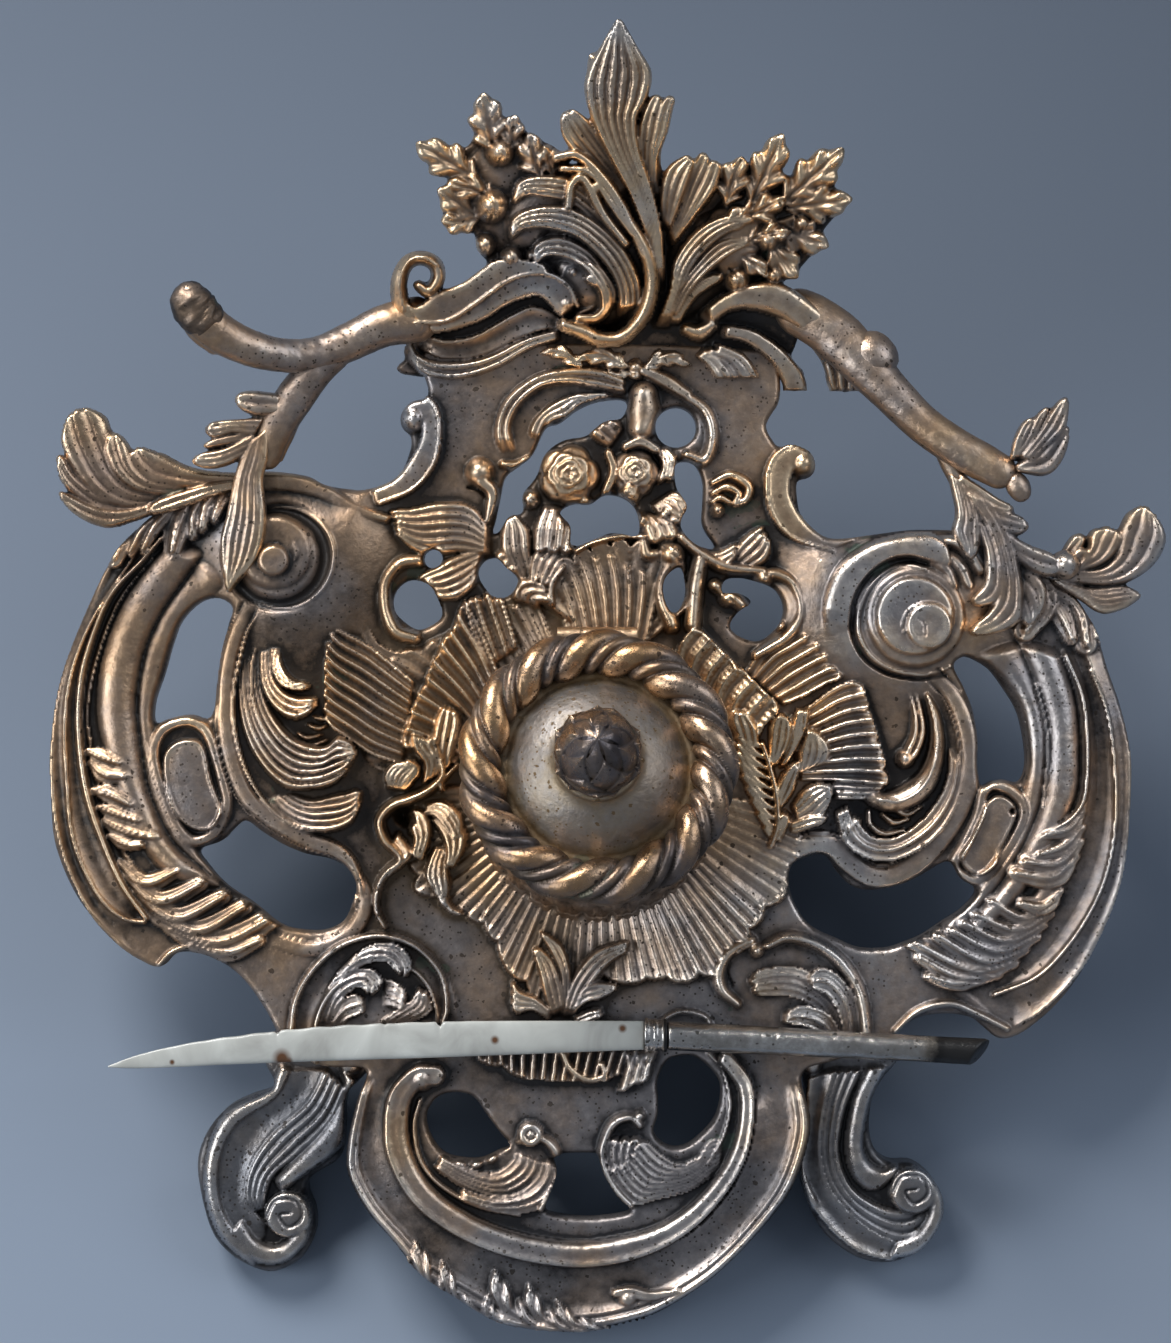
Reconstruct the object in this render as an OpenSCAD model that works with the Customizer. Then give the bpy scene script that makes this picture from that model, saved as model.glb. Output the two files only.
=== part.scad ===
// Desk inkstand in the rocaille manner: an openwork cast tray that slopes down to the front,
// a hinged domed inkwell, a leaning leafy crest with two branch-shaped pen rests, scroll feet
// and a loose paper-knife pen lying across the front.
// Outlines are drawn in the plane of the tray, in millimetres, from the middle of the inkwell.

/* [Tray] */
// Width over the two side borders and the right border leaf
tray_width = 247.7; // [200:0.1:300]
// Thickness of the cast tray plate
plate_thickness = 3.2; // [2:0.1:5]
// Slope of the tray, rising to the back, in degrees
plate_tilt = 14; // [10:0.5:17]
// Height of the tray plate above the table at the inkwell
plate_height = 40; // [36:0.5:52]
// Height of the border mouldings above the plate
border_height = 5.5; // [3:0.5:8]
// Height of the shell and leaf castings above the plate
shell_height = 3; // [2:0.5:5]
// Height of the lower scrolls that the pen lies on
scroll_height = 5; // [3:0.5:8]

/* [Back frame and crest] */
// Thickness of the openwork back frame
frame_thickness = 4; // [3:0.1:6]
// Further lean of the crest above the slope of the tray, in degrees
crest_lean = 25; // [15:1:32]
// Thickness of the crest's back plate
crest_thickness = 3.5; // [2.5:0.1:5]
// Thickness of the leaves and scrolls laid on the crest
crest_leaf_thickness = 4; // [2.5:0.1:6]
// Radius of the larger rose
rose_radius = 7.5; // [6:0.1:9]

/* [Feet] */
// Radius of the rear legs where they meet the tray
rear_leg_top_radius = 9; // [7:0.1:11]
// Radius of the rear legs at the table
rear_leg_foot_radius = 7; // [6:0.1:9]
// How far in front of the inkwell the front feet first touch the table
foot_contact = 93; // [85:1:100]

/* [Inkwell] */
// Outer radius of the well's body
well_radius = 26; // [21:0.1:32]
// Wall between the glass liner and the outside of the body
well_wall = 6; // [5.5:0.1:7]
// Wall of the cup that reaches under the plate
cup_wall = 1.2; // [1:0.1:1.6]
// Height of the body above the plate on the well's axis
well_height = 21; // [16:0.5:26]
// How far the cup of the well reaches under the plate
well_drop = 14; // [8:0.5:20]
// Wall of the glass liner
liner_wall = 1.8; // [1.2:0.1:2.5]
// Gap between the glass liner and the cup
liner_gap = 0.3; // [0.2:0.05:0.6]
// How far the lid's flange reaches beyond the well's body
lid_overhang = 2; // [1.5:0.1:3]
// Radius of the rope moulding itself
rope_thickness = 5; // [4:0.1:6]
// Height of the lid's dome above its flange
dome_height = 11; // [8:0.5:15]
// Wall of the lid's dome
dome_wall = 2; // [1.5:0.1:3]
// Greatest radius of the pine-cone finial
finial_radius = 8.6; // [7:0.1:10]
// Height of the pine-cone finial
finial_height = 19; // [15:0.5:24]

/* [Fastenings] */
// Radius of the lid hinge's pin
hinge_pin_radius = 0.9; // [0.7:0.05:1.2]
// Radius of the lid hinge's barrel
hinge_barrel_radius = 2.2; // [2:0.1:2.8]
// Radial clearance of the hinge pin in the lid's knuckle
hinge_clearance = 0.05; // [0.02:0.01:0.1]
// Gap between a moving piece and its neighbour
moving_gap = 0.3; // [0.2:0.05:0.6]
// Radius of the screws
screw_radius = 1.5; // [1.2:0.1:1.8]
// Radius of the thinner screws that hold the inkwell
well_screw_radius = 1.1; // [0.9:0.1:1.3]
// Radius of the screw heads
screw_head_radius = 3; // [2.5:0.1:3.5]
// Thickness of the screw heads
screw_head_thickness = 1.8; // [1.2:0.1:2.5]

/* [Pen] */
// Length of the pen's blade
blade_length = 119; // [90:1:140]
// Thickness of the pen's blade
blade_thickness = 2.4; // [1.5:0.1:3.5]
// Length of the ferrule between blade and tube
ferrule_length = 5; // [3:0.5:8]
// Length of the metal tube
tube_length = 70; // [50:1:90]
// Radius of the metal tube at the ferrule
tube_radius = 3.4; // [2.8:0.1:4]

/* [Hidden] */

// ---- Shared sizes worked out from the values above ----
drawn_width = 247.7;
k = tray_width / drawn_width;
across_mid = 3.85 * k;
far = 400;
$fn = 48;

// The crest starts at this line of the tray plane and leans further back from there.
crest_line = 93;
crest_foot_depth = 8;
// A length on the leaning crest, seen square to the tray, is this much longer than it looks.
crest_stretch = 1.033;
crest_top = (171 - crest_line) * crest_stretch * k;
frame_top = -plate_thickness;

front_y = -121 * k * cos(plate_tilt) - border_height * sin(plate_tilt);
crest_back_run = crest_top * cos(crest_lean + plate_tilt);
crest_line_y = crest_line * k * cos(plate_tilt) - frame_top * sin(plate_tilt);
back_y = crest_line_y + crest_back_run;
plate_y = -(front_y + back_y) / 2;

// Well axis, where it meets the plate's top face, in the tray plane.
well_u = 1.5 * k;
well_v = -1.5 * k;
cup_bore = well_radius - well_wall;
cup_radius = cup_bore + cup_wall;
liner_radius = cup_bore - liner_gap;
well_top = well_height;
well_bottom = -well_drop;
cup_floor = 2.5;
lid_rest = well_top + moving_gap;
flange_thickness = 2;
flange_radius = well_radius + lid_overhang;
rope_radius = flange_radius - rope_thickness / 2;
dome_radius = rope_radius - rope_thickness + 0.8;
register_depth = 1.5;
register_gap = 0.6;
hinge_y = flange_radius + moving_gap + hinge_barrel_radius;
hinge_z = lid_rest + flange_thickness - hinge_barrel_radius - 0.1;
knuckle_length = 7;
knuckle_gap = 0.25;
ear_length = 5;
finial_stem_radius = 1.8;
finial_nut_radius = 3.2;
finial_nut_thickness = 2.5;

// Pen, lying across the lower scrolls.
// It touches the left scroll with its flat blade and the right one with its round tube.
pen_start_u = -107 * k;
pen_v = -56.5 * k;
pen_rest_w = max(scroll_height, border_height) + moving_gap;
pen_rests = [-50 * k, 45 * k];
pen_slope = atan((tube_radius - blade_thickness / 2) / (pen_rests[1] - pen_rests[0]));

// ---- Curves ----
// One point of a closed smooth curve through four neighbours, t from 0 to 1.
function curve_point(a, b, c, d, t) =
    0.5 * ((2 * b) + (c - a) * t + (2 * a - 5 * b + 4 * c - d) * t * t
           + (3 * b - a - 3 * c + d) * t * t * t);

// A closed smooth outline through the points, with a few steps between each two.
function smooth_loop(points, steps = 3) = [
    for (i = [0:len(points) - 1], s = [0:steps - 1])
        let (n = len(points))
        curve_point(points[(i + n - 1) % n], points[i], points[(i + 1) % n],
                    points[(i + 2) % n], s / steps)
];

// An open smooth line through the points.
function smooth_line(points, steps = 3) = [
    for (i = [0:len(points) - 2], s = [0:steps - 1])
        let (n = len(points))
        curve_point(points[max(i - 1, 0)], points[i], points[i + 1],
                    points[min(i + 2, n - 1)], s / steps),
    points[len(points) - 1]
];

function direction(line, i) =
    let (d = line[min(i + 1, len(line) - 1)] - line[max(i - 1, 0)]) d / norm(d);

// The outline of a band that swells from its ends to its middle along a line.
function band(line, end_width, mid_width) =
    let (
        n = len(line) - 1,
        half = [for (i = [0:n]) (end_width + (mid_width - end_width) * sin(180 * i / n)) / 2],
        side = [for (i = [0:n]) let (d = direction(line, i)) [-d.y, d.x]]
    )
    concat([for (i = [0:n]) line[i] + side[i] * half[i]],
           [for (i = [n:-1:0]) line[i] - side[i] * half[i]]);

module shape(points, steps = 3) {
    polygon(smooth_loop(points * k, steps));
}

module stroke(points, end_width, mid_width, steps = 3) {
    polygon(band(smooth_line(points * k, steps), end_width * k, mid_width * k));
}

// A line of round-nosed lobes, as on the edge of a shell, between two radii.
module fan(centre, from_angle, to_angle, inner, outer, lobes) {
    steps = lobes * 6;
    rim = [for (i = [0:steps])
        let (a = from_angle + (to_angle - from_angle) * i / steps,
             r = outer - (outer - inner) * 0.07 * abs(cos(180 * lobes * i / steps)))
        centre * k + r * k * [cos(a), sin(a)]];
    hub = [for (i = [12:-1:0])
        let (a = from_angle + (to_angle - from_angle) * i / 12)
        centre * k + inner * k * [cos(a), sin(a)]];
    polygon(concat(rim, hub));
}

// ---- Frames of reference ----
// Places things drawn in the tray plane at a height over the plate's top face.
module on_tray(w = 0) {
    translate([0, plate_y, plate_height])
        rotate([plate_tilt, 0, 0])
            translate([-across_mid, 0, w])
                children();
}

// Places things drawn in the leaning crest's plane, measured from its lower line.
module on_crest(w = 0) {
    on_tray(frame_top)
        translate([0, crest_line * k, 0])
            rotate([crest_lean, 0, 0])
                translate([0, 0, w])
                    scale([1, crest_stretch, 1])
                        translate([0, -crest_line * k, 0])
                            children();
}

// Places upright things on the well's axis, measured from the plate's top face.
module on_well() {
    on_tray()
        translate([well_u, well_v, 0])
            rotate([-plate_tilt, 0, 0])
                children();
}

module raised(height) {
    linear_extrude(height)
        children();
}

module below_table() {
    translate([-far, -far, -far])
        cube([2 * far, 2 * far, far]);
}

// Everything above a height over the plate.
module above_plate(w) {
    on_tray(w)
        translate([-far, -far, 0])
            cube([2 * far, 2 * far, far]);
}

// A screw that stands upward, with its head below the origin.
module screw(shank_length, radius = screw_radius) {
    translate([0, 0, -screw_head_thickness])
        cylinder(r = radius + screw_head_radius - screw_radius, h = screw_head_thickness);
    cylinder(r = radius, h = shank_length);
}

// ---- Places of the fastenings, in the tray plane ----
rear_leg_places = [[-69, 54] * k, [70, 45] * k];
front_foot_places = [[-62, -57] * k, [58, -58] * k];
frame_screw_places = [[-52, 55] * k, [51, 46] * k];
crest_screw_places = [[-24, crest_line - 4] * k, [26, crest_line - 4] * k];
well_screw_ring = (cup_radius + liner_gap + well_radius) / 2;
well_screw_places = [[well_u - well_screw_ring, well_v], [well_u + well_screw_ring, well_v]];
screw_bite = 6;

// ---- Tray ----
tray_outline = [
    [-45, 66], [-53, 66], [-62, 69], [-72, 70], [-81, 69], [-93, 62], [-105, 50], [-113, 37],
    [-118, 23], [-120, 9], [-120, -3], [-119, -13], [-115, -23], [-110, -30], [-104, -36],
    [-97, -40], [-92, -37], [-87, -37], [-82, -39], [-77, -43], [-72, -50], [-67, -57],
    [-58, -62], [-50, -65], [-53, -74], [-54, -84], [-51, -93], [-44, -101], [-37, -109],
    [-28, -115], [-18, -119], [-8, -121], [2, -120.5], [14, -117.5], [25, -111], [33, -104],
    [41, -95], [46, -87], [49, -78], [48, -67], [55, -62], [64, -57], [70, -53], [77, -50.5],
    [84, -51.5], [90, -56], [95.5, -55], [102, -50], [108, -43], [113, -34], [117, -25],
    [119, -14], [120, 0], [119.5, 11], [117, 21], [112, 35], [104, 45], [95, 53], [88, 57],
    [80, 57], [71, 57], [63, 56], [55, 55], [49, 53], [46, 42], [41, 32], [31, 31], [17, 36],
    [0, 40], [-15, 40], [-28, 36], [-36, 33], [-44, 36], [-48, 48], [-47, 58]
];
crescent_left = [
    [-83, 42], [-88, 40.5], [-92, 35], [-95, 26], [-97, 19], [-96, 14.5], [-91, 15.5],
    [-86, 15], [-83, 19], [-82.5, 28], [-80, 37]
];
crescent_right = [
    [80.5, 27], [85, 28.5], [90, 25.5], [94, 19], [96.5, 11], [96, 2], [90, 1.5], [86.5, 1],
    [86, 10], [84, 20]
];
lower_hole_left = [
    [-87, -14], [-81, -11.5], [-76, -8], [-70, -12], [-63, -15], [-55, -17.5], [-52, -23],
    [-54, -29.5], [-60, -32.5], [-68, -31.5], [-75, -27], [-82, -21]
];
lower_hole_right = [
    [44, -22], [47, -16], [53, -16], [58, -21], [66, -23], [73, -20], [79, -17], [83, -21.5],
    [86, -24], [79, -30], [70, -34.5], [61, -36], [51, -32.5], [45.5, -27]
];
front_hole_left = [
    [-36, -73], [-31, -68], [-25, -69], [-20, -77], [-18, -80.5], [-25, -83], [-33, -81.5]
];
front_hole_middle = [
    [-8, -82], [-2, -81.5], [2, -83], [5, -90], [8, -94.5], [-1, -96], [-9, -94.5], [-8, -88]
];
front_hole_right = [
    [17, -61], [23, -60], [28, -65], [28, -73], [23, -79], [16, -79], [14.5, -75], [15.5, -68]
];

module tray_holes() {
    shape(crescent_left);
    shape(crescent_right);
    shape(lower_hole_left);
    shape(lower_hole_right);
    shape(front_hole_left);
    shape(front_hole_middle);
    shape(front_hole_right);
}

module screw_holes(places, depth, radius = screw_radius) {
    for (p = places)
        translate([p.x, p.y, -depth])
            cylinder(r = radius, h = 2 * depth);
}

module tray_plate() {
    color("darkgoldenrod")
        difference() {
            on_tray(-plate_thickness)
                raised(plate_thickness)
                    difference() {
                        shape(tray_outline);
                        tray_holes();
                    }
            on_well()
                translate([0, 0, -far / 2])
                    cylinder(r = cup_radius + liner_gap, h = far);
            on_tray() {
                screw_holes(concat(rear_leg_places, front_foot_places, frame_screw_places),
                            2 * plate_thickness);
                screw_holes(well_screw_places, 2 * plate_thickness, well_screw_radius);
            }
        }
}

// ---- Side borders: broad hollow mouldings round the outer edge ----
border_left_outline = [
    [-104, 50], [-112, 37], [-117, 23], [-119, 9], [-119, -3], [-118, -13], [-114, -23],
    [-109, -30], [-103, -36], [-96, -38], [-90, -35.5], [-80, -38], [-72, -32], [-76, -29],
    [-84, -23], [-93, -15], [-100, -5], [-103, 6], [-101, 16], [-98, 27], [-93, 38],
    [-86, 45], [-84, 56], [-92, 57]
];
border_right_outline = [
    [110, 35], [114, 25], [117, 16], [119, 6], [119, -3], [118, -15], [116, -25], [112, -34],
    [107, -42], [101, -49], [95, -54], [90, -54], [84, -50], [76, -48], [70, -40], [73, -36],
    [82, -32], [90, -26], [96, -18], [100, -8], [101, 4], [99, 17], [94, 27], [88, 32],
    [90, 40], [100, 41]
];

module border(outline) {
    difference() {
        on_tray()
            raised(border_height)
                shape(outline);
        // The hollow of the moulding leaves a bead along each edge.
        on_tray(border_height * 0.6)
            raised(border_height)
                offset(r = -3)
                    shape(outline);
    }
}

module border_left() {
    color("peru")
        border(border_left_outline);
}

module border_right() {
    color("peru")
        border(border_right_outline);
}

// Leaves that curl out beyond the shoulders, on the edge of the tray.
leaf_left_outline = [
    [-84, 67], [-92, 71], [-100, 74], [-105, 78], [-108, 83], [-113, 84], [-117, 80],
    [-118, 73], [-117.5, 66], [-113, 60], [-106, 58], [-98, 60.5], [-90, 61], [-82, 60]
];
leaf_right_outline = [
    [96, 50], [104, 51], [110, 56], [116, 59], [122, 61.5], [127, 58], [127.5, 52], [123, 46],
    [120, 41.5], [113, 41], [106, 45.5], [98, 45]
];

module border_leaf_left() {
    color("sandybrown")
        difference() {
            on_tray()
                raised(shell_height)
                    shape(leaf_left_outline);
            on_tray(-1)
                raised(border_height + 2)
                    offset(r = 0.05)
                        shape(border_left_outline);
        }
}

module border_leaf_right() {
    color("sandybrown")
        difference() {
            on_tray()
                raised(shell_height)
                    shape(leaf_right_outline);
            on_tray(-1)
                raised(border_height + 2)
                    offset(r = 0.05)
                        shape(border_right_outline);
        }
}

// ---- Oval medallions: a rim round a smooth raised oval ----
medallion_left_outline = [
    [-96, 12], [-90, 14.5], [-85, 12.5], [-82.5, 6], [-80, 0], [-80, -7], [-84, -12],
    [-89, -11.5], [-94, -7], [-97.5, -1], [-98, 6]
];
medallion_right_outline = [
    [87.5, 0], [91, 0.5], [96.5, -4], [95, -10.5], [91.5, -16], [87.5, -20], [82.5, -18.5],
    [81, -14.5], [84, -8]
];

module medallion(outline) {
    on_tray() {
        raised(shell_height)
            shape(outline);
        translate([0, 0, shell_height])
            raised(1.5)
                offset(r = -2.4)
                    shape(outline);
    }
}

module medallion_left() {
    color("tan")
        medallion(medallion_left_outline);
}

module medallion_right() {
    color("tan")
        medallion(medallion_right_outline);
}

// ---- Shoulder volutes: round bosses that wind up in steps ----
volute_left_place = [-69, 51];
volute_left_radii = [12, 7.7, 3.3];
volute_right_place = [71, 36.5];
volute_right_radii = [12.5, 9.3, 5.3];
volute_heights = [6, 8.5, 10.5];

module volute(place, radii, heights, margin = 0) {
    on_tray()
        translate([place.x * k, place.y * k, 0])
            for (i = [0:len(radii) - 1])
                cylinder(r = radii[i] * k + margin, h = heights[i] + margin);
}

module shoulder_volute_left() {
    color("chocolate")
        volute(volute_left_place, volute_left_radii, volute_heights);
}

module shoulder_volute_right() {
    color("chocolate")
        volute(volute_right_place, volute_right_radii, volute_heights);
}

// ---- Inner rims: the long beads between the holes and the shell work ----
module inner_rim_left() {
    color("burlywood")
        on_tray()
            raised(shell_height + 1)
                stroke([[-79, 36], [-80, 28], [-80.5, 20], [-80, 12], [-78.5, 4], [-75.5, -2],
                        [-70, -7.5], [-63, -11.5], [-55, -14]], 3, 4);
}

module inner_rim_right() {
    color("burlywood")
        on_tray()
            raised(shell_height + 1)
                stroke([[80, 22], [83, 14], [84.5, 6], [83, -3], [78, -11], [71, -17],
                        [63, -19], [57, -16], [52, -13]], 3, 4);
}

// ---- Shell and leaf work ----
module rocaille_left() {
    color("goldenrod")
        on_tray()
            raised(shell_height)
                shape([[-76, 29], [-73, 36], [-64, 32], [-59, 22], [-52, 17], [-46, 11],
                       [-46, 3], [-50, -4], [-56, -9], [-65, -6], [-72, 0], [-76, 8],
                       [-77, 18]]);
}

module rocaille_right() {
    color("goldenrod")
        on_tray()
            raised(shell_height)
                shape([[46, 34], [54, 27], [62, 22], [70, 22], [78, 15], [80, 4], [77, -5],
                       [70, -12], [61, -14], [55, -8], [50, 0], [45, 10], [43, 20]]);
}

// The fans of shell that spread from the well on all sides.
module shell_surround() {
    color("khaki")
        difference() {
            on_tray()
                raised(shell_height)
                    union() {
                        fan([well_u / k, 2], 30, 68, 20, 45, 7);
                        fan([well_u / k, 2], 66, 112, 20, 43, 7);
                        fan([well_u / k, 2], 110, 168, 20, 44, 10);
                        fan([well_u / k, 0], 166, 222, 20, 43, 8);
                        fan([well_u / k, 0], 220, 322, 20, 48, 13);
                        fan([well_u / k, 0], 320, 392, 20, 40, 9);
                    }
            on_well()
                translate([0, 0, -far / 2])
                    cylinder(r = well_radius + liner_gap, h = far);
        }
}

module lower_scroll_left() {
    color("peru")
        on_tray()
            raised(scroll_height)
                stroke([[-66, -56], [-65, -48], [-61, -41.5], [-54, -37.5], [-47, -36],
                        [-40, -38], [-36, -43], [-35, -50], [-38, -56]], 3, 6);
}

module lower_scroll_right() {
    color("peru")
        on_tray()
            raised(scroll_height)
                stroke([[33, -57], [31, -50], [31, -43], [35, -38.5], [42, -36.5], [49, -39],
                        [55, -44], [58.5, -50], [59, -56]], 3, 6);
}

// ---- Front: the double scroll that forms the apron, and the shells inside it ----
module front_apron() {
    color("sienna")
        on_tray()
            raised(border_height)
                stroke([[-36, -65.5], [-42, -67], [-46, -73], [-46.5, -82], [-42, -93],
                        [-32, -103], [-18, -109.5], [-3, -111.5], [11, -109], [24, -103],
                        [35, -93], [41, -81], [41, -72], [38, -65.5]], 5, 17, 4);
}

module apron_shell_left() {
    color("darkkhaki")
        on_tray()
            raised(shell_height)
                stroke([[-11, -62], [-13, -70], [-12, -77], [-12.5, -85], [-17, -90],
                        [-26, -89]], 6, 9);
}

module apron_shell_right() {
    color("darkkhaki")
        on_tray()
            raised(shell_height)
                stroke([[8, -62], [7, -70], [7, -78], [11, -85], [19, -87], [27, -83.5]], 6, 8);
}

// ---- Front feet: scrolls that run down from the tray to the table ----
foot_left_outline = [
    [-48, -52], [-66, -50], [-73, -61], [-72, -68], [-82, -73], [-87, -81], [-87.5, -90],
    [-85, -99], [-80, -106], [-73, -109], [-66, -106.5], [-62, -100], [-63, -92], [-60, -86],
    [-56, -80], [-56, -66]
];
foot_right_outline = [
    [45, -52], [65, -50], [67, -60], [64, -69], [62, -76], [65, -83], [72, -84.5], [78, -90],
    [79, -96], [74, -104.5], [66, -107.5], [56, -104.5], [50, -98], [47, -89], [49, -80],
    [50, -70], [48, -62]
];
// The feet reach down to the table along this line of the tray plane, and stay above it behind.
front_foot_bottom = -(plate_height - foot_contact * k * sin(plate_tilt)) / cos(plate_tilt);

module front_foot(outline, screw_place) {
    difference() {
        on_tray(front_foot_bottom)
            raised(-plate_thickness - front_foot_bottom)
                shape(outline);
        below_table();
        on_tray(-plate_thickness)
            screw_holes([screw_place], screw_bite);
    }
}

module front_foot_left() {
    color("saddlebrown")
        front_foot(foot_left_outline, front_foot_places[0]);
}

module front_foot_right() {
    color("saddlebrown")
        front_foot(foot_right_outline, front_foot_places[1]);
}

// A countersunk screw from the top of the plate, flush in its hole.
module plug_screw(place) {
    on_tray(-plate_thickness)
        translate([place.x, place.y, -screw_bite])
            cylinder(r = screw_radius, h = screw_bite + plate_thickness);
}

module front_foot_screw_left() {
    color("dimgray")
        plug_screw(front_foot_places[0]);
}

module front_foot_screw_right() {
    color("dimgray")
        plug_screw(front_foot_places[1]);
}

// ---- Rear legs: turned legs under the shoulders ----
leg_foot_height = 4;

module rear_leg(place) {
    centre_y = plate_y + place.y * cos(plate_tilt);
    top = plate_height + place.y * sin(plate_tilt) + rear_leg_top_radius;
    difference() {
        translate([place.x - across_mid, centre_y, 0])
            rotate_extrude()
                polygon([[0, 0], [rear_leg_foot_radius, 0],
                         [rear_leg_foot_radius, leg_foot_height],
                         [rear_leg_foot_radius * 0.62, leg_foot_height + 2],
                         [rear_leg_foot_radius * 0.55, top * 0.45],
                         [rear_leg_top_radius, top * 0.8], [rear_leg_top_radius, top],
                         [0, top]]);
        above_plate(-plate_thickness);
        on_tray(-plate_thickness)
            screw_holes([place], screw_bite);
    }
}

module rear_leg_left() {
    color("saddlebrown")
        rear_leg(rear_leg_places[0]);
}

module rear_leg_right() {
    color("saddlebrown")
        rear_leg(rear_leg_places[1]);
}

module rear_leg_screw_left() {
    color("dimgray")
        plug_screw(rear_leg_places[0]);
}

module rear_leg_screw_right() {
    color("dimgray")
        plug_screw(rear_leg_places[1]);
}

// ---- Openwork back frame, lapped under the top edge of the tray ----
frame_outline = [
    [-58, 63], [-58, 52], [-53, 40], [-46, 30], [-36, 26.5], [-20, 29], [0, 32], [18, 29],
    [30, 24], [40, 24], [48, 31], [54, 41], [57, 50], [52, 55.5], [47, 60], [46.5, 66],
    [50, 70], [48.5, 74.5], [43, 76], [40, 79], [43, 83], [40, 90], [38, 96], [-33, 96],
    [-36, 91], [-37, 86.5], [-42, 83.5], [-41.5, 78], [-41, 73], [-45, 67.5], [-51, 65]
];
frame_middle_hole = [
    [5, 88], [-3, 86], [-9, 82], [-14, 75], [-19, 69], [-21, 61], [-17, 56], [-10, 54],
    [-3, 53], [3, 56], [10, 57], [15, 58], [16, 65], [14, 73], [13, 80], [11, 87]
];
frame_side_hole = [
    [19.5, 71], [23, 71.5], [25, 67], [25, 58], [26.5, 54], [23, 54], [20.5, 59], [21.5, 64]
];
frame_scroll_hole_left = [
    [-39, 46], [-43.5, 43.5], [-43.5, 38], [-38, 34.5], [-34, 37.5], [-34, 43]
];
frame_scroll_hole_right = [
    [29, 46], [36, 46.5], [42.5, 42], [42, 36], [37, 31.5], [32, 33.5], [28, 39]
];
frame_slots = [[19, 80, 5], [-35, 51, 1.6], [-20.5, 46, 4], [19, 43, 2.8]];

module back_frame() {
    color("rosybrown")
        on_tray(frame_top - frame_thickness)
            difference() {
                raised(frame_thickness)
                    difference() {
                        shape(frame_outline);
                        shape(frame_middle_hole);
                        shape(frame_side_hole);
                        shape(frame_scroll_hole_left);
                        shape(frame_scroll_hole_right);
                    }
                for (slot = frame_slots)
                    translate([slot[0] * k, slot[1] * k, -1])
                        cylinder(r = slot[2] * k, h = frame_thickness + 2);
                screw_holes(concat(frame_screw_places, crest_screw_places),
                            2 * frame_thickness);
            }
}

module frame_screw(place) {
    on_tray(frame_top - frame_thickness)
        translate([place.x, place.y, 0])
            screw(frame_thickness + plate_thickness);
}

module frame_screw_left() {
    color("dimgray")
        frame_screw(frame_screw_places[0]);
}

module frame_screw_right() {
    color("dimgray")
        frame_screw(frame_screw_places[1]);
}

// A spray of two roses whose stem bridges the opening of the frame, a little below the plate's top.
garland_stem_thickness = plate_thickness - 0.7;

module rose_garland() {
    color("indianred")
        on_tray(frame_top) {
            raised(garland_stem_thickness)
                stroke([[9, 92], [10, 84], [11, 76], [8, 68], [3, 62], [-2, 57], [-5, 50],
                        [-6, 43.5]], 3, 5);
            raised(garland_stem_thickness)
                stroke([[8, 70], [2, 71], [-5, 70], [-12, 63], [-19, 57], [-27, 57]], 3, 5);
            translate([-5 * k, 70 * k, 0])
                cylinder(r = rose_radius, h = garland_stem_thickness + 5);
            translate([9 * k, 68 * k, 0])
                cylinder(r = rose_radius * 0.85, h = garland_stem_thickness + 4);
            translate([11 * k, 78 * k, 0])
                cylinder(r = rose_radius * 0.55, h = garland_stem_thickness + 3);
        }
}

// ---- Crest ----
crest_outline = [
    [-40, crest_line], [-41, 98], [-40, 104], [-41, 113], [-36, 117], [-26, 116], [-20, 124],
    [-12, 133], [2, 138], [14, 133], [24, 128], [33, 119], [42, 113], [45, 104],
    [46, crest_line]
];

module crest_plate() {
    color("tan")
        difference() {
            union() {
                on_crest()
                    raised(crest_thickness)
                        intersection() {
                            shape(crest_outline);
                            translate([-far, crest_line * k])
                                square(2 * far);
                        }
                // A flat foot along the top bar of the frame carries the crest.
                on_tray(frame_top)
                    translate([-30 * k, (crest_line - crest_foot_depth) * k, 0])
                        cube([62 * k, crest_foot_depth * k + 1.2, crest_thickness]);
            }
            on_tray(frame_top - frame_thickness)
                screw_holes(crest_screw_places, 4 * frame_thickness);
            on_tray(frame_top)
                translate([10 * k, (crest_line - crest_foot_depth) * k, 0])
                    cube([14 * k, 2 * crest_foot_depth * k, 2 * (crest_foot_depth + 1)],
                         center = true);
        }
}

module crest_screw(place) {
    on_tray(frame_top - frame_thickness)
        translate([place.x, place.y, 0])
            screw(frame_thickness + crest_thickness);
}

module crest_screw_left() {
    color("dimgray")
        crest_screw(crest_screw_places[0]);
}

module crest_screw_right() {
    color("dimgray")
        crest_screw(crest_screw_places[1]);
}

module on_crest_front() {
    on_crest(crest_thickness)
        raised(crest_leaf_thickness)
            children();
}

// The fluted moulding under the crest.
module crest_cornice() {
    color("goldenrod")
        on_crest_front()
            stroke([[-39, 96], [-30, 96], [-20, 98.5], [-8, 99.5], [4, 99], [14, 98.5]], 4, 6);
}

plume_outline = [
    [6, 102], [-2, 104], [-10, 111], [-13, 122], [-12, 133], [-6, 138], [-5, 149], [0, 150],
    [1, 160], [6.6, 171], [11, 163], [13, 156], [17, 154], [15, 143], [11, 134], [15, 120],
    [14, 106]
];
plume_gap = 0.1;

// Takes out the room of the tall leaf, which the pieces beside it meet.
module beside_plume() {
    difference() {
        on_crest(crest_thickness)
            children();
        on_crest(crest_thickness - 1)
            raised(crest_leaf_thickness + 4)
                offset(r = plume_gap)
                    shape(plume_outline);
    }
}

// The S-scroll at the left, which ends in a round eye.
module scroll_eye(margin) {
    translate([-37 * k, 111 * k, 0])
        cylinder(r = 5.5 * k + margin, h = crest_leaf_thickness + 2 + margin);
}

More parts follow.
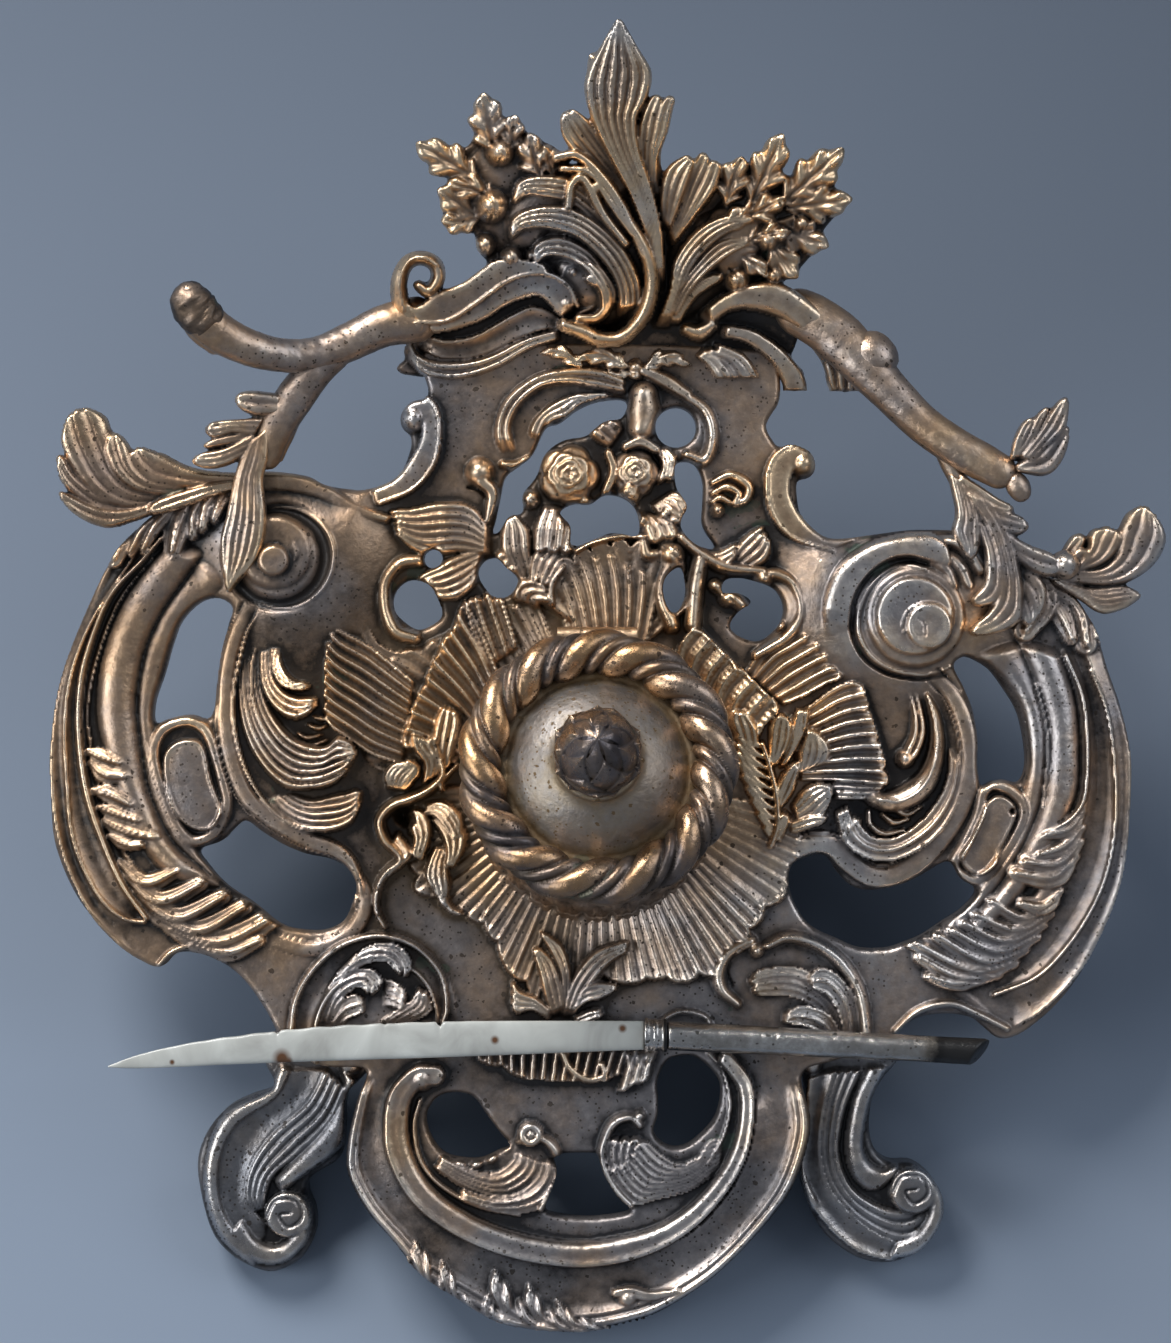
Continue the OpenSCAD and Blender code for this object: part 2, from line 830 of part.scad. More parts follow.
module crest_scroll() {
    color("goldenrod")
        beside_plume() {
            raised(crest_leaf_thickness)
                stroke([[-39, 108], [-34, 104], [-26, 104.5], [-19, 109.5], [-12, 111.5],
                        [-8, 110]], 4, 6);
            scroll_eye(0);
        }
}

// The arm that sweeps out and down at the right.
module arm_outline() {
    stroke([[20, 104], [28, 107], [37, 106.5], [44, 101], [47, 95.5]], 5, 9);
}

module crest_arm() {
    color("goldenrod")
        on_crest_front()
            arm_outline();
}

// The tall acanthus leaf in the middle.
module crest_plume() {
    color("sandybrown")
        on_crest_front()
            shape(plume_outline);
}

module leaf_spray(outline) {
    beside_plume()
        raised(crest_leaf_thickness)
            shape(outline);
}

module leaf_spray_left() {
    color("darkgoldenrod")
        leaf_spray([[-9, 119], [-18, 117.5], [-26, 121], [-33, 128], [-34, 134], [-39, 142],
                    [-32, 143.5], [-25, 142], [-24, 153], [-18, 149], [-12, 144], [-5, 138],
                    [-5, 126]]);
}

module leaf_spray_right() {
    color("darkgoldenrod")
        leaf_spray([[14, 116], [22, 112], [31, 113], [45, 114.5], [52, 120], [57, 129],
                    [57, 141], [49, 140], [43, 145], [35, 140], [26, 141], [18, 136],
                    [13, 126]]);
}

// ---- Pen rests: two branches that spring from the crest and touch down at the shoulders ----
// Each route point holds across, along, height over the plate and radius.
left_trunk = [
    [-37, 101, 6, 4.6], [-45, 102, 7.5, 4.3], [-53, 98.5, 9, 3.9], [-61, 95.5, 11, 3.7],
    [-69, 95.5, 14, 3.4], [-77, 98, 17, 3.5], [-84, 103, 20, 3.8], [-89, 110.5, 23, 3.2]
];
left_prong = [
    [-57, 96.5, 10, 3.4], [-63, 89, 10, 3.4], [-68, 81, 10, 3.6], [-73, 73, 9.5, 4],
    [-77, 64, 6, 4], [-80, 55, 4.3, 3.6]
];
right_trunk = [
    [38, 105.5, 7, 4.8], [48, 103.5, 8, 4.8], [57, 97.5, 9, 5], [64, 89, 10, 4.6],
    [71, 81.5, 11, 4.2], [79, 75, 12, 3.8], [87, 70.5, 13, 3.6], [94, 67, 14, 3.2]
];
right_prong = [
    [80, 74, 11.5, 3.4], [83, 67, 9.5, 3.2], [86.5, 60, 7, 3.6], [89, 50, 5.4, 3.8],
    [88, 43, 5, 2.8]
];

leaf_gap = 0.05;

// A branch follows the crest at its root, and stands on the tray at its tip.
drawn_plate_thickness = 3.2;

module branch_bead(route, i, margin) {
    p = route[i];
    follow = (drawn_plate_thickness - plate_thickness) * (1 - i / (len(route) - 1));
    translate([p[0] * k, p[1] * k, p[2] + follow])
        sphere(r = p[3] * k + margin, $fn = 14);
}

module branch(route, margin = 0) {
    for (i = [0:len(route) - 2])
        hull() {
            branch_bead(route, i, margin);
            branch_bead(route, i + 1, margin);
        }
}

// Keeps a branch out of the pieces that it stands on and grows from.
module clear_of_neighbours() {
    seat_gap = 0.1;
    difference() {
        children();
        on_crest(-far / 2)
            raised(far / 2 + crest_thickness + crest_leaf_thickness + 0.01)
                translate([-43 * k, (crest_line - 20) * k])
                    square([90 * k, 60 * k]);
        on_crest(crest_thickness) {
            scroll_eye(seat_gap);
            raised(crest_leaf_thickness + seat_gap)
                offset(r = seat_gap)
                    arm_outline();
        }
        on_tray(-far)
            raised(far + 0.01)
                translate([-far, -far])
                    square([2 * far, far + 66 * k]);
        on_tray() {
            raised(border_height + seat_gap)
                offset(r = seat_gap) {
                    shape(border_left_outline);
                    shape(border_right_outline);
                }
            raised(shell_height + seat_gap)
                offset(r = seat_gap) {
                    shape(leaf_left_outline);
                    shape(leaf_right_outline);
                }
        }
        volute(volute_left_place, volute_left_radii, volute_heights, seat_gap);
        volute(volute_right_place, volute_right_radii, volute_heights, seat_gap);
    }
}

module pen_branch_left() {
    color("peru")
        clear_of_neighbours()
            on_tray() {
                branch(left_trunk);
                branch(left_prong);
            }
}

module pen_branch_right() {
    color("peru")
        clear_of_neighbours()
            on_tray() {
                branch(right_trunk);
                branch(right_prong);
            }
}

module branch_leaf_left() {
    color("goldenrod")
        difference() {
            on_tray()
                branch([[-66, 86, 9.5, 1.6], [-76, 84, 10.5, 3], [-85, 77, 10, 2]]);
            on_tray()
                branch(left_prong, leaf_gap);
        }
}

module branch_leaf_right() {
    color("goldenrod")
        difference() {
            on_tray()
                branch([[94, 67, 14, 1.8], [97, 74, 17, 3.4], [104, 85, 21, 1.6]]);
            on_tray()
                branch(right_trunk, leaf_gap);
        }
}

// ---- Inkwell ----
module hinge_knuckle(from_x, length, radius) {
    translate([from_x, hinge_y, hinge_z])
        rotate([0, 90, 0])
            cylinder(r = radius, h = length);
}

module well_body() {
    color("darkgoldenrod")
        difference() {
            union() {
                difference() {
                    on_well()
                        translate([0, 0, -well_radius])
                            cylinder(r = well_radius, h = well_radius + well_top);
                    on_tray(-far)
                        translate([-far, -far, 0])
                            cube([2 * far, 2 * far, far]);
                }
                on_well()
                    translate([0, 0, well_bottom])
                        cylinder(r = cup_radius, h = well_top - well_bottom - 2);
                // Two ears at the back carry the hinge pin.
                on_well()
                    for (side = [-1, 1])
                        translate([side > 0 ? knuckle_length / 2 + knuckle_gap
                                            : -knuckle_length / 2 - knuckle_gap - ear_length,
                                   0, 0])
                            hull() {
                                translate([0, hinge_y, hinge_z])
                                    rotate([0, 90, 0])
                                        cylinder(r = hinge_barrel_radius, h = ear_length);
                                translate([0, well_radius - 3, hinge_z - 9])
                                    cube([ear_length, 1, 3]);
                            }
            }
            on_well() {
                translate([0, 0, well_bottom + cup_floor])
                    cylinder(r = cup_bore, h = far);
                hinge_knuckle(-far / 2, far, hinge_pin_radius);
            }
            on_tray()
                screw_holes(well_screw_places, screw_bite, well_screw_radius);
        }
}

module well_screw(place) {
    on_tray(-plate_thickness)
        translate([place.x, place.y, 0])
            screw(screw_bite + plate_thickness, well_screw_radius);
}

module well_screw_left() {
    color("dimgray")
        well_screw(well_screw_places[0]);
}

module well_screw_right() {
    color("dimgray")
        well_screw(well_screw_places[1]);
}

module ink_liner() {
    color("lightsteelblue", 0.5)
        on_well()
            difference() {
                translate([0, 0, well_bottom + cup_floor])
                    cylinder(r = liner_radius, h = well_top - well_bottom - cup_floor - 2);
                translate([0, 0, well_bottom + cup_floor + liner_wall])
                    cylinder(r = liner_radius - liner_wall, h = far);
            }
}

module hinge_pin() {
    color("dimgray")
        on_well()
            hinge_knuckle(-knuckle_length / 2 - knuckle_gap - ear_length,
                          knuckle_length + 2 * knuckle_gap + 2 * ear_length, hinge_pin_radius);
}

// ---- Lid ----
module lid_dome() {
    color("sandybrown")
        on_well()
            translate([0, 0, lid_rest])
                difference() {
                    rotate_extrude()
                        difference() {
                            union() {
                                square([flange_radius, flange_thickness]);
                                translate([0, -register_depth])
                                    square([liner_radius - register_gap, register_depth]);
                                dome_section(dome_radius, dome_height);
                            }
                            translate([0, -register_depth])
                                dome_section(dome_radius - dome_wall,
                                             dome_height - dome_wall + register_depth);
                        }
                    translate([0, 0, -far / 2])
                        cylinder(r = finial_stem_radius, h = far);
                }
}

// A quarter of a dome's cross-section, from its axis outward, standing on its base.
module dome_section(radius, height) {
    polygon(concat([[0, 0]],
                   [for (i = [0:16])
                       let (a = 90 * i / 16)
                       [radius * cos(a), flange_thickness + height * sin(a)]]));
    square([radius, flange_thickness]);
}

// The lid's own knuckle, on a short arm that runs under the rope.
module lid_knuckle() {
    color("sandybrown")
        on_well()
            difference() {
                union() {
                    hinge_knuckle(-knuckle_length / 2, knuckle_length, hinge_barrel_radius);
                    translate([-knuckle_length / 2, flange_radius - 0.6, lid_rest])
                        cube([knuckle_length, hinge_y - flange_radius + 0.6,
                              hinge_barrel_radius + hinge_z - lid_rest]);
                }
                hinge_knuckle(-far / 2, far, hinge_pin_radius + hinge_clearance);
                cylinder(r = flange_radius, h = far);
            }
}

// The twisted-rope moulding round the lid.
module rope_ring() {
    color("chocolate")
        on_well()
            translate([0, 0, lid_rest + flange_thickness])
                rotate_extrude()
                    difference() {
                        translate([rope_radius, rope_thickness - 1.5])
                            circle(r = rope_thickness);
                        translate([0, -far])
                            square([far, far]);
                        dome_section_clear();
                    }
}

module dome_section_clear() {
    translate([0, -flange_thickness])
        dome_section(dome_radius + 0.02, dome_height);
}

dome_top = lid_rest + flange_thickness + dome_height;
// The nut's corners meet the inside of the dome a little below its crown.
nut_share = finial_nut_radius / (dome_radius - dome_wall);
nut_top = dome_top - dome_wall - 0.1
          - (dome_height - dome_wall) * (1 - sqrt(1 - nut_share * nut_share));

// The pine cone that the lid is lifted by.
module finial() {
    color("darkgoldenrod")
        on_well() {
            rotate_extrude()
                difference() {
                    translate([0, dome_top])
                        polygon(concat([[0, -1], [finial_radius * 0.55, -1]],
                                       [for (i = [0:12])
                                           let (t = i / 12)
                                           [finial_radius * (0.55 * (1 - t)
                                                             + sin(180 * pow(t, 0.75)) * 0.72),
                                            finial_height * (0.08 + 0.92 * t)]]));
                    translate([0, lid_rest])
                        dome_section(dome_radius, dome_height);
                }
            translate([0, 0, nut_top - finial_nut_thickness])
                cylinder(r = finial_stem_radius, h = dome_top + 1 - nut_top
                                                     + finial_nut_thickness);
        }
}

module finial_nut() {
    color("dimgray")
        on_well()
            translate([0, 0, nut_top - finial_nut_thickness])
                difference() {
                    cylinder(r = finial_nut_radius, h = finial_nut_thickness, $fn = 6);
                    translate([0, 0, -1])
                        cylinder(r = finial_stem_radius, h = finial_nut_thickness + 2);
                }
}

// ---- Pen: a paper-knife blade, a ferrule and a tube, lying loose across the front ----
// Places things along the pen's own axis, from the blade's tip.
module on_pen() {
    on_tray(pen_rest_w + blade_thickness / 2)
        translate([pen_rests[0], pen_v, 0])
            rotate([0, -pen_slope, 0])
                translate([pen_start_u - pen_rests[0], 0, 0])
                    children();
}

blade_outline = [
    [0, -0.8], [0.1, -0.45], [0.4, 0.35], [0.7, 0.6], [0.97, 0.6], [1.03, 0.5], [1.03, -0.3],
    [0.97, -0.38], [0.6, -0.55], [0.3, -0.72]
];
blade_depth = 7;

module pen_blade() {
    color("ivory")
        on_pen()
            translate([0, 0, -blade_thickness / 2])
                raised(blade_thickness)
                    intersection() {
                        polygon(smooth_loop([for (p = blade_outline)
                            [p.x * blade_length, p.y * blade_depth]], 3));
                        translate([-blade_depth, -blade_depth])
                            square([blade_length + blade_depth, 2 * blade_depth]);
                    }
}

module pen_ferrule() {
    color("silver")
        on_pen()
            translate([blade_length, 0.6, 0])
                rotate([0, 90, 0])
                    cylinder(r = tube_radius, h = ferrule_length);
}

module pen_tube() {
    color("gray")
        on_pen()
            difference() {
                translate([blade_length + ferrule_length, 0.6, 0])
                    rotate([0, 90, 0])
                        cylinder(r1 = tube_radius, r2 = tube_radius * 0.82, h = tube_length);
                // The end is cut on the slant.
                translate([blade_length + ferrule_length + tube_length - 1, 0.6, 0])
                    rotate([0, 0, -28])
                        translate([0, -far / 4, -far / 4])
                            cube([far / 2, far / 2, far / 2]);
            }
}

tray_plate();
border_left();
border_right();
border_leaf_left();
border_leaf_right();
medallion_left();
medallion_right();
shoulder_volute_left();
shoulder_volute_right();
inner_rim_left();
inner_rim_right();
rocaille_left();
rocaille_right();
shell_surround();
lower_scroll_left();
lower_scroll_right();
front_apron();
apron_shell_left();
apron_shell_right();
front_foot_left();
front_foot_right();
front_foot_screw_left();
front_foot_screw_right();
rear_leg_left();
rear_leg_right();
rear_leg_screw_left();
rear_leg_screw_right();
back_frame();
frame_screw_left();
frame_screw_right();
rose_garland();
crest_plate();
crest_screw_left();
crest_screw_right();
crest_cornice();
crest_scroll();
crest_arm();
crest_plume();
leaf_spray_left();
leaf_spray_right();
pen_branch_left();
pen_branch_right();
branch_leaf_left();
branch_leaf_right();
well_body();
well_screw_left();
well_screw_right();
ink_liner();
hinge_pin();
lid_dome();
lid_knuckle();
rope_ring();
finial();
finial_nut();
pen_blade();
pen_ferrule();
pen_tube();
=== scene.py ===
"""The looks of the desk inkstand: cast and chased bronze relief, a domed inkwell and a loose pen.

Relief is drawn in millimetres in the plane of the tray, as it is seen square on: u runs across,
v runs up the slope to the back, and w stands off the tray. Everything is then placed in metres.
"""
import math

import bpy
import numpy as np
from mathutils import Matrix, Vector


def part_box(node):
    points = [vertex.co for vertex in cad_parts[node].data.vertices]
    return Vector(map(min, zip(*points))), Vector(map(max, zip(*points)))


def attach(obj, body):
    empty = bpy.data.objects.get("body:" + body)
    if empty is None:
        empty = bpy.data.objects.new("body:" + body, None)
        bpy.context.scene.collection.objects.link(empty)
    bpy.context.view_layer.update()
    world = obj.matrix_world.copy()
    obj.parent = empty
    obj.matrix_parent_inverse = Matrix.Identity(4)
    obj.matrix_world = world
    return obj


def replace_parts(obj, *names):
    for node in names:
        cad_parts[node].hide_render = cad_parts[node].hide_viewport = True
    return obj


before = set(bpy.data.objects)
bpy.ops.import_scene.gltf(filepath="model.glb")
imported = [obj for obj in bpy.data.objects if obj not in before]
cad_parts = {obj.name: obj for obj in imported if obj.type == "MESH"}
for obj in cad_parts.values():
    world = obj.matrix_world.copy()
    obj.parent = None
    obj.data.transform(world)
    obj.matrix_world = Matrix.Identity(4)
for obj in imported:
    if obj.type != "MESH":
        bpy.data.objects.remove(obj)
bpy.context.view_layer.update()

# ---------------------------------------------------------------- frame of reference
MM = 0.001
TILT = math.radians(14)
WELL_U, WELL_V = 1.5, -1.5
LINER_FOOT = -11.5          # the glass liner stands this far below the plate, on the well's axis
PLATE = 3.2                 # thickness of the tray plate
EYE_U, EYE_V, EYE_W = -1.1, 25.6, 1000.0   # the camera looks square on to the tray from here
LEVEL = 3.0                 # the height over the plate at which the relief was read

liner_low, liner_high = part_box("ink_liner")
WELL_X = (liner_low.x + liner_high.x) / 2
WELL_Y = (liner_low.y + liner_high.y) / 2
WELL_Z = liner_low.z - LINER_FOOT * MM
ORIGIN = np.array([
    WELL_X - WELL_U * MM,
    WELL_Y - WELL_V * math.cos(TILT) * MM,
    WELL_Z - WELL_V * math.sin(TILT) * MM,
])
ALONG = np.array([0, math.cos(TILT), math.sin(TILT)]) * MM
UP = np.array([0, -math.sin(TILT), math.cos(TILT)]) * MM
ACROSS = np.array([1, 0, 0]) * MM

CREST_V = 93.0              # the crest leans back from this line
CREST_LEAN = math.radians(25)


def place(u, v, w):
    """Metres from true tray millimetres."""
    u, v, w = np.broadcast_arrays(u, v, w)
    return (ORIGIN + u[..., None] * ACROSS + v[..., None] * ALONG + w[..., None] * UP)


def sight(u, v, w):
    """True u and v of what is seen at u, v when it stands at height w."""
    shrink = 1 - np.asarray(w) / EYE_W
    return EYE_U + (np.asarray(u) - EYE_U) * shrink, EYE_V + (np.asarray(v) - EYE_V) * shrink


def on_tray(u, v, w):
    """Places what is seen at u, v on the tray, w over the plate."""
    tu, tv = sight(u, v, LEVEL)
    return place(tu, tv, w)


def on_crest(u, v, n):
    """Places what is seen at u, v on the leaning crest, n off its face."""
    rise = math.tan(CREST_LEAN)
    u, v, n = np.broadcast_arrays(np.asarray(u, float), v, n)
    foot = n / math.cos(CREST_LEAN) - PLATE
    shrink = (EYE_W - foot - (EYE_V - CREST_V) * rise) / (EYE_W + (v - EYE_V) * rise)
    tu = EYE_U + (u - EYE_U) * shrink
    tv = EYE_V + (v - EYE_V) * shrink
    tw = EYE_W * (1 - shrink)
    return place(tu, tv, tw)


# ---------------------------------------------------------------- curves
def smooth(points, closed=False, steps=8):
    """A smooth line through the points, of any number of columns."""
    p = np.asarray(points, float)
    if closed:
        p = np.vstack([p[-1], p, p[0], p[1]])
    else:
        p = np.vstack([2 * p[0] - p[1], p, 2 * p[-1] - p[-2]])
    t = np.linspace(0, 1, steps, endpoint=False)[:, None]
    rows = []
    for a, b, c, d in zip(p, p[1:], p[2:], p[3:]):
        rows.append(0.5 * (2 * b + (c - a) * t + (2 * a - 5 * b + 4 * c - d) * t * t
                           + (3 * b - a - 3 * c + d) * t ** 3))
    out = np.vstack(rows)
    return out if closed else np.vstack([out, p[-2]])


def even(line, count):
    """The same line with evenly spaced points."""
    gaps = np.linalg.norm(np.diff(line, axis=0), axis=1)
    along = np.concatenate([[0], np.cumsum(gaps)])
    where = np.linspace(0, along[-1], count)
    return np.stack([np.interp(where, along, line[:, i]) for i in range(line.shape[1])], 1)


def nearest(line, u, v):
    """Distance to a line (positive on its left) and the share of its length, for every place."""
    best = np.full(u.shape, 1e12)
    side = np.ones(u.shape)
    share = np.zeros(u.shape)
    gaps = np.linalg.norm(np.diff(line, axis=0), axis=1)
    start = np.concatenate([[0], np.cumsum(gaps)])
    for i in range(len(line) - 1):
        if gaps[i] < 1e-9:
            continue
        du, dv = (line[i + 1] - line[i]) / gaps[i]
        ru, rv = u - line[i, 0], v - line[i, 1]
        t = np.clip(ru * du + rv * dv, 0, gaps[i])
        ru = ru - t * du
        rv = rv - t * dv
        r = ru * ru + rv * rv
        near = r < best
        best = np.where(near, r, best)
        side = np.where(near, du * rv - dv * ru, side)
        share = np.where(near, (start[i] + t) / start[-1], share)
    return np.sqrt(best) * np.where(side < 0, -1, 1), share


def within(loop, u, v):
    """True inside a closed loop."""
    hit = np.zeros(u.shape, bool)
    ends = np.roll(loop, -1, axis=0)
    for (u1, v1), (u2, v2) in zip(loop, ends):
        if v1 == v2:
            continue
        crosses = (v1 > v) != (v2 > v)
        hit ^= crosses & (u < (u2 - u1) * (v - v1) / (v2 - v1) + u1)
    return hit


def ramp(values, t):
    """A value, or values spread evenly along t from 0 to 1."""
    values = np.atleast_1d(np.asarray(values, float))
    if len(values) == 1:
        return np.full(np.shape(t), values[0])
    return np.interp(t, np.linspace(0, 1, len(values)), values)


def section(points):
    """A smooth cross-section from (place, height) points, as a function of place."""
    p = np.asarray(points, float)
    fine = smooth(p, steps=10)
    order = np.argsort(fine[:, 0])
    fine = fine[order]
    return lambda x: np.interp(x, fine[:, 0], fine[:, 1])


def bead(x):
    """A half-round cross-section."""
    return np.sqrt(np.clip(1 - x * x, 0, 1))


def soft(x):
    """A cross-section that dies away on both sides."""
    return np.where(np.abs(x) < 1, 0.5 + 0.5 * np.cos(np.pi * np.clip(x, -1, 1)), 0)


def blur(a, cells):
    """A soft blur by repeated running means."""
    for _ in range(3):
        for axis in (0, 1):
            n = int(max(1, round(cells)))
            pad = [(0, 0), (0, 0)]
            pad[axis] = (n + 1, n)
            c = np.cumsum(np.pad(a, pad, mode="edge"), axis=axis)
            hi = [slice(None), slice(None)]
            lo = [slice(None), slice(None)]
            hi[axis] = slice(2 * n + 1, None)
            lo[axis] = slice(None, -(2 * n + 1))
            a = (c[tuple(hi)] - c[tuple(lo)]) / (2 * n + 1)
    return a


# ---------------------------------------------------------------- relief sheets
class Sheet:
    """A casting drawn as heights over a grid."""

    def __init__(self, low, high, cell):
        self.cell = cell
        us = np.arange(low[0], high[0] + cell, cell)
        vs = np.arange(low[1], high[1] + cell, cell)
        self.low = np.array([us[0], vs[0]])
        self.u, self.v = np.meshgrid(us, vs)
        self.h = np.zeros(self.u.shape)
        self.room = np.full(self.u.shape, -50.0)      # distance inside the edge
        self.part = np.zeros(self.u.shape, int)

    def middles(self):
        """The u and v of the middle of every cell."""
        return (self.u[:-1, :-1] + self.u[1:, 1:]) / 2, (self.v[:-1, :-1] + self.v[1:, 1:]) / 2

    def window(self, line, margin):
        """The part of the grid that a line and a margin round it can touch."""
        low = np.floor((line[:, :2].min(0) - margin - self.low) / self.cell).astype(int)
        high = np.ceil((line[:, :2].max(0) + margin - self.low) / self.cell).astype(int) + 1
        low = np.maximum(low, 0)
        high = np.maximum(high, 0)
        return slice(low[1], high[1]), slice(low[0], high[0])

    def distance(self, loop, margin=6.0):
        """Distance inside a closed smooth loop, with its window."""
        line = smooth(loop, closed=True, steps=6)
        win = self.window(line, margin)
        u, v = self.u[win], self.v[win]
        d, _ = nearest(np.vstack([line, line[:1]]), u, v)
        return win, np.where(within(line, u, v), np.abs(d), -np.abs(d))

    def add(self, loop):
        """Adds metal inside a closed loop."""
        win, d = self.distance(loop)
        self.room[win] = np.maximum(self.room[win], d)

    def cut(self, loop):
        """Opens a hole inside a closed loop."""
        win, d = self.distance(loop)
        self.room[win] = np.minimum(self.room[win], -d)

    def cut_round(self, u, v, r):
        """Opens a round hole."""
        self.room = np.minimum(self.room, np.hypot(self.u - u, self.v - v) - r)

    def lay(self, win, weight, height, mode):
        """Puts a height down: over (the higher), level (blended), add or sink."""
        h = self.h[win]
        if mode == "over":
            self.h[win] = np.where(weight > 0, np.maximum(h, weight * height), h)
        elif mode == "level":
            self.h[win] = h + (height - h) * np.clip(weight, 0, 1)
        elif mode == "add":
            self.h[win] = h + weight * height
        elif mode == "sink":
            self.h[win] = h - weight * height

    def stroke(self, points, width, height, profile=bead, mode="over", closed=False):
        """A raised or sunk line whose width and height may change along it."""
        line = smooth(points, closed=closed)
        if closed:
            line = np.vstack([line, line[:1]])
        win = self.window(line, np.max(width) / 2 + 1)
        d, t = nearest(line, self.u[win], self.v[win])
        half = np.maximum(ramp(width, t) / 2, 1e-6)
        x = d / half
        weight = np.where(np.abs(x) < 1, profile(x), 0)
        self.lay(win, weight, ramp(height, t), mode)

    def moulding(self, points, width, height, cross, edge=0.12, ends=(0.0, 0.0)):
        """A band with a drawn cross-section, from -1 on its left side to 1 on its right."""
        line = smooth(points)
        win = self.window(line, np.max(width) / 2 + 1)
        d, t = nearest(line, self.u[win], self.v[win])
        x = -d / np.maximum(ramp(width, t) / 2, 1e-6)
        weight = np.clip((1 - np.abs(x)) / edge, 0, 1)
        weight = weight * weight * (3 - 2 * weight)
        if ends[0] > 0:
            weight = weight * np.clip(t / ends[0], 0, 1) ** 0.5
        if ends[1] > 0:
            weight = weight * np.clip((1 - t) / ends[1], 0, 1) ** 0.5
        self.lay(win, weight, ramp(height, t) * cross(np.clip(x, -1, 1)), "level")

    def between(self, rail_a, rail_b, height, cross, ends=(0.06, 0.06)):
        """Fills the band between two rails with a cross-section from 0 on rail a to 1 on b."""
        a = smooth(rail_a)
        b = smooth(rail_b)
        loop = np.vstack([a, b[::-1]])
        win = self.window(loop, 1)
        u, v = self.u[win], self.v[win]
        da, t = nearest(a, u, v)
        db, _ = nearest(b, u, v)
        da, db = np.abs(da), np.abs(db)
        inside = within(loop, u, v)
        s = da / np.maximum(da + db, 1e-6)
        fade = np.clip(np.minimum(t / max(ends[0], 1e-6), (1 - t) / max(ends[1], 1e-6)), 0, 1)
        fade = fade * fade * (3 - 2 * fade)
        h = ramp(height, t) * cross(s)
        self.h[win] = np.where(inside, self.h[win] * (1 - fade) + h * fade, self.h[win])

    def dome(self, loop, height, rise):
        """A smooth swelling over a closed loop, full height this far in from its edge."""
        win, d = self.distance(loop, 1)
        x = np.clip(d / rise, 0, 1)
        self.lay(win, np.where(d > 0, np.sqrt(1 - (1 - x) ** 2), 0), height, "add")

    def swell(self, loop, height, rise):
        """A broad swelling that leaves the ground without an edge."""
        win, d = self.distance(loop, 1)
        x = np.clip(d / rise, 0, 1)
        self.lay(win, x * x * (3 - 2 * x), height, "add")

    def read(self, values, u, v):
        """The value that a grid holds at each place."""
        col = np.clip(((u - self.low[0]) / self.cell).astype(int), 0, values.shape[1] - 1)
        row = np.clip(((v - self.low[1]) / self.cell).astype(int), 0, values.shape[0] - 1)
        return values[row, col]

    def rub_and_light(self, u, v, wide, tall, amount):
        """Paints the metal round a place lighter or darker: painted light and shade."""
        near = ((self.u - u) / wide) ** 2 + ((self.v - v) / tall) ** 2
        self.wear_and_painted_light = self.wear_and_painted_light + amount * np.exp(-near)

    def boss(self, u, v, radius, height):
        """A round knob."""
        line = np.array([[u - radius, v - radius], [u + radius, v + radius]])
        win = self.window(line, 1)
        r = np.hypot(self.u[win] - u, self.v[win] - v) / radius
        self.lay(win, np.where(r < 1, bead(r), 0), height, "over")

    def fan(self, centre, angles, inner, outer, lobes, low, high, flute, ragged, beads,
            curl=0.8, lip=0.35):
        """A fluted shell: ribs spread from a centre to a lobed, slightly turned-up edge."""
        cu, cv = centre
        a0, a1 = (math.radians(x) for x in angles)
        big = np.max(outer) + 3
        line = np.array([[cu - big, cv - big], [cu + big, cv + big]])
        win = self.window(line, 0)
        u, v = self.u[win] - cu, self.v[win] - cv
        r = np.hypot(u, v)
        mid = (a0 + a1) / 2
        angle = (np.arctan2(v, u) - mid + np.pi) % (2 * np.pi) - np.pi + mid
        q = (angle - a0) / (a1 - a0)
        edge = ramp(outer, np.clip(q, 0, 1))
        wave = np.abs(np.sin(np.pi * lobes * q))
        rim = edge * (1 - ragged * (1 - wave ** 0.6))
        s = np.clip((r - inner) / np.maximum(rim - inner, 1e-3), 0, 1.2)
        body = low + (high - low) * np.clip(s, 0, 1)
        body = body + curl * np.clip((s - 0.75) / 0.25, 0, 1) ** 2
        body = body + flute * (wave - 0.55) * np.clip(s * 1.6, 0.15, 1)
        dots = np.clip(np.sin(2 * np.pi * r / beads), 0, 1) * np.clip(1 - wave * 2.2, 0, 1)
        body = body + 0.5 * dots * (s > 0.15)
        weight = np.clip((rim - r) / lip, 0, 1) ** 0.5 * (r > inner)
        weight = weight * np.clip(q * lobes * 3, 0, 1) * np.clip((1 - q) * lobes * 3, 0, 1)
        ok = (q > 0) & (q < 1) & (r < rim) & (r > inner)
        self.h[win] = np.where(ok, np.maximum(self.h[win], body * weight), self.h[win])

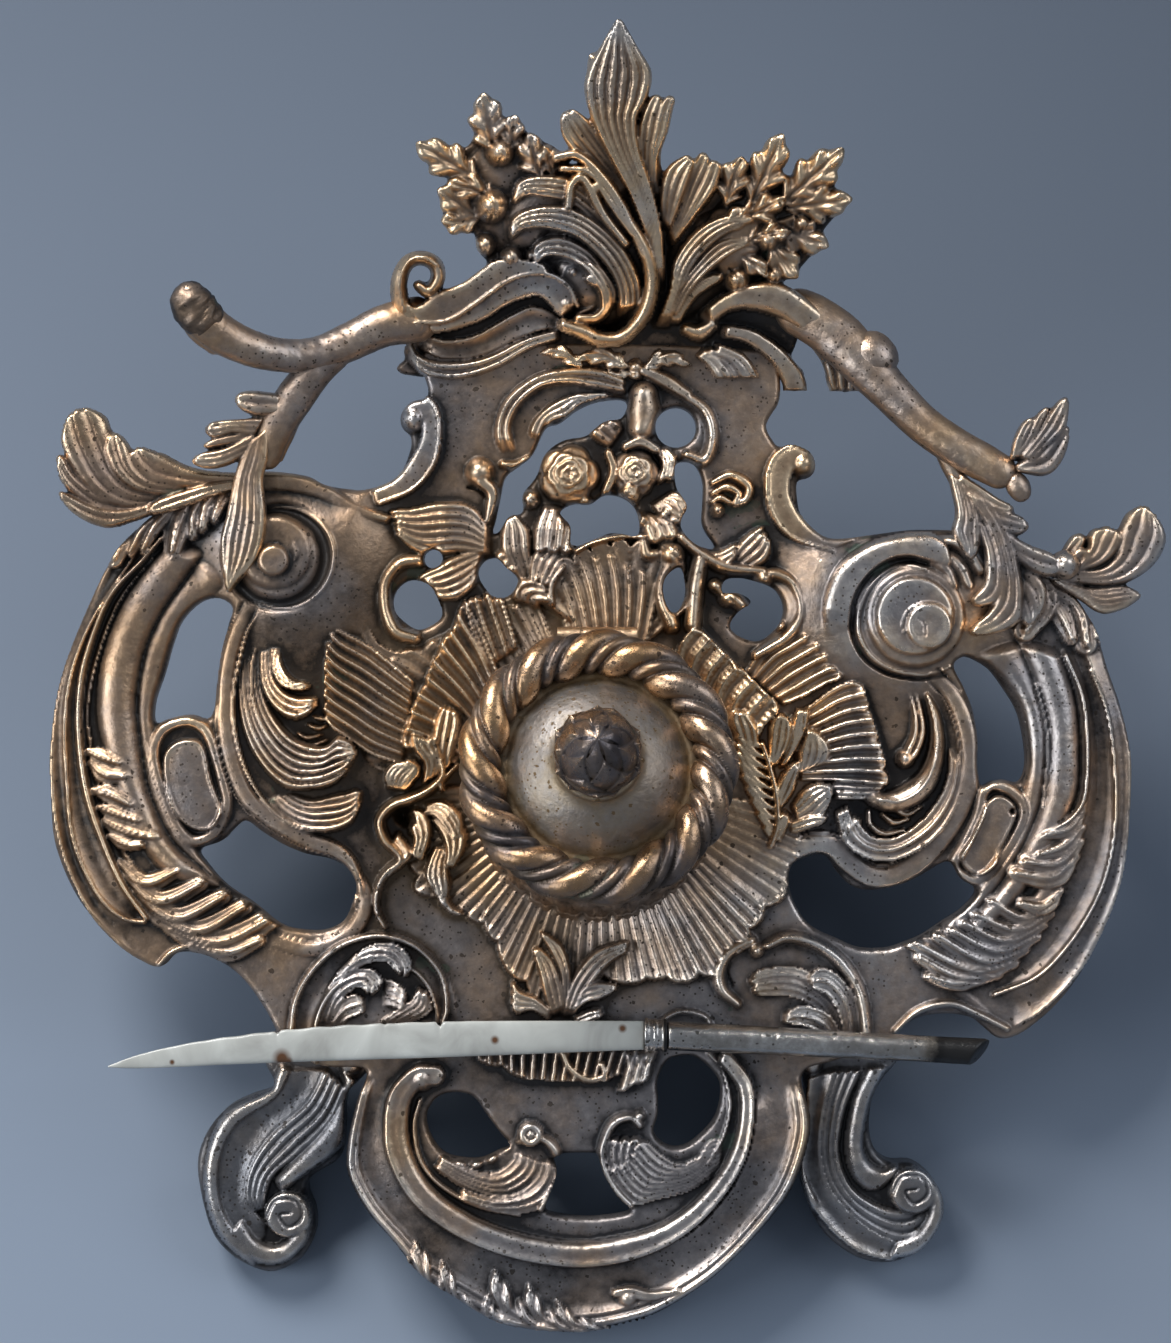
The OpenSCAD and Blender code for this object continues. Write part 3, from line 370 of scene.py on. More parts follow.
    def leaf(self, spine, width, lobes, height, depth, rib, sweep, vein, base, grow=False):
        """An acanthus leaf in relief: lobes sweep forward from a spine to a notched edge."""
        line = smooth(spine, steps=8)
        win = self.window(line, np.max(width) * 1.1)
        d, t = nearest(line, self.u[win], self.v[win])
        half = np.maximum(ramp(width, t) / 2, 1e-4)
        s = np.abs(d) / half
        shift = np.where(d > 0, 0.0, 0.37)
        phase = lobes * t - sweep * s + shift
        lobe = 0.5 + 0.5 * np.cos(2 * np.pi * phase)
        edge = 1 - depth * (1 - lobe ** 0.7)
        x = np.clip(s / np.maximum(edge, 1e-3), 0, 1)
        form = np.sqrt(np.clip(1 - x ** 3, 0, 1))
        form = form * (1 - rib * (1 - lobe) * np.clip(s * 2.2, 0, 1))
        form = form + vein * np.exp(-(s / 0.13) ** 2)
        ok = s < edge
        h = ramp(base, t) + ramp(height, t) * form
        if grow:
            self.room[win] = np.maximum(self.room[win], np.where(ok, (edge - s) * half * 0.8, -1))
        self.h[win] = np.where(ok, np.maximum(self.h[win], h), self.h[win])

    def flow(self, rail_a, rail_b, height, flutes=4, flute=0.4, cross="ridge", lobes=0, ragged=0.12,
             tips=(1.0,), rise=(0.6, 1, 1), base=0.0, base_end=None, belly=0.25, rim=0.0, hair=0.0,
             beads=0.0, root=0.12, step=0.8, grow=False, pinch=0.0):
        """A fluted leaf or shell that runs from a root to ragged tips between two rails."""
        a = smooth(rail_a)
        b = smooth(rail_b)
        length = max(np.linalg.norm(np.diff(a, axis=0), axis=1).sum(),
                     np.linalg.norm(np.diff(b, axis=0), axis=1).sum())
        wide = max(np.linalg.norm(a[0] - b[0]), np.linalg.norm(a[-1] - b[-1]),
                   np.linalg.norm(a[len(a) // 2] - b[len(b) // 2]))
        n = int(length / self.cell * 2.6) + 8
        m = int(wide / self.cell * 2.6) + 8
        a, b = even(a, n), even(b, n)
        t = np.linspace(0, 1, n)[:, None]
        x = np.linspace(0, 1, m)[None, :]
        spot_u = a[:, :1] * (1 - x) + b[:, :1] * x
        spot_v = a[:, 1:] * (1 - x) + b[:, 1:] * x
        close = np.sqrt(1 - 0.97 * np.clip((t - 1 + pinch) / max(pinch, 1e-6), 0, 1) ** 2)
        mid = (a + b) / 2
        spot_u = mid[:, :1] + (spot_u - mid[:, :1]) * close
        spot_v = mid[:, 1:] + (spot_v - mid[:, 1:]) * close
        end = ramp(tips, x)
        if lobes:
            part = (lobes * x) % 1.0
            end = end * (1 - ragged * (1 - np.sqrt(np.clip(1 - (2 * part - 1) ** 2, 0, 1))))
        part = (flutes * x) % 1.0
        index = np.floor(flutes * x)
        q = np.abs(2 * part - 1)
        if cross == "ridge":
            form = np.clip(1 - q * q, 0, 1) ** 0.7
        elif cross == "flute":
            form = q ** 1.7
        elif cross == "double":
            form = 0.95 * q ** 2.2 + 0.45 * np.exp(-(q / 0.28) ** 2)
        else:
            form = 1 + 0 * q
        form = form * (1 - 0.10 * (1 + np.sin(index * 2.6)))
        open_ = np.clip(t / max(root, 1e-3), 0, 1) ** 0.6
        body = 1 - flute * (1 - form) * (0.35 + 0.65 * open_)
        body = body * (1 - belly + belly * np.sqrt(np.clip(1 - (2 * x - 1) ** 4, 0, 1)))
        if hair:
            body = body + hair * np.cos(2 * np.pi * flutes * 3 * x)
        if beads:
            dots = np.clip(np.sin(2 * np.pi * t * length / beads), 0,
                           1) * np.exp(-((q - 0.55) / 0.16) ** 2)
            body = body + 0.16 * dots * (t > 0.05) * (t < 0.96)
        h = ramp(rise, t) * height * body
        lip = np.exp(-((end - t) * length / 1.1) ** 2)
        h = h + rim * lip
        low = base if base_end is None else base + (base_end - base) * t
        near = (end - t) * length
        h = low + h * np.clip(near / step, 0.0, 1) ** 0.35
        h = h * np.clip(t / max(root, 1e-3) + 0.15, 0, 1) ** 0.7
        inside = t <= end
        col = ((spot_u - self.low[0]) / self.cell + 0.5).astype(int)
        row = ((spot_v - self.low[1]) / self.cell + 0.5).astype(int)
        rows, cols = self.h.shape
        good = inside & (col >= 0) & (row >= 0) & (col < cols) & (row < rows)
        cell_ = (row * cols + col)[good]
        total = np.bincount(cell_, weights=h[good], minlength=rows * cols)
        count = np.bincount(cell_, minlength=rows * cols)
        mean = (total / np.maximum(count, 1)).reshape(rows, cols)
        hit = count.reshape(rows, cols) > 0
        self.h = np.where(hit, np.maximum(self.h, mean), self.h)
        if grow:
            span = np.linalg.norm(a - b, axis=1)[:, None] * close
            depth = np.minimum(near, np.minimum(x, 1 - x) * span)
            room = np.bincount(cell_, weights=depth[good], minlength=rows * cols)
            room = (room / np.maximum(count, 1)).reshape(rows, cols)
            self.room = np.where(hit, np.maximum(self.room, room), self.room)

    def disc(self, u, v, radius, height, edge=1.2, dish=0.0):
        """A flat or slightly dished disc with a rounded edge."""
        win = self.window(np.array([[u - radius, v - radius], [u + radius, v + radius]]), 1)
        r = np.hypot(self.u[win] - u, self.v[win] - v)
        x = np.clip((radius - r) / edge, 0, 1)
        h = height * (0.62 + 0.38 * np.sqrt(1 - (1 - x) ** 2)) - dish * (1 - (r / radius) ** 2)
        self.h[win] = np.where(r < radius, np.maximum(self.h[win], h), self.h[win])

    def finger(self, points, width, height, base=0.0, groove=0.22, ribs=0, lean=0.0, grow=False):
        """A rounded lobe along a line, grooved down its middle or ribbed along its length."""
        line = smooth(points)
        win = self.window(line, np.max(width) / 2 + 1)
        d, t = nearest(line, self.u[win], self.v[win])
        half = np.maximum(ramp(width, t) / 2, 1e-3)
        x = d / half
        form = bead(x)
        if ribs:
            form = form * (0.80 + 0.20 * np.cos(np.pi * ribs * (x + 1)))
        else:
            form = form * (1 - groove * np.exp(-(x / 0.3) ** 2))
        form = form + lean * x * bead(x)
        h = ramp(base, t) + ramp(height, t) * form
        self.h[win] = np.where(np.abs(x) < 1, np.maximum(self.h[win], h), self.h[win])
        if grow:
            self.room[win] = np.maximum(self.room[win], half - np.abs(d))

    def rose(self, u, v, radius, height):
        """A rose seen from above: three rings of cupped petals round a tight heart."""
        line = np.array([[u - radius, v - radius], [u + radius, v + radius]])
        win = self.window(line, 1)
        x, y = self.u[win] - u, self.v[win] - v
        r = np.hypot(x, y) / radius
        a = np.arctan2(y, x)
        top = np.zeros(r.shape)
        for size, count, lift, turn in ((1.0, 5, 0.55, 0.0), (0.74, 5, 0.78, 0.6),
                                        (0.48, 4, 0.98, 0.2), (0.24, 3, 1.1, 0.9)):
            wave = np.abs(np.cos(count / 2 * (a + turn)))
            rim = size * (0.84 + 0.16 * wave)
            x2 = np.clip(r / rim, 0, 1)
            petal = lift * (0.62 + 0.38 * x2 ** 3) * np.clip((1 - x2) * 7, 0, 1) ** 0.5
            top = np.maximum(top, np.where(r < rim, petal, 0))
        ball = np.sqrt(np.clip(1 - (r / 0.98) ** 2, 0, 1))
        top = np.where(top > 0, 0.52 * ball + 0.58 * top, 0)
        self.h[win] = np.where(top > 0, np.maximum(self.h[win], top * height), self.h[win])

    # ---- turning the sheet into meshes
    def settle(self, edge_radius=1.3):
        """Rounds the top edge and moves the border places onto the true outline."""
        self.room = blur(np.maximum(self.room, -2 * self.cell), 0.35 / self.cell)
        gv, gu = np.gradient(self.room, self.cell)
        size = np.maximum(np.hypot(gu, gv), 1e-6)
        gu, gv = gu / size, gv / size
        cells = (self.room[:-1, :-1] + self.room[1:, :-1] + self.room[:-1, 1:]
                 + self.room[1:, 1:]) / 4
        self.keep = cells > 0
        near = np.zeros(self.room.shape, int)
        for dv in (0, 1):
            for du in (0, 1):
                near[dv:dv + self.keep.shape[0], du:du + self.keep.shape[1]] += self.keep
        self.rim = (near > 0) & (near < 4)
        shift = np.where(self.rim, -self.room, 0)
        shift = np.clip(shift, -self.cell, self.cell)
        self.pu = self.u + gu * shift
        self.pv = self.v + gv * shift
        d = np.where(self.rim, 0, np.clip(self.room, 0, edge_radius))
        drop = edge_radius - np.sqrt(np.clip(edge_radius ** 2 - (edge_radius - d) ** 2, 0, None))
        self.top = self.h - drop
        # Tone: ridges and the band just inside the rounded edge painted lighter, hollows painted
        # darker; partly rubbing and patina, partly painted highlight and painted shade.
        self.wear_and_painted_light = np.clip((self.h - blur(self.h, 1.3 / self.cell)) / 0.9, -1, 1)
        wide = np.clip((self.h - blur(self.h, 4.0 / self.cell)) / 3.0, -1, 1)
        self.wear_and_painted_light = np.clip(0.7 * self.wear_and_painted_light + 0.45 * wide, -1, 1)
        edge = np.clip(1 - np.abs(self.room - 0.9) / 0.9, 0, 1)
        self.wear_and_painted_light = np.clip(self.wear_and_painted_light + 0.25 * edge, -1, 1)

    def mesh(self, name, where, spot, bottom, body, material, wall=3):
        """The kept cells under a mask, with walls at the casting's own edges and an underside."""
        cells = self.keep & where
        rows, cols = np.nonzero(cells)
        wide = self.u.shape[1]
        corner = np.stack([rows * wide + cols, rows * wide + cols + 1,
                           (rows + 1) * wide + cols + 1, (rows + 1) * wide + cols], 1)
        used, flat = np.unique(corner, return_inverse=True)
        quads = flat.reshape(corner.shape)
        pu, pv = self.pu.ravel()[used], self.pv.ravel()[used]
        top = self.top.ravel()[used]
        wear_and_painted_light = self.wear_and_painted_light.ravel()[used]
        low = bottom(pu, pv) if callable(bottom) else np.full(pu.shape, float(bottom))
        low = np.minimum(low, top - 0.3)
        count = len(used)
        points = [spot(pu, pv, top)]
        # Walls stand where a kept cell has no kept neighbour in the whole casting.
        full = np.pad(self.keep, 1)
        edges = []
        for side, (dr, dc) in enumerate(((-1, 0), (0, 1), (1, 0), (0, -1))):
            open_side = ~full[rows + 1 + dr, cols + 1 + dc]
            edges.append(quads[open_side][:, [side, (side + 1) % 4]])
        edges = np.vstack(edges)
        ring = np.unique(edges)
        where_ring = np.full(count, -1)
        where_ring[ring] = np.arange(len(ring))
        ends = where_ring[edges]
        faces = [quads]
        previous = edges
        base = count
        for k in range(1, wall):
            share = k / wall
            points.append(spot(pu[ring], pv[ring], top[ring] + (low[ring] - top[ring]) * share))
            this = ends + base
            faces.append(np.stack([previous[:, 1], previous[:, 0], this[:, 0], this[:, 1]], 1))
            previous = this
            base += len(ring)
        points.append(spot(pu, pv, low))
        this = edges + base
        faces.append(np.stack([previous[:, 1], previous[:, 0], this[:, 0], this[:, 1]], 1))
        faces.append(quads[:, ::-1] + base)
        tone = np.concatenate([wear_and_painted_light] + [wear_and_painted_light[ring] * 0 - 0.15] * (wall - 1) + [wear_and_painted_light * 0 - 0.5])
        return build(name, np.vstack(points), [np.vstack(faces)], body, material, tone)


def build(name, points, faces, body, material, wear_and_painted_light=None):
    """A Blender mesh from arrays, riding on a body. Its wear_and_painted_light tone says how rubbed
    each point is and how much light or shade is painted on it.
    """
    mesh = bpy.data.meshes.new(name)
    points = np.ascontiguousarray(points, np.float32)
    mesh.vertices.add(len(points))
    mesh.vertices.foreach_set("co", points.ravel())
    loops = np.concatenate([f.ravel() for f in faces])
    sizes = np.concatenate([np.full(len(f), f.shape[1]) for f in faces])
    mesh.loops.add(len(loops))
    mesh.loops.foreach_set("vertex_index", np.ascontiguousarray(loops, np.int32))
    mesh.polygons.add(len(sizes))
    starts = np.concatenate([[0], np.cumsum(sizes)[:-1]])
    mesh.polygons.foreach_set("loop_start", np.ascontiguousarray(starts, np.int32))
    mesh.polygons.foreach_set("use_smooth", np.full(len(sizes), True))
    mesh.update(calc_edges=True)
    mesh.validate()
    for kind, values in (("wear_and_painted_light", wear_and_painted_light), ("grey", grey_and_painted_reflection(points)), ("dust", dustiness(points))):
        if values is not None:
            layer = mesh.attributes.new(kind, "FLOAT", "POINT")
            layer.data.foreach_set("value", np.ascontiguousarray(values, np.float32))
    obj = bpy.data.objects.new(name, mesh)
    bpy.context.scene.collection.objects.link(obj)
    mesh.materials.append(material)
    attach(obj, body)
    return obj


def grey_and_painted_reflection(points):
    """How far the metal is painted steel grey, most at the front right: partly its own tone, partly
    painted cool reflection where the front right lies in shade, with a painted bluish highlight on
    the right shoulder.
    """
    x, y = points[:, 0], points[:, 1]
    # Painted bluish highlight on the right shoulder.
    shoulder_highlight = np.exp(-((x - 0.060) / 0.020) ** 2 - ((y - 0.028) / 0.024) ** 2)
    return np.clip((0.55 * x - y + 0.01) / 0.11 + 0.9 * shoulder_highlight, 0, 1)


def dustiness(points):
    """Ochre polish caught round the well and up to the left of it."""
    r = np.hypot(points[:, 0] - WELL_X + 0.012, points[:, 1] - WELL_Y - 0.008)
    return np.clip(1 - np.abs(r - 0.028) / 0.038, 0, 1)


def grid_faces(rows, cols, round_rows=False):
    """Quads over a grid of points whose columns join up, and whose rows may too."""
    r = np.arange(rows if round_rows else rows - 1)[:, None]
    c = np.arange(cols)[None, :]
    n = (c + 1) % cols
    a = r * cols + c
    b = r * cols + n
    up = ((r + 1) % rows) * cols
    return np.stack([a, b, up + n, up + c], -1).reshape(-1, 4)


def capped(points, rows, cols, ends=None):
    """Points and faces of a tube made of rings, closed by fans of triangles at both ends."""
    if ends is None:
        ends = np.vstack([points[:cols].mean(0), points[-cols:].mean(0)])
    first = np.arange(cols)
    last = (rows - 1) * cols + first
    head = rows * cols
    caps = np.vstack([np.stack([np.roll(first, -1), first, first * 0 + head], 1),
                      np.stack([last, np.roll(last, -1), last * 0 + head + 1], 1)])
    return np.vstack([points, ends]), [grid_faces(rows, cols), caps]


def on_well(x, y, z):
    """Places millimetres from the foot of the well's upright axis."""
    x, y, z = np.broadcast_arrays(x, y, z)
    return np.stack([WELL_X + x * MM, WELL_Y + y * MM, WELL_Z + z * MM], -1)


def turned(name, loop, count, body, material, relief=None, spot=on_well, low=None):
    """A closed loop of (radius, height) spun round an upright axis.

    relief(angle, share, height) gives how far a point is pushed out, and its tone there: how worn
    it is, with painted light and shade.
    """
    angle = np.linspace(0, 2 * np.pi, count, endpoint=False)[None, :]
    r = np.asarray(loop, float)[:, 0][:, None]
    z = np.asarray(loop, float)[:, 1][:, None] + 0 * angle
    share = np.linspace(0, 1, len(loop))[:, None]
    push, wear_and_painted_light = relief(angle, share, z) if relief else (0, 0)
    out = np.maximum(r + push, 0.05) + 0 * angle
    if low is not None:
        z = low(angle, out, z)
    points = spot(out * np.cos(angle), out * np.sin(angle), z).reshape(-1, 3)
    faces = grid_faces(len(loop), count, True)
    return build(name, points, [faces], body, material, (wear_and_painted_light + 0 * out).ravel())


def limb(route, width, thick, knobs=0.0, steps=7, sides=20, wear_and_painted_light=0.0):
    """A rounded limb or leaf finger along a route of true (u, v, w), as points, faces and tone,
    with its upper side painted lighter.
    """
    line = smooth(route, steps=steps)
    line = even(line, max(10, len(line)))
    n = len(line)
    t = np.linspace(0, 1, n)
    run = np.gradient(line, axis=0)
    run = run / np.linalg.norm(run, axis=1)[:, None]
    up = np.array([0.0, 0.0, 1.0]) - run * run[:, 2:3]
    up = up / np.linalg.norm(up, axis=1)[:, None]
    side = np.cross(run, up)
    half = ramp(width, t) / 2
    deep = ramp(thick, t) / 2
    gaps = np.linalg.norm(np.diff(line, axis=0), axis=1)
    along = np.concatenate([[0], np.cumsum(gaps)])
    for near in (along, along[-1] - along):
        x = np.clip(near / np.maximum(half, 1e-3), 0.0, 1)
        cap = np.sqrt(np.clip(1 - (1 - x) ** 2, 0.004, 1))
        half, deep = half * cap, deep * cap
    a = np.linspace(0, 2 * np.pi, sides, endpoint=False)[None, :]
    x = np.cos(a)
    bump = knobs * (np.sin(2.1 * along[:, None] + 3 * a) + np.sin(0.9 * along[:, None] - 2 * a + 1)
                    + 0.6 * np.sin(3.7 * along[:, None] + a))
    across = (half[:, None] + 0.4 * bump) * x
    lift = (deep[:, None] + bump) * np.sin(a)
    points = (line[:, None, :] + side[:, None, :] * across[..., None]
              + up[:, None, :] * lift[..., None]).reshape(-1, 3)
    # The upper side is painted lighter: partly rubbing, partly painted light.
    rub_and_light = wear_and_painted_light + 0.55 * np.sin(a) + 0 * across
    ends = np.vstack([line[:1], line[-1:]])
    return *capped(points, n, sides, ends), np.concatenate([rub_and_light.ravel(), [wear_and_painted_light, wear_and_painted_light]])


def join(name, limbs, body, material):
    """One piece from several limbs."""
    points, faces, limb_tones, base = [], [], [], 0
    for p, f, w in limbs:
        points.append(p)
        faces += [x + base for x in f]
        limb_tones.append(w)
        base += len(p)
    p = np.vstack(points)
    return build(name, place(p[:, 0], p[:, 1], p[:, 2]), faces, body, material,
                 np.concatenate(limb_tones))


# ---------------------------------------------------------------- materials
# Noises of the bronze: scale, detail, roughness.
PATCHES = (45, 5.0, 0.55)
FINE = (420, 6.0, 0.65)
WIDE = (11, 3.0, 0.55)
MOTTLE = (34, 6.0, 0.6)
GRAIN = (260, 5.0, 0.7)
PIT_GATE = (120, 2.0, 0.55)
DAMP = (60, 3.0, 0.55)
PIT_SCALE, PIN_SCALE = 330, 780
COLD_START, COLD_GAIN = -1.75, 4.2         # where the mottling turns the metal steel grey
PALE_GRIT = (0.38, 0.235, 0.105)
GRAIN_GREY = (0.55, 0.53, 0.52)
VERDIGRIS = (0.05, 0.09, 0.06)
RUST = (0.10, 0.045, 0.02, 1)
STEEL_STOPS = [(0.12, (0.022, 0.023, 0.028)), (0.40, (0.20, 0.205, 0.225)),
               (0.66, (0.40, 0.40, 0.42)), (0.95, (0.76, 0.74, 0.73))]
BUMP_DEPTH = 0.0004


def socket_link(tree, a, b):
    tree.links.new(a, b)


def node(tree, kind, **settings):
    """A new node with its settings."""
    n = tree.nodes.new(kind)
    for key, value in settings.items():
        setattr(n, key, value)
    return n


def colour_ramp(tree, factor, stops):
    """A colour that runs through the stops as the factor grows."""
    r = node(tree, "ShaderNodeValToRGB")
    while len(r.color_ramp.elements) < len(stops):
        r.color_ramp.elements.new(0.5)
    for e, (at, colour) in zip(r.color_ramp.elements, stops):
        e.position = at
        e.color = (*colour, 1)
    socket_link(tree, factor, r.inputs["Fac"])
    return r.outputs["Color"]


def bronze(name, recess=(0.030, 0.023, 0.018), ground=(0.290, 0.200, 0.135),
           raised=(0.58, 0.385, 0.240), bright=(0.98, 0.720, 0.460), rough=0.36, reads_attributes=True,
           chill=0.8):
    """Aged bronze: dark in the hollows, pewter brown on the ground, rubbed copper on the ridges;
    the dark hollows are partly patina and partly painted shade, the bright ridges partly rubbing
    and partly painted highlight.
    """
    m = bpy.data.materials.new(name)
    m.use_nodes = True
    t = m.node_tree
    t.nodes.clear()
    out = node(t, "ShaderNodeOutputMaterial")
    shade = node(t, "ShaderNodeBsdfPrincipled")
    socket_link(t, shade.outputs[0], out.inputs[0])
    spot = node(t, "ShaderNodeTexCoord")

    def noise(scale, detail, coarse):
        n = node(t, "ShaderNodeTexNoise")
        n.inputs["Scale"].default_value = scale
        n.inputs["Detail"].default_value = detail
        n.inputs["Roughness"].default_value = coarse
        socket_link(t, spot.outputs["Object"], n.inputs["Vector"])
        return n.outputs["Fac"]

    def cells(scale):
        n = node(t, "ShaderNodeTexVoronoi", feature="F1")
        n.inputs["Scale"].default_value = scale
        socket_link(t, spot.outputs["Object"], n.inputs["Vector"])
        return n.outputs["Distance"]

    def maths(kind, a, b=None, c=None, clamp=False):
        n = node(t, "ShaderNodeMath", operation=kind, use_clamp=clamp)
        for i, x in enumerate((a, b, c)):
            if x is None:
                continue
            if isinstance(x, (int, float)):
                n.inputs[i].default_value = x
            else:
                socket_link(t, x, n.inputs[i])
        return n.outputs[0]

    def blend(factor, a, b, kind="MIX"):
        n = node(t, "ShaderNodeMix", data_type="RGBA", blend_type=kind)
        if isinstance(factor, (int, float)):
            n.inputs[0].default_value = factor
        else:
            socket_link(t, factor, n.inputs[0])
        for at, x in ((6, a), (7, b)):
            if isinstance(x, tuple):
                n.inputs[at].default_value = (*x, 1)
            else:
                socket_link(t, x, n.inputs[at])
        return n.outputs[2]

    if reads_attributes:
        wear_and_painted_light = node(t, "ShaderNodeAttribute", attribute_name="wear_and_painted_light").outputs["Fac"]
        grey = node(t, "ShaderNodeAttribute", attribute_name="grey").outputs["Fac"]
        dust = node(t, "ShaderNodeAttribute", attribute_name="dust").outputs["Fac"]
    else:
        # Without attributes, pointiness paints the hollows darker and the edges lighter: painted
        # shade and painted highlight.
        geometry = node(t, "ShaderNodeNewGeometry")
        wear_and_painted_light = maths("MULTIPLY", maths("SUBTRACT", geometry.outputs["Pointiness"], 0.5), 4.0)
    patches = noise(*PATCHES)
    fine = noise(*FINE)
    wide = noise(*WIDE)
    # The level follows the tone: painted shade in the hollows and painted highlight on the ridges,
    # with patina and rubbing.
    level = maths("MULTIPLY_ADD", wear_and_painted_light, 0.46, 0.46)
    level = maths("ADD", level, maths("MULTIPLY", maths("SUBTRACT", patches, 0.5), 0.60))
    level = maths("ADD", level, maths("MULTIPLY", maths("SUBTRACT", wide, 0.5), 0.45))
    level = maths("ADD", level, maths("MULTIPLY", maths("SUBTRACT", fine, 0.5), 0.45))
    colour = colour_ramp(t, level, [(0.10, recess), (0.36, ground), (0.62, raised), (0.95, bright)])
    mottle = noise(*MOTTLE)
    if reads_attributes:
        cold = maths("MULTIPLY_ADD", mottle, COLD_GAIN, COLD_START)
        # The grey attribute brings painted cool reflection and the painted shoulder highlight into
        # the steel mix.
        cold = maths("MULTIPLY_ADD", grey, 0.50, cold)
        cold = maths("MULTIPLY_ADD", dust, -0.30, cold, clamp=True)
        steel = colour_ramp(t, level, STEEL_STOPS)
        colour = blend(maths("MULTIPLY", cold, chill), colour, steel)
        grit = maths("MULTIPLY", dust, maths("MULTIPLY_ADD", patches, 2.4, -0.85, clamp=True))
        colour = blend(maths("MULTIPLY", grit, 0.60), colour, PALE_GRIT)
    grain = noise(*GRAIN)
    colour = blend(maths("MULTIPLY_ADD", grain, 1.5, -0.45, clamp=True), colour, GRAIN_GREY,
                   "MULTIPLY")
    # Fine dark pits of old casting and tarnish.
    ragged = maths("MULTIPLY_ADD", fine, 0.9, -0.32)
    pit = maths("MULTIPLY", maths("LESS_THAN", cells(PIT_SCALE), ragged),
                maths("GREATER_THAN", noise(*PIT_GATE), 0.50))
    pin = maths("MULTIPLY", maths("LESS_THAN", cells(PIN_SCALE), 0.20),
                maths("GREATER_THAN", mottle, 0.50))
    pit = maths("MAXIMUM", pit, pin)
    colour = blend(maths("MULTIPLY", pit, 0.8), colour, recess)
    # Verdigris in a few hollows.
    green = maths("MULTIPLY", maths("GREATER_THAN", noise(*DAMP), 0.67),
                  maths("LESS_THAN", level, 0.34))
    colour = blend(maths("MULTIPLY", green, 0.35), colour, VERDIGRIS)
    socket_link(t, colour, shade.inputs["Base Color"])
    metal = maths("MULTIPLY_ADD", level, 0.9, 0.42, clamp=True)
    socket_link(t, metal, shade.inputs["Metallic"])
    roughness = maths("MULTIPLY_ADD", fine, 0.30, rough - 0.10)
    roughness = maths("SUBTRACT", roughness, maths("MULTIPLY", level, 0.12))
    roughness = maths("ADD", roughness, maths("MULTIPLY", pit, 0.25), clamp=True)
    socket_link(t, roughness, shade.inputs["Roughness"])
    bump = node(t, "ShaderNodeBump")
    bump.inputs["Strength"].default_value = 0.6
    bump.inputs["Distance"].default_value = BUMP_DEPTH
    surface = maths("SUBTRACT", maths("ADD", fine, maths("MULTIPLY", patches, 1.5)),
                    maths("MULTIPLY", pit, 0.9))
    socket_link(t, surface, bump.inputs["Height"])
    socket_link(t, bump.outputs["Normal"], shade.inputs["Normal"])
    return m


def grained(name, dark, light, scale, rough, metal=0.0, glass=0.0, spots=()):
    """A surface whose colour and gloss wander between two tones, with small rust spots."""
    m = bpy.data.materials.new(name)
    m.use_nodes = True
    t = m.node_tree
    s = t.nodes["Principled BSDF"]
    s.inputs["Metallic"].default_value = metal
    s.inputs["Transmission Weight"].default_value = glass
    s.inputs["IOR"].default_value = 1.5
    where = node(t, "ShaderNodeTexCoord")
    cloud = node(t, "ShaderNodeTexNoise")
    cloud.inputs["Scale"].default_value = scale
    cloud.inputs["Detail"].default_value = 5
    cloud.inputs["Distortion"].default_value = 1.2
    socket_link(t, where.outputs["Object"], cloud.inputs["Vector"])
    colour = colour_ramp(t, cloud.outputs["Fac"], [(0.3, dark), (0.7, light)])
    for x, y, radius in spots:
        flat = node(t, "ShaderNodeVectorMath", operation="MULTIPLY")
        socket_link(t, where.outputs["Object"], flat.inputs[0])
        flat.inputs[1].default_value = (1, 1, 0)
        far = node(t, "ShaderNodeVectorMath", operation="DISTANCE")
        socket_link(t, flat.outputs[0], far.inputs[0])
        far.inputs[1].default_value = (x, y, 0)
        near = node(t, "ShaderNodeMapRange")
        near.inputs["From Min"].default_value = radius * 1.9
        near.inputs["From Max"].default_value = radius * 0.7
        socket_link(t, far.outputs["Value"], near.inputs["Value"])
        mix = node(t, "ShaderNodeMix", data_type="RGBA")
        socket_link(t, near.outputs["Result"], mix.inputs[0])
        socket_link(t, colour, mix.inputs[6])
        mix.inputs[7].default_value = RUST
        colour = mix.outputs[2]
    socket_link(t, colour, s.inputs["Base Color"])
    gloss = node(t, "ShaderNodeMapRange")
    gloss.inputs["To Min"].default_value = rough * 0.75
    gloss.inputs["To Max"].default_value = rough * 1.3
    socket_link(t, cloud.outputs["Fac"], gloss.inputs["Value"])
    socket_link(t, gloss.outputs["Result"], s.inputs["Roughness"])
    return m


# Paper tones, painted darker towards the back and the right: painted shade.
PAPER_PAINTED_SHADE = [(0.0, (0.215, 0.262, 0.335)), (0.5, (0.135, 0.166, 0.217)), (1.0, (0.060, 0.077, 0.106))]
PAPER_NEAR, PAPER_FAR = -0.22, 0.24       # metres, towards the back
PAPER_SLANT = 0.30


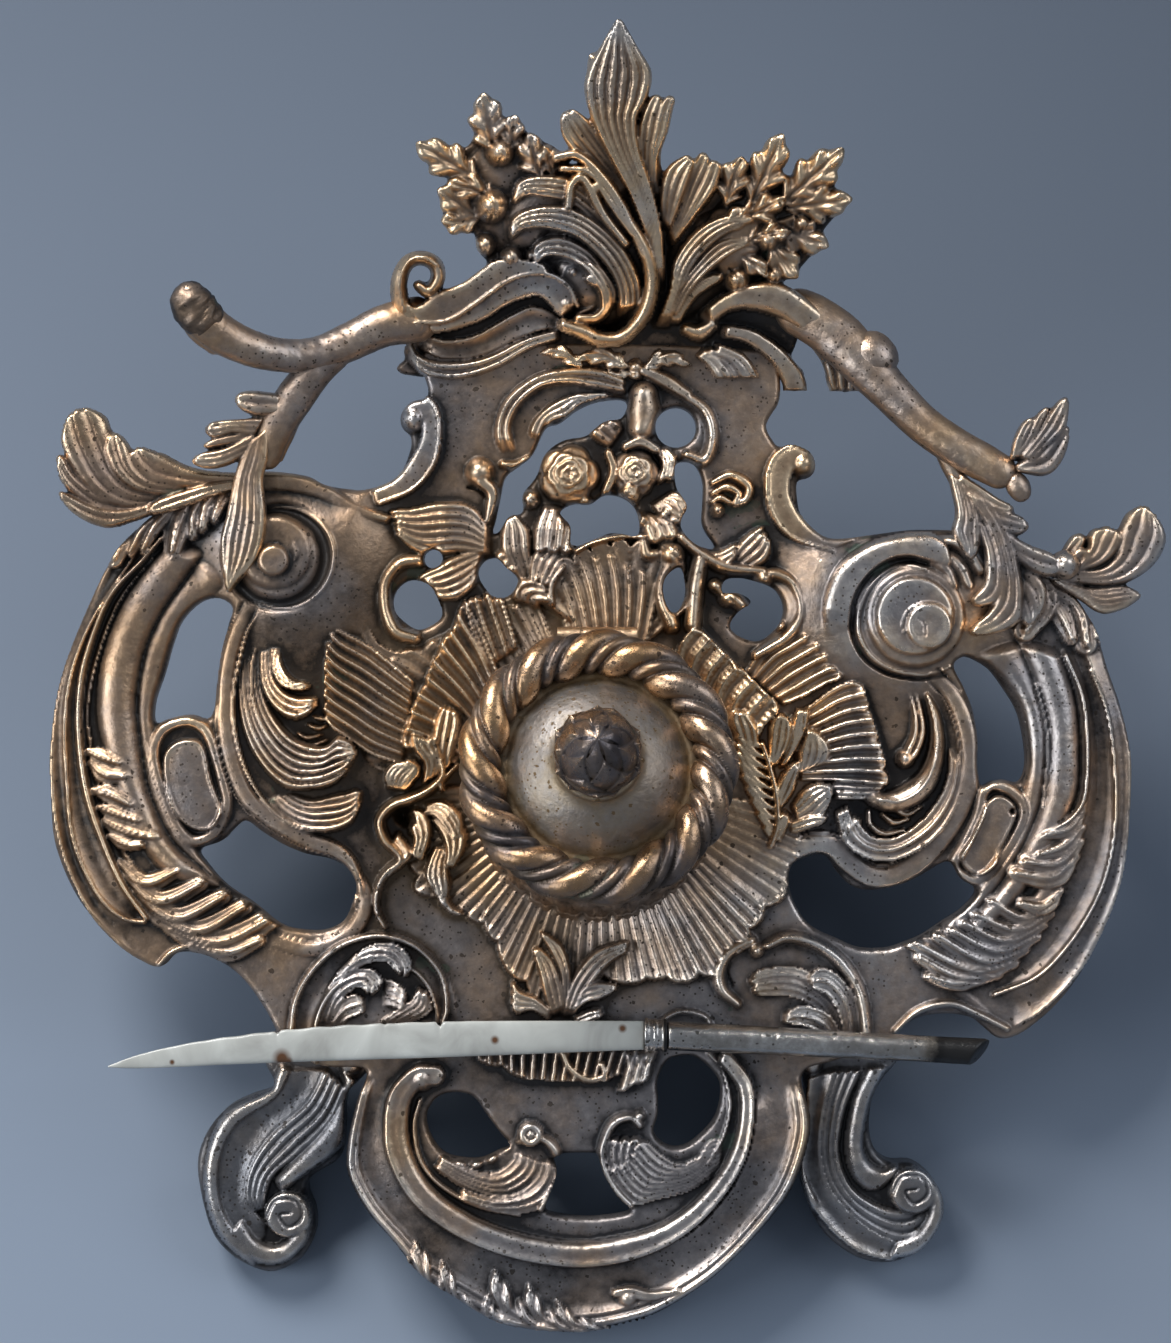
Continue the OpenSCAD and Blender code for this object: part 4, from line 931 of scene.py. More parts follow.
def backdrop(name):
    """Blue-grey paper, painted darker towards the back and the right as painted shade."""
    m = bpy.data.materials.new(name)
    m.use_nodes = True
    t = m.node_tree
    s = t.nodes["Principled BSDF"]
    s.inputs["Roughness"].default_value = 0.85
    where = node(t, "ShaderNodeTexCoord")
    parts = node(t, "ShaderNodeSeparateXYZ")
    socket_link(t, where.outputs["Object"], parts.inputs[0])
    slope = node(t, "ShaderNodeMath", operation="MULTIPLY_ADD")
    slope.inputs[1].default_value = PAPER_SLANT
    socket_link(t, parts.outputs["X"], slope.inputs[0])
    socket_link(t, parts.outputs["Y"], slope.inputs[2])
    share = node(t, "ShaderNodeMapRange")
    share.inputs["From Min"].default_value = PAPER_NEAR
    share.inputs["From Max"].default_value = PAPER_FAR
    socket_link(t, slope.outputs[0], share.inputs["Value"])
    colour = colour_ramp(t, share.outputs["Result"], PAPER_PAINTED_SHADE)
    socket_link(t, colour, s.inputs["Base Color"])
    return m


BRONZE = bronze("bronze")
# A darker copy of the bronze for the feet and legs: painted shade low down.
SHADED_BRONZE = bronze("dark_bronze", ground=(0.155, 0.135, 0.120), raised=(0.32, 0.26, 0.21),
              bright=(0.66, 0.53, 0.40), rough=0.32)
GOLD = bronze("rubbed_bronze", ground=(0.25, 0.155, 0.095), raised=(0.52, 0.325, 0.185),
              bright=(0.92, 0.64, 0.38), rough=0.32, chill=0.3)
# The cast parts take their tone from pointiness: painted shade in hollows, painted highlight on
# edges.
CAST = bronze("cast_back", reads_attributes=False)
PEARL = grained("pearl", (0.30, 0.30, 0.28), (0.50, 0.51, 0.48), 70, 0.24,
                spots=((-0.0719, -0.0773, 0.0013), (-0.0705, -0.0781, 0.0007),
                       (-0.0249, -0.0735, 0.0006), (0.0032, -0.0711, 0.0006),
                       (-0.0962, -0.0779, 0.0004)))
SILVER = bronze("silver", (0.012, 0.011, 0.010), (0.20, 0.178, 0.150), (0.44, 0.41, 0.37),
                (0.85, 0.82, 0.78), 0.26, chill=0.15)
STEEL = grained("screw_steel", (0.10, 0.095, 0.09), (0.24, 0.225, 0.21), 400, 0.42, metal=1.0)
GLASS = grained("liner_glass", (0.80, 0.88, 0.86), (0.92, 0.96, 0.95), 90, 0.05, glass=0.9)

for name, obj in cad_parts.items():
    metal = STEEL if "screw" in name or name in ("hinge_pin", "finial_nut") else CAST
    if name == "ink_liner":
        metal = GLASS
    obj.data.materials.clear()
    obj.data.materials.append(metal)

# ---------------------------------------------------------------- the tray and back frame
CELL = 0.38

TRAY_EDGE = [
    (-45, 67.5), (-50, 66), (-53, 66), (-59, 67), (-63, 69), (-72, 70), (-80, 69), (-89, 65.5),
    (-98, 59.5), (-106, 51), (-113, 37), (-118, 23), (-120, 9), (-120, -3), (-119, -13),
    (-115, -23), (-110, -30), (-104, -36), (-98, -39.7), (-95, -39.8), (-92, -37), (-87, -37),
    (-82, -39), (-77, -43), (-72, -50), (-68, -57), (-60, -62), (-50, -63), (-52, -70),
    (-54, -79), (-54, -86), (-50, -94), (-44, -101), (-38, -108), (-29, -114), (-20, -119),
    (-10, -120.7), (0, -120.8), (8, -119.3), (15, -117), (25, -111), (33, -104), (41, -95),
    (45, -89), (48, -81), (49, -74), (47, -64), (54, -61), (64, -58), (70, -53), (74, -51),
    (80, -50.5), (85, -51.5), (88, -54), (91, -56), (95.5, -55), (102, -50), (108, -43),
    (113, -34), (117, -25), (119, -16), (120, -2), (120, 7), (118, 17), (115, 26), (112, 35),
    (107, 43), (101, 49), (95, 53), (88, 56.5), (80, 57), (71, 57), (63, 56), (55, 55),
    (51, 56), (47, 60), (46, 64), (46, 68), (49, 69), (50, 71), (49, 74), (45, 76), (42, 75.5),
    (40.5, 77), (39, 80), (40, 82.5), (42, 86), (42, 92), (40, 97), (0, 99), (-34, 98),
    (-37, 93), (-36, 88), (-37, 86), (-39.5, 85.5), (-42, 83), (-42, 80), (-40, 78),
    (-40, 75), (-42, 70),
]
CRESCENT_LEFT = [
    (-83, 42), (-87, 41), (-91, 37), (-93, 32), (-95, 25), (-97, 19), (-97, 14), (-94, 15),
    (-89, 16), (-85, 15), (-83.5, 18), (-83, 23), (-82, 30), (-80.5, 36), (-79.5, 40),
]
CRESCENT_RIGHT = [
    (80.5, 27), (83, 29), (86, 28), (89, 26), (92, 22), (95, 17), (96.5, 11), (97, 5),
    (95.5, 1), (92, 1.5), (89, 1), (87, 0), (86, 4), (86, 11), (85, 17), (83, 22),
]
HOLE_LEFT = [
    (-87, -14), (-82, -12), (-79, -9), (-76.5, -7.5), (-73, -10), (-68, -13), (-63, -15),
    (-58, -16), (-54, -18), (-52, -22), (-53, -26), (-55, -30), (-59, -32), (-64, -32),
    (-69, -30.7), (-75, -26), (-81, -22), (-85.5, -17),
]
HOLE_RIGHT = [
    (44, -21), (44.7, -17.5), (47, -16), (51, -15), (53, -16), (55, -19), (58, -22), (62, -23),
    (68, -22), (73, -20), (78, -17), (80.5, -17), (82.5, -20.5), (86, -23), (83, -27),
    (78.5, -30), (74, -33), (70, -34.7), (66, -36), (60, -36), (55, -34), (49, -31), (45.5, -26),
]
APRON_HOLE_LEFT = [
    (-36.5, -73), (-34, -69), (-30, -68), (-26, -69), (-23, -73), (-20, -77), (-17.5, -80),
    (-20, -81), (-25, -83), (-32, -82), (-35.5, -78),
]
APRON_HOLE_MIDDLE = [
    (-8, -82), (1, -81.5), (2, -83), (3, -86), (6, -91), (9, -94.5), (0, -96), (-9, -95),
    (-10, -93), (-7.5, -86),
]
APRON_HOLE_RIGHT = [
    (17, -61), (20, -60), (23, -60), (27, -63), (29, -67), (28, -73), (25, -77), (21, -80),
    (17, -80), (14, -77), (15, -73), (15, -69), (15, -65),
]
FRAME_HOLES = [
    [(8, 86), (2, 86), (-3, 84), (-7, 81), (-10, 80), (-13, 74), (-16, 71.5), (-19, 69),
     (-20, 65), (-21, 60), (-22, 56), (-20, 57), (-18, 60), (-15, 61), (-15, 65), (-12, 69),
     (-10, 74), (-6, 77), (-1, 78), (3, 81), (7, 82)],
    [(-7, 61), (-4.5, 58), (-4.5, 54), (-3, 53.5), (1, 55), (5, 56.5), (10, 55.5), (11, 58),
     (10, 62), (7, 64.5), (3, 65), (0, 63), (-4, 63)],
    [(19, 72), (23, 72), (25, 68), (25, 63), (25, 58), (28, 53), (24, 53.5), (21, 56),
     (20, 59), (21.5, 62), (20.5, 64), (19, 67)],
    [(-40, 46), (-43, 44), (-44, 41), (-43, 38), (-39, 35), (-36, 35.5), (-33, 38), (-34, 42),
     (-36, 45)],
    [(-24, 50), (-25, 47), (-23, 43.5), (-21, 42), (-18, 42.5), (-16, 46), (-19, 49),
     (-21, 51)],
    [(20, 49), (17, 47), (16, 44), (17, 40), (19, 38.5), (21, 42), (21, 46)],
    [(30, 46), (33, 46.5), (36, 46), (41, 44), (43, 40), (42, 36), (38, 32.5), (34, 33),
     (31, 35.5), (33, 39), (36, 41), (33, 43), (29, 43)],
]


# Patches painted lighter or darker: painted light and shade.
PAINTED_LIGHT_PATCHES = [  # u, v, width, height, how much brighter
    (42, 4, 20, 30, 0.75),
    (70, 40, 18, 18, 0.45),
    (60, -42, 34, 14, 0.30),
    (-66, 48, 24, 20, -0.55),
    (-42, 26, 22, 18, 0.30),
]
FRAME_ROUND = (19, 80, 4.6)          # round holes of the back frame: u, v, radius
PANEL_ROUND = (-35, 50.7, 2.2)


def tray_sheet():
    """The whole tray and back frame, drawn in one sheet."""
    s = Sheet((-122, -123), (122, 101), CELL)
    s.add(TRAY_EDGE)
    for hole in (CRESCENT_LEFT, CRESCENT_RIGHT, HOLE_LEFT, HOLE_RIGHT, APRON_HOLE_LEFT,
                 APRON_HOLE_MIDDLE, APRON_HOLE_RIGHT, *FRAME_HOLES):
        s.cut(hole)
    s.cut_round(*FRAME_ROUND)
    s.cut_round(*PANEL_ROUND)
    away = np.hypot(s.u - 2, s.v - 3.5)
    s.h += 1.0 + 1.8 * np.clip((away - 40) / 40, 0, 1) ** 1.3
    borders(s)
    medallions(s)
    shoulders(s)
    inner_rims(s)
    shells(s)
    rocaille(s)
    lower_scrolls(s)
    apron(s)
    back_frame(s)
    s.settle()
    # Painted light and shade in patches.
    for patch in PAINTED_LIGHT_PATCHES:
        s.rub_and_light(*patch)
    return s


def band(s, rail_a, rail_b, height, cross="plain", depth=0.0, fade=0.06):
    """One moulding of the borders, between two rails, dying away at its ends."""
    s.flow(rail_a, rail_b, height, flutes=1, cross=cross, flute=depth, belly=0.0, rise=(1, 1),
           root=fade, step=7.0)


def claws(s, lobes, high, base, lean=0.3):
    """Overlapping acanthus lobes, each higher along one side and rolled over at its tip."""
    for start, middle, tip, wide in lobes:
        s.finger([start, middle, tip], [wide * 0.7, wide * 1.5, wide * 1.3, wide * 0.9],
                 [high * 0.4, high * 0.8, high * 1.1], base=base, ribs=2, lean=lean)
        s.stroke([start, middle, tip], [0.3, 0.7, 0.3], 0.5, soft, "sink")


LEAF_BED_LEFT = ([(-111.9, 11.6), (-110.6, 2.8), (-109.1, -4.6), (-106.6, -12.1), (-101.3, -21.5),
                  (-93.8, -30.2), (-85.1, -36.1), (-76.4, -37.1)],
                 [(-108.8, 10.3), (-103.2, 1), (-100, -5.9), (-96.3, -12.1), (-90.7, -19),
                  (-82.6, -24), (-75.1, -26.5), (-70.1, -27.7)])
LEAF_BED_RIGHT = ([(110.4, -3.3), (109.1, -12.2), (105.9, -19.9), (102.7, -27.5), (97.6, -36.5),
                   (91.2, -42.8), (83.6, -44.4), (75.3, -43.5)],
                  [(102.7, -7.1), (100.2, -11), (96.3, -16.7), (95.1, -22.4), (89.9, -25),
                   (84.8, -27.5), (78.5, -30.7), (71.5, -35.2)])


def borders(s):
    """The mouldings and leaf work of the two sides."""
    border_left(s)
    border_right(s)
    border_flats(s)


def border_left(s):
    """The left border, from its outer edge inwards."""
    e0 = [(-101.3, 55.2), (-106, 50.2), (-111.9, 42.1), (-116.9, 29.6), (-119.7, 15.3), (-120, 5.3),
          (-119.1, -5.9), (-116.3, -17.1), (-111.3, -27.7), (-105.7, -35.2), (-98.2, -40.2)]
    e1 = [(-98.5, 55.2), (-101.9, 50.2), (-109.4, 39), (-113.8, 29.6), (-116.1, 20.3),
          (-116.6, 10.3), (-116.1, 0.3), (-115.3, -9), (-113.1, -16.5), (-108.8, -24.6),
          (-103.8, -29), (-99.1, -30)]
    e2 = [(-95.1, 55.2), (-99.4, 50.2), (-106.6, 42.1), (-111.6, 29.6), (-113.3, 20.3),
          (-113.3, 10.3), (-111.6, -1.5), (-107.8, -12.8), (-103.5, -22.1), (-98.5, -29.1)]
    e3 = [(-93.2, 55.2), (-98.5, 49.6), (-105.3, 39.9), (-110.1, 26.5), (-111.7, 16.6), (-111, 9.7),
          (-109.7, 2.8), (-107.2, -5.9), (-104.1, -13.4), (-99.4, -20.2), (-93.8, -26.5)]
    e4 = [(-91.3, 55.8), (-97.2, 50.2), (-104, 40.2), (-108.2, 29), (-109.3, 19), (-108.9, 12.8),
          (-107.5, 6.6), (-105, -1.5), (-101.9, -9), (-97.6, -15.9), (-91.9, -22.7)]
    e5 = [(-85.1, 53.3), (-88.8, 48.4), (-95.7, 38.4), (-99.4, 29.6), (-101, 19), (-100, 7.8),
          (-98.2, -1.5), (-93.2, -12.1), (-86.3, -18.4), (-80.1, -23.4)]
    e6 = [(-79.5, 47.7), (-83.2, 42.7), (-90.1, 37.8), (-93.8, 29.6), (-96, 20.3), (-96.9, 13.4),
          (-95.1, 2.8), (-90.7, -9.6), (-85.1, -15.9), (-76.4, -23.4)]
    band(s, e0, e1, 4.6, "flute", 0.35)
    band(s, e1, e2, 5.4, "flute", 0.30)
    band(s, e2, e3, 5.0, "flute", 0.35)
    band(s, e3, e4, 4.0, "flute", 0.30)
    band(s, e4, e5, 6.6, "ridge", 0.42)
    band(s, e5, e6, 4.4, "ridge", 0.45)
    s.stroke(e1, [0.8, 1.2, 1.2, 1.4], 5.8, bead, "over")
    s.stroke(e2, [1.2, 1.8, 2.4, 2.8, 1.6], 6.8, bead, "over")
    s.flow(LEAF_BED_LEFT[0], LEAF_BED_LEFT[1], 3.0, flutes=1, cross="plain", base=0.6, root=0.1,
           step=2.0)
    claws(s,
          [((-111.3, 7.8), (-108.2, 6.6), (-104.4, 5.3), 2.8),
           ((-110.6, 5.3), (-107.5, 2.8), (-103.3, 2.3), 3.0),
           ((-110, -0.9), (-106.9, -1.5), (-101.9, -3.9), 3.0),
           ((-108.8, -4.6), (-104.4, -6.2), (-100.2, -7.5), 2.6),
           ((-107.5, -7.8), (-102.5, -9.9), (-96.8, -11.2), 3.6),
           ((-106.6, -10.9), (-102.5, -12.8), (-99.4, -12.9), 2.2)], 2.8, 4.6)
    claws(s,
          [((-104.7, -17.1), (-98.8, -21.5), (-91.3, -18.5), 3.2),
           ((-103.7, -19.6), (-95.7, -25.5), (-86.5, -21.6), 3.8),
           ((-101.3, -23.4), (-91.9, -29.3), (-81.6, -24.5), 4.2),
           ((-97.6, -27.7), (-87, -32.1), (-76.7, -26.6), 4.4),
           ((-93.2, -31.5), (-82, -34.7), (-69.7, -28.5), 5.0),
           ((-88.8, -34.9), (-80.7, -36.8), (-73.5, -34.1), 3.2)], 3.6, 3.4)
    # The pewter acanthus that hangs from the corner leaf.
    claws(s,
          [((-98.1, 61.3), (-102.9, 57), (-105.6, 50.7), 5.0),
           ((-95.2, 61.8), (-99.1, 57.9), (-102, 52.2), 3.0),
           ((-92.3, 62.8), (-96.7, 57.9), (-99.3, 52.6), 2.8),
           ((-89, 64.2), (-91.4, 58.9), (-92.8, 52.4), 5.0),
           ((-85.6, 65.2), (-88, 61.3), (-88.5, 55.8), 3.0),
           ((-82.7, 65.6), (-85.4, 62.8), (-86.3, 57.5), 3.0),
           ((-80.3, 66.4), (-82.2, 63.2), (-83.4, 59.4), 2.6)], 4.2, 3.6)


def border_right(s):
    """The right border, from its outer edge inwards."""
    r0 = [(111.9, 40.1), (117.4, 24.8), (119.9, 10.7), (120, -3.3), (118.6, -17.3), (114.8, -29.4),
          (109.1, -40.3), (100.8, -49.2), (92.5, -54.3)]
    r1 = [(108.4, 34.3), (113.5, 20.3), (116.2, 8.2), (116.7, -3.3), (115.5, -14.8), (112.3, -24.3),
          (105.9, -35.2), (98.9, -42.2), (89.3, -46.1)]
    r2 = [(105.3, 31.8), (109.6, 20.3), (111, 8.2), (110.7, -2), (109.1, -9.7), (105.9, -18),
          (100.8, -27.5), (95.1, -35.8), (88.4, -42.8)]
    r3 = [(104.1, 31.8), (108.1, 20.3), (109.3, 9.5), (109, -0.1), (107, -5.9), (102.7, -16.1),
          (97.6, -25), (91.9, -32), (85.5, -39)]
    r4 = [(103.3, 31.8), (107.3, 20.3), (108.4, 9.5), (108.1, -0.1), (106.2, -5.9), (102.1, -14.1),
          (96.3, -23.1), (89.9, -30.1), (83.6, -37.1)]
    r5 = [(94.4, 34.3), (98.9, 22.8), (101.3, 13.9), (101.4, 5.6), (100.3, -3.3), (97, -11.6),
          (92.5, -19.9), (86.1, -27.5), (79.1, -34.5)]
    r6 = [(84.2, 30.5), (90.6, 25.4), (95.1, 19), (96.8, 12.6), (97.1, 5.6), (96.3, 0.5),
          (93.8, -8.4), (89.9, -16.1), (83.6, -25), (75.3, -32.6)]
    band(s, r0, r1, 4.8, "flute", 0.25)
    band(s, r1, r2, 4.6, "flute", 0.45)
    band(s, r2, r3, 5.6, "ridge", 0.30)
    band(s, r3, r4, 3.4, "plain")
    band(s, r4, r5, 6.4, "ridge", 0.40)
    band(s, r5, r6, 5.2, "ridge", 0.40)
    s.stroke([(111, 26), (114.8, 15.8), (116.4, 3.1), (116.4, -8.4), (114.8, -18), (111.6, -26.3),
              (105.9, -35.2), (98.9, -42.2), (89.6, -46.1)],
             [0.9, 1.1, 1.2, 1.8, 1.6], 5.8, bead, "over")
    s.stroke([(105.3, 29.2), (109.1, 19.7), (110.1, 9.5), (109.8, -0.1), (108.4, -4.7),
              (105.3, -7.9), (100.8, -10.2)], 1.5, 7.0, bead, "over")
    s.stroke([(98.9, 22.8), (101.1, 13.9), (101.4, 5.6), (100.3, -4.6)], 0.7, 5.6, bead, "over")
    s.flow(LEAF_BED_RIGHT[0], LEAF_BED_RIGHT[1], 3.0, flutes=1, cross="plain", base=0.6, root=0.1,
           step=2.0)
    claws(s,
          [((109.1, -5.2), (105.9, -9), (100.7, -10.4), 3.0),
           ((108.8, -9), (104.6, -12.9), (99.2, -14.8), 3.4),
           ((108.4, -12.2), (103.3, -16.7), (96.3, -16.4), 3.8),
           ((107.2, -15.4), (102.1, -19.6), (94.3, -18.9), 4.4),
           ((104, -23.1), (100.2, -26.3), (95.7, -25.6), 3.2)], 3.2, 4.2)
    claws(s,
          [((103.3, -25.6), (96.3, -28.8), (89, -25.3), 3.2),
           ((102.1, -28.2), (94.4, -31.4), (85.5, -28.2), 3.4),
           ((100.5, -30.7), (91.9, -33.9), (82.9, -30.1), 3.4),
           ((98.9, -33.3), (89.9, -36.1), (80.4, -31.7), 3.8),
           ((96.3, -36.1), (87.4, -38.4), (77.2, -32.9), 4.0),
           ((93.8, -39), (84.2, -40.3), (71.1, -33.9), 4.6),
           ((90.6, -41.6), (81.7, -41.9), (73.1, -37.7), 3.6),
           ((86.8, -43.2), (80.4, -43.3), (75, -41.9), 2.8)], 3.6, 3.2)
    # The pewter leaves behind the cluster.
    claws(s,
          [((95.6, 47.8), (99.9, 41.5), (96.5, 34.8), 6.0),
           ((101.3, 44.4), (108.1, 40.1), (110, 31.7), 5.6),
           ((103.8, 43.9), (110, 40.1), (112.4, 33.3), 4.4),
           ((101.8, 42), (104.7, 37.7), (106.6, 32.9), 3.4)], 3.6, 3.2)


def border_flats(s):
    """The broad flats that run from the lower holes to the feet, and their turned-up lips."""
    s.stroke([(-90, -34), (-82, -36), (-76, -41), (-70, -50)], [6, 9, 8, 5], [2.4, 3.0, 2.8, 2.2],
             soft, "over")
    s.stroke([(91, -53), (84, -47), (76, -44), (68, -47), (60, -52)], [5, 9, 9, 8, 4],
             [3.0, 3.2, 2.8, 2.6, 2.2], soft, "over")
    s.stroke([(67.6, -54.3), (72.7, -49.8), (79.7, -48.1), (86.1, -50.5), (92.5, -53.7)],
             [1.6, 2.4, 2.4, 2.0], 5.2, bead, "over")
    s.stroke([(-96, -39.6), (-93.2, -36.8), (-89.4, -35.5), (-85.1, -36.4)], [1.4, 1.8, 1.4], 4.4,
             bead, "over")


MEDALLION_LEFT = [(-98.5, 6.6), (-97.2, 12.2), (-93.8, 15.2), (-88.8, 16.1), (-84.3, 13.4),
                  (-81.8, 7.2), (-80.1, 1), (-79.3, -3.4), (-80.2, -7.5), (-83.2, -11.8),
                  (-88.2, -13.5), (-92.3, -10.6), (-96, -2.8)]
CABOCHON_LEFT = [(-94.9, 6), (-92.7, 9.6), (-88.3, 10.7), (-85.6, 8.6), (-84, 1.6), (-81.8, -4.6),
                 (-83.1, -8.4), (-86.2, -10), (-90.8, -7.8), (-93.8, -2.2)]
MEDALLION_RIGHT = [(86.1, -0.4), (89.4, 1.9), (93.9, 0.5), (97.1, -2.8), (97.7, -6.6),
                   (95.7, -11.6), (92, -17.3), (88, -21.3), (84.2, -22.2), (80.4, -20),
                   (79.4, -16.6), (81.8, -12.1), (84.7, -6)]
CABOCHON_RIGHT = [(87.9, -3.4), (90.6, -1.8), (93.6, -3.2), (94.8, -6), (93.1, -10.4),
                  (90.8, -14.8), (89.9, -17.5), (86.8, -19.6), (83.6, -18.7), (81.9, -15.4),
                  (84.2, -11.6), (86.5, -6.6)]


def medallions(s):
    """A rolled rim round a smooth oval, on each side."""
    for rim, oval in ((MEDALLION_LEFT, CABOCHON_LEFT), (MEDALLION_RIGHT, CABOCHON_RIGHT)):
        win, d = s.distance(rim, 1)
        s.lay(win, np.clip(d / 0.5, 0, 1), 2.4, "level")
        ring = np.where((d > 0) & (d < 2.9), np.clip(1 - np.abs((d - 1.45) / 1.45) ** 4, 0, 1), 0)
        s.lay(win, ring, 2.2, "add")
        win, d = s.distance(oval, 1)
        s.lay(win, np.where(d > 0, np.clip(d / 0.5, 0, 1) ** 0.5, 0), 2.0, "add")
        s.lay(win, np.where(d > 0, np.exp(-((d - 0.5) / 0.4) ** 2), 0), 0.5, "add")
        s.dome(oval, 0.8, 6.0)
    s.stroke([(93.7, -5.4), (93.75, -5.4)], 1.8, 3.0, soft, "sink")


def shoulders(s):
    """The two volutes at the shoulders, on their smooth swelling ground."""
    s.swell([(-46, 70), (-60, 72), (-72, 73), (-88, 68), (-92, 54), (-86, 40), (-77, 30), (-64, 25),
             (-51, 27), (-41, 38), (-38, 56)], 5.4, 17.0)
    s.swell([(44, 62), (64, 62), (80, 61), (99, 54), (99, 36), (90, 21), (73, 14), (56, 15),
             (40, 25), (34, 42)], 5.2, 18.0)
    shoulder_left(s)
    shoulder_right(s)


def shoulder_left(s):
    """A disc in a round groove, under a broad moulding."""
    ring = [(math.cos(k * math.pi / 6), math.sin(k * math.pi / 6)) for k in range(12)]
    s.stroke([(-69.4 + 10.6 * x, 51 + 10.6 * y) for x, y in ring], 4.8, 2.0, soft, "sink",
             closed=True)
    s.disc(-69.6, 52.0, 8.7, 9.2, 2.2, dish=0.3)
    s.disc(-70.0, 50.2, 4.1, 10.8, 1.6)
    s.stroke([(-71.2, 61.7), (-68.3, 61.9), (-64.2, 61.1), (-60.1, 58.6), (-57.5, 55.1),
              (-56.8, 51.3), (-57.8, 46.7), (-60.7, 42.6), (-64.8, 40.2), (-69.4, 39.7),
              (-72.9, 40.6)],
             [1.0, 1.7, 1.9, 1.9, 1.4, 0.8], 0.9, soft, "add")
    s.stroke([(-69.7, 54), (-72.6, 52.5), (-73.6, 49.6), (-72.3, 47.3), (-69.4, 46.7),
              (-66.8, 48.4), (-66.5, 51.3), (-68.3, 53.7)], 0.7, 0.5, soft, "sink")
    s.stroke([(-65.4, 54), (-64.8, 51.9), (-65.4, 50.2)], [0.6, 1.0, 0.6], 0.5, soft, "add")
    s.flow([(-94, 66), (-80, 70), (-70, 70.2), (-60, 68), (-52, 63), (-44, 60)],
           [(-92, 60), (-80, 64), (-70, 65.5), (-61, 64), (-53, 60.4), (-45, 58.6)], 2.2, flutes=1,
           cross="plain", flute=0, belly=0.9, base=4.0, root=0.2)


def shoulder_right(s):
    """A broad roll that ends in three lobes, round a disc with a smaller disc on it."""
    s.flow([(54.1, 24.9), (51.6, 30.5), (51, 36.7), (51.7, 43), (54.7, 49.2), (61, 53.7),
            (67.2, 55.7), (73.5, 56.5), (79.1, 56.1)],
           [(60, 26.7), (58.6, 30.5), (58.6, 36.7), (60.7, 43), (64.5, 47.9), (69.7, 50.2),
            (74.7, 49.5), (78.2, 47.9), (80.4, 46.1)], 4.6, flutes=1, cross="plain", flute=0,
           belly=0.95, base=5.6, root=0.35, rise=(0.5, 0.9, 1, 1), pinch=0.10)
    for line in ([(69.1, 51.6), (74.7, 50.4), (78.5, 48), (80.1, 44.7)],
                 [(72.2, 53), (77.9, 51.6), (81.7, 48.5), (83.5, 44.7)],
                 [(74.7, 54.4), (80.4, 53.9), (83.7, 51.9), (86, 48.2)]):
        s.finger(line, [2.2, 3.6, 4.2, 3.6], [3.0, 4.2, 5.0, 4.6], base=4.6, groove=0.0, lean=0.15)
    s.disc(71.9, 38.0, 11.6, 9.0, 2.0)
    s.stroke([(79.7, 26.7), (76, 25.2), (71.6, 25), (66.6, 26.1), (62.2, 28.9), (59.7, 33),
              (59.2, 37.4), (60.4, 41.7), (62.9, 45.6), (66.6, 48.5), (70.4, 49.2), (74.1, 48.2)],
             [0.8, 1.2, 1.5, 1.7, 1.6, 1.2], 1.0, soft, "add")
    s.stroke([(79.1, 24.9), (76, 24.2), (71.1, 24.1), (65.5, 25.4), (61, 28.4), (58.4, 33),
              (57.9, 38), (59.1, 42.9), (62.1, 47.1), (66.2, 49.9), (70.4, 50.7), (74.5, 49.5)],
             [0.8, 1.4, 1.8, 2.0, 2.0, 1.6], 2.2, soft, "sink")
    s.disc(71.6, 37.9, 9.0, 11.2, 1.3, dish=0.3)
    s.disc(74.6, 35.7, 5.3, 12.8, 0.9, dish=0.4)
    s.stroke([(69.1, 34.2), (68.9, 36.7), (70.1, 39.1), (72.9, 40.6), (76.3, 40.5), (78.8, 38.9)],
             [0.4, 0.8, 0.5], 0.8, soft, "add")
    s.stroke([(72.7, 33.2), (73.8, 33.9), (73.5, 36.1), (72.2, 37.4)], [0.4, 0.8, 0.4], 0.4, soft,
             "sink")


RIM = section([(-1, 2.4), (-0.8, 3.9), (-0.3, 4.4), (0.3, 4.3), (0.62, 3.9), (0.74, 3.1),
               (0.85, 3.9), (1, 2.2)])


def inner_rims(s):
    """The mouldings that bound the ground round the well."""
    s.moulding([(-75.4, 40.7), (-78.9, 33.6), (-80.8, 26.4), (-81.3, 18.7), (-81, 11.5), (-79, 3.2),
                (-75.7, -3.3), (-69.4, -8.4), (-62.9, -12), (-56.9, -14.1), (-53.3, -17.6),
                (-51.8, -23), (-52.7, -27.2)],
               [4.2, 4.6, 4.6, 4.8, 4.6, 4.0, 3.0], 1.0, RIM, ends=(0.05, 0.05))
    s.stroke([(-72.7, 39.5), (-76, 34.7), (-78.3, 26.4), (-79.3, 19.3), (-78.9, 12.1), (-76.8, 4.4),
              (-73.6, -1.6), (-69.4, -6.3), (-64.6, -9.2), (-58.7, -10)], [0.8, 1.0, 0.8], 5.4,
             bead, "over")
    s.moulding([(75.5, 25.4), (80.3, 20.1), (83.5, 12.4), (84.4, 4.7), (82.7, -2), (78.9, -9.2),
                (73.6, -15.5), (67.8, -19.4), (62.5, -19.6), (57.7, -16.5), (53.8, -13.1),
                (49, -12.6), (45.2, -15), (42.8, -19.4)], [4, 5.5, 6, 6, 6, 5], 1.0, RIM,
               ends=(0.05, 0.1))
    s.moulding([(-52, -20), (-50, -26), (-54, -33), (-62, -36), (-72, -33.5)],
               4, 0.8, RIM, ends=(0.15, 0.2))


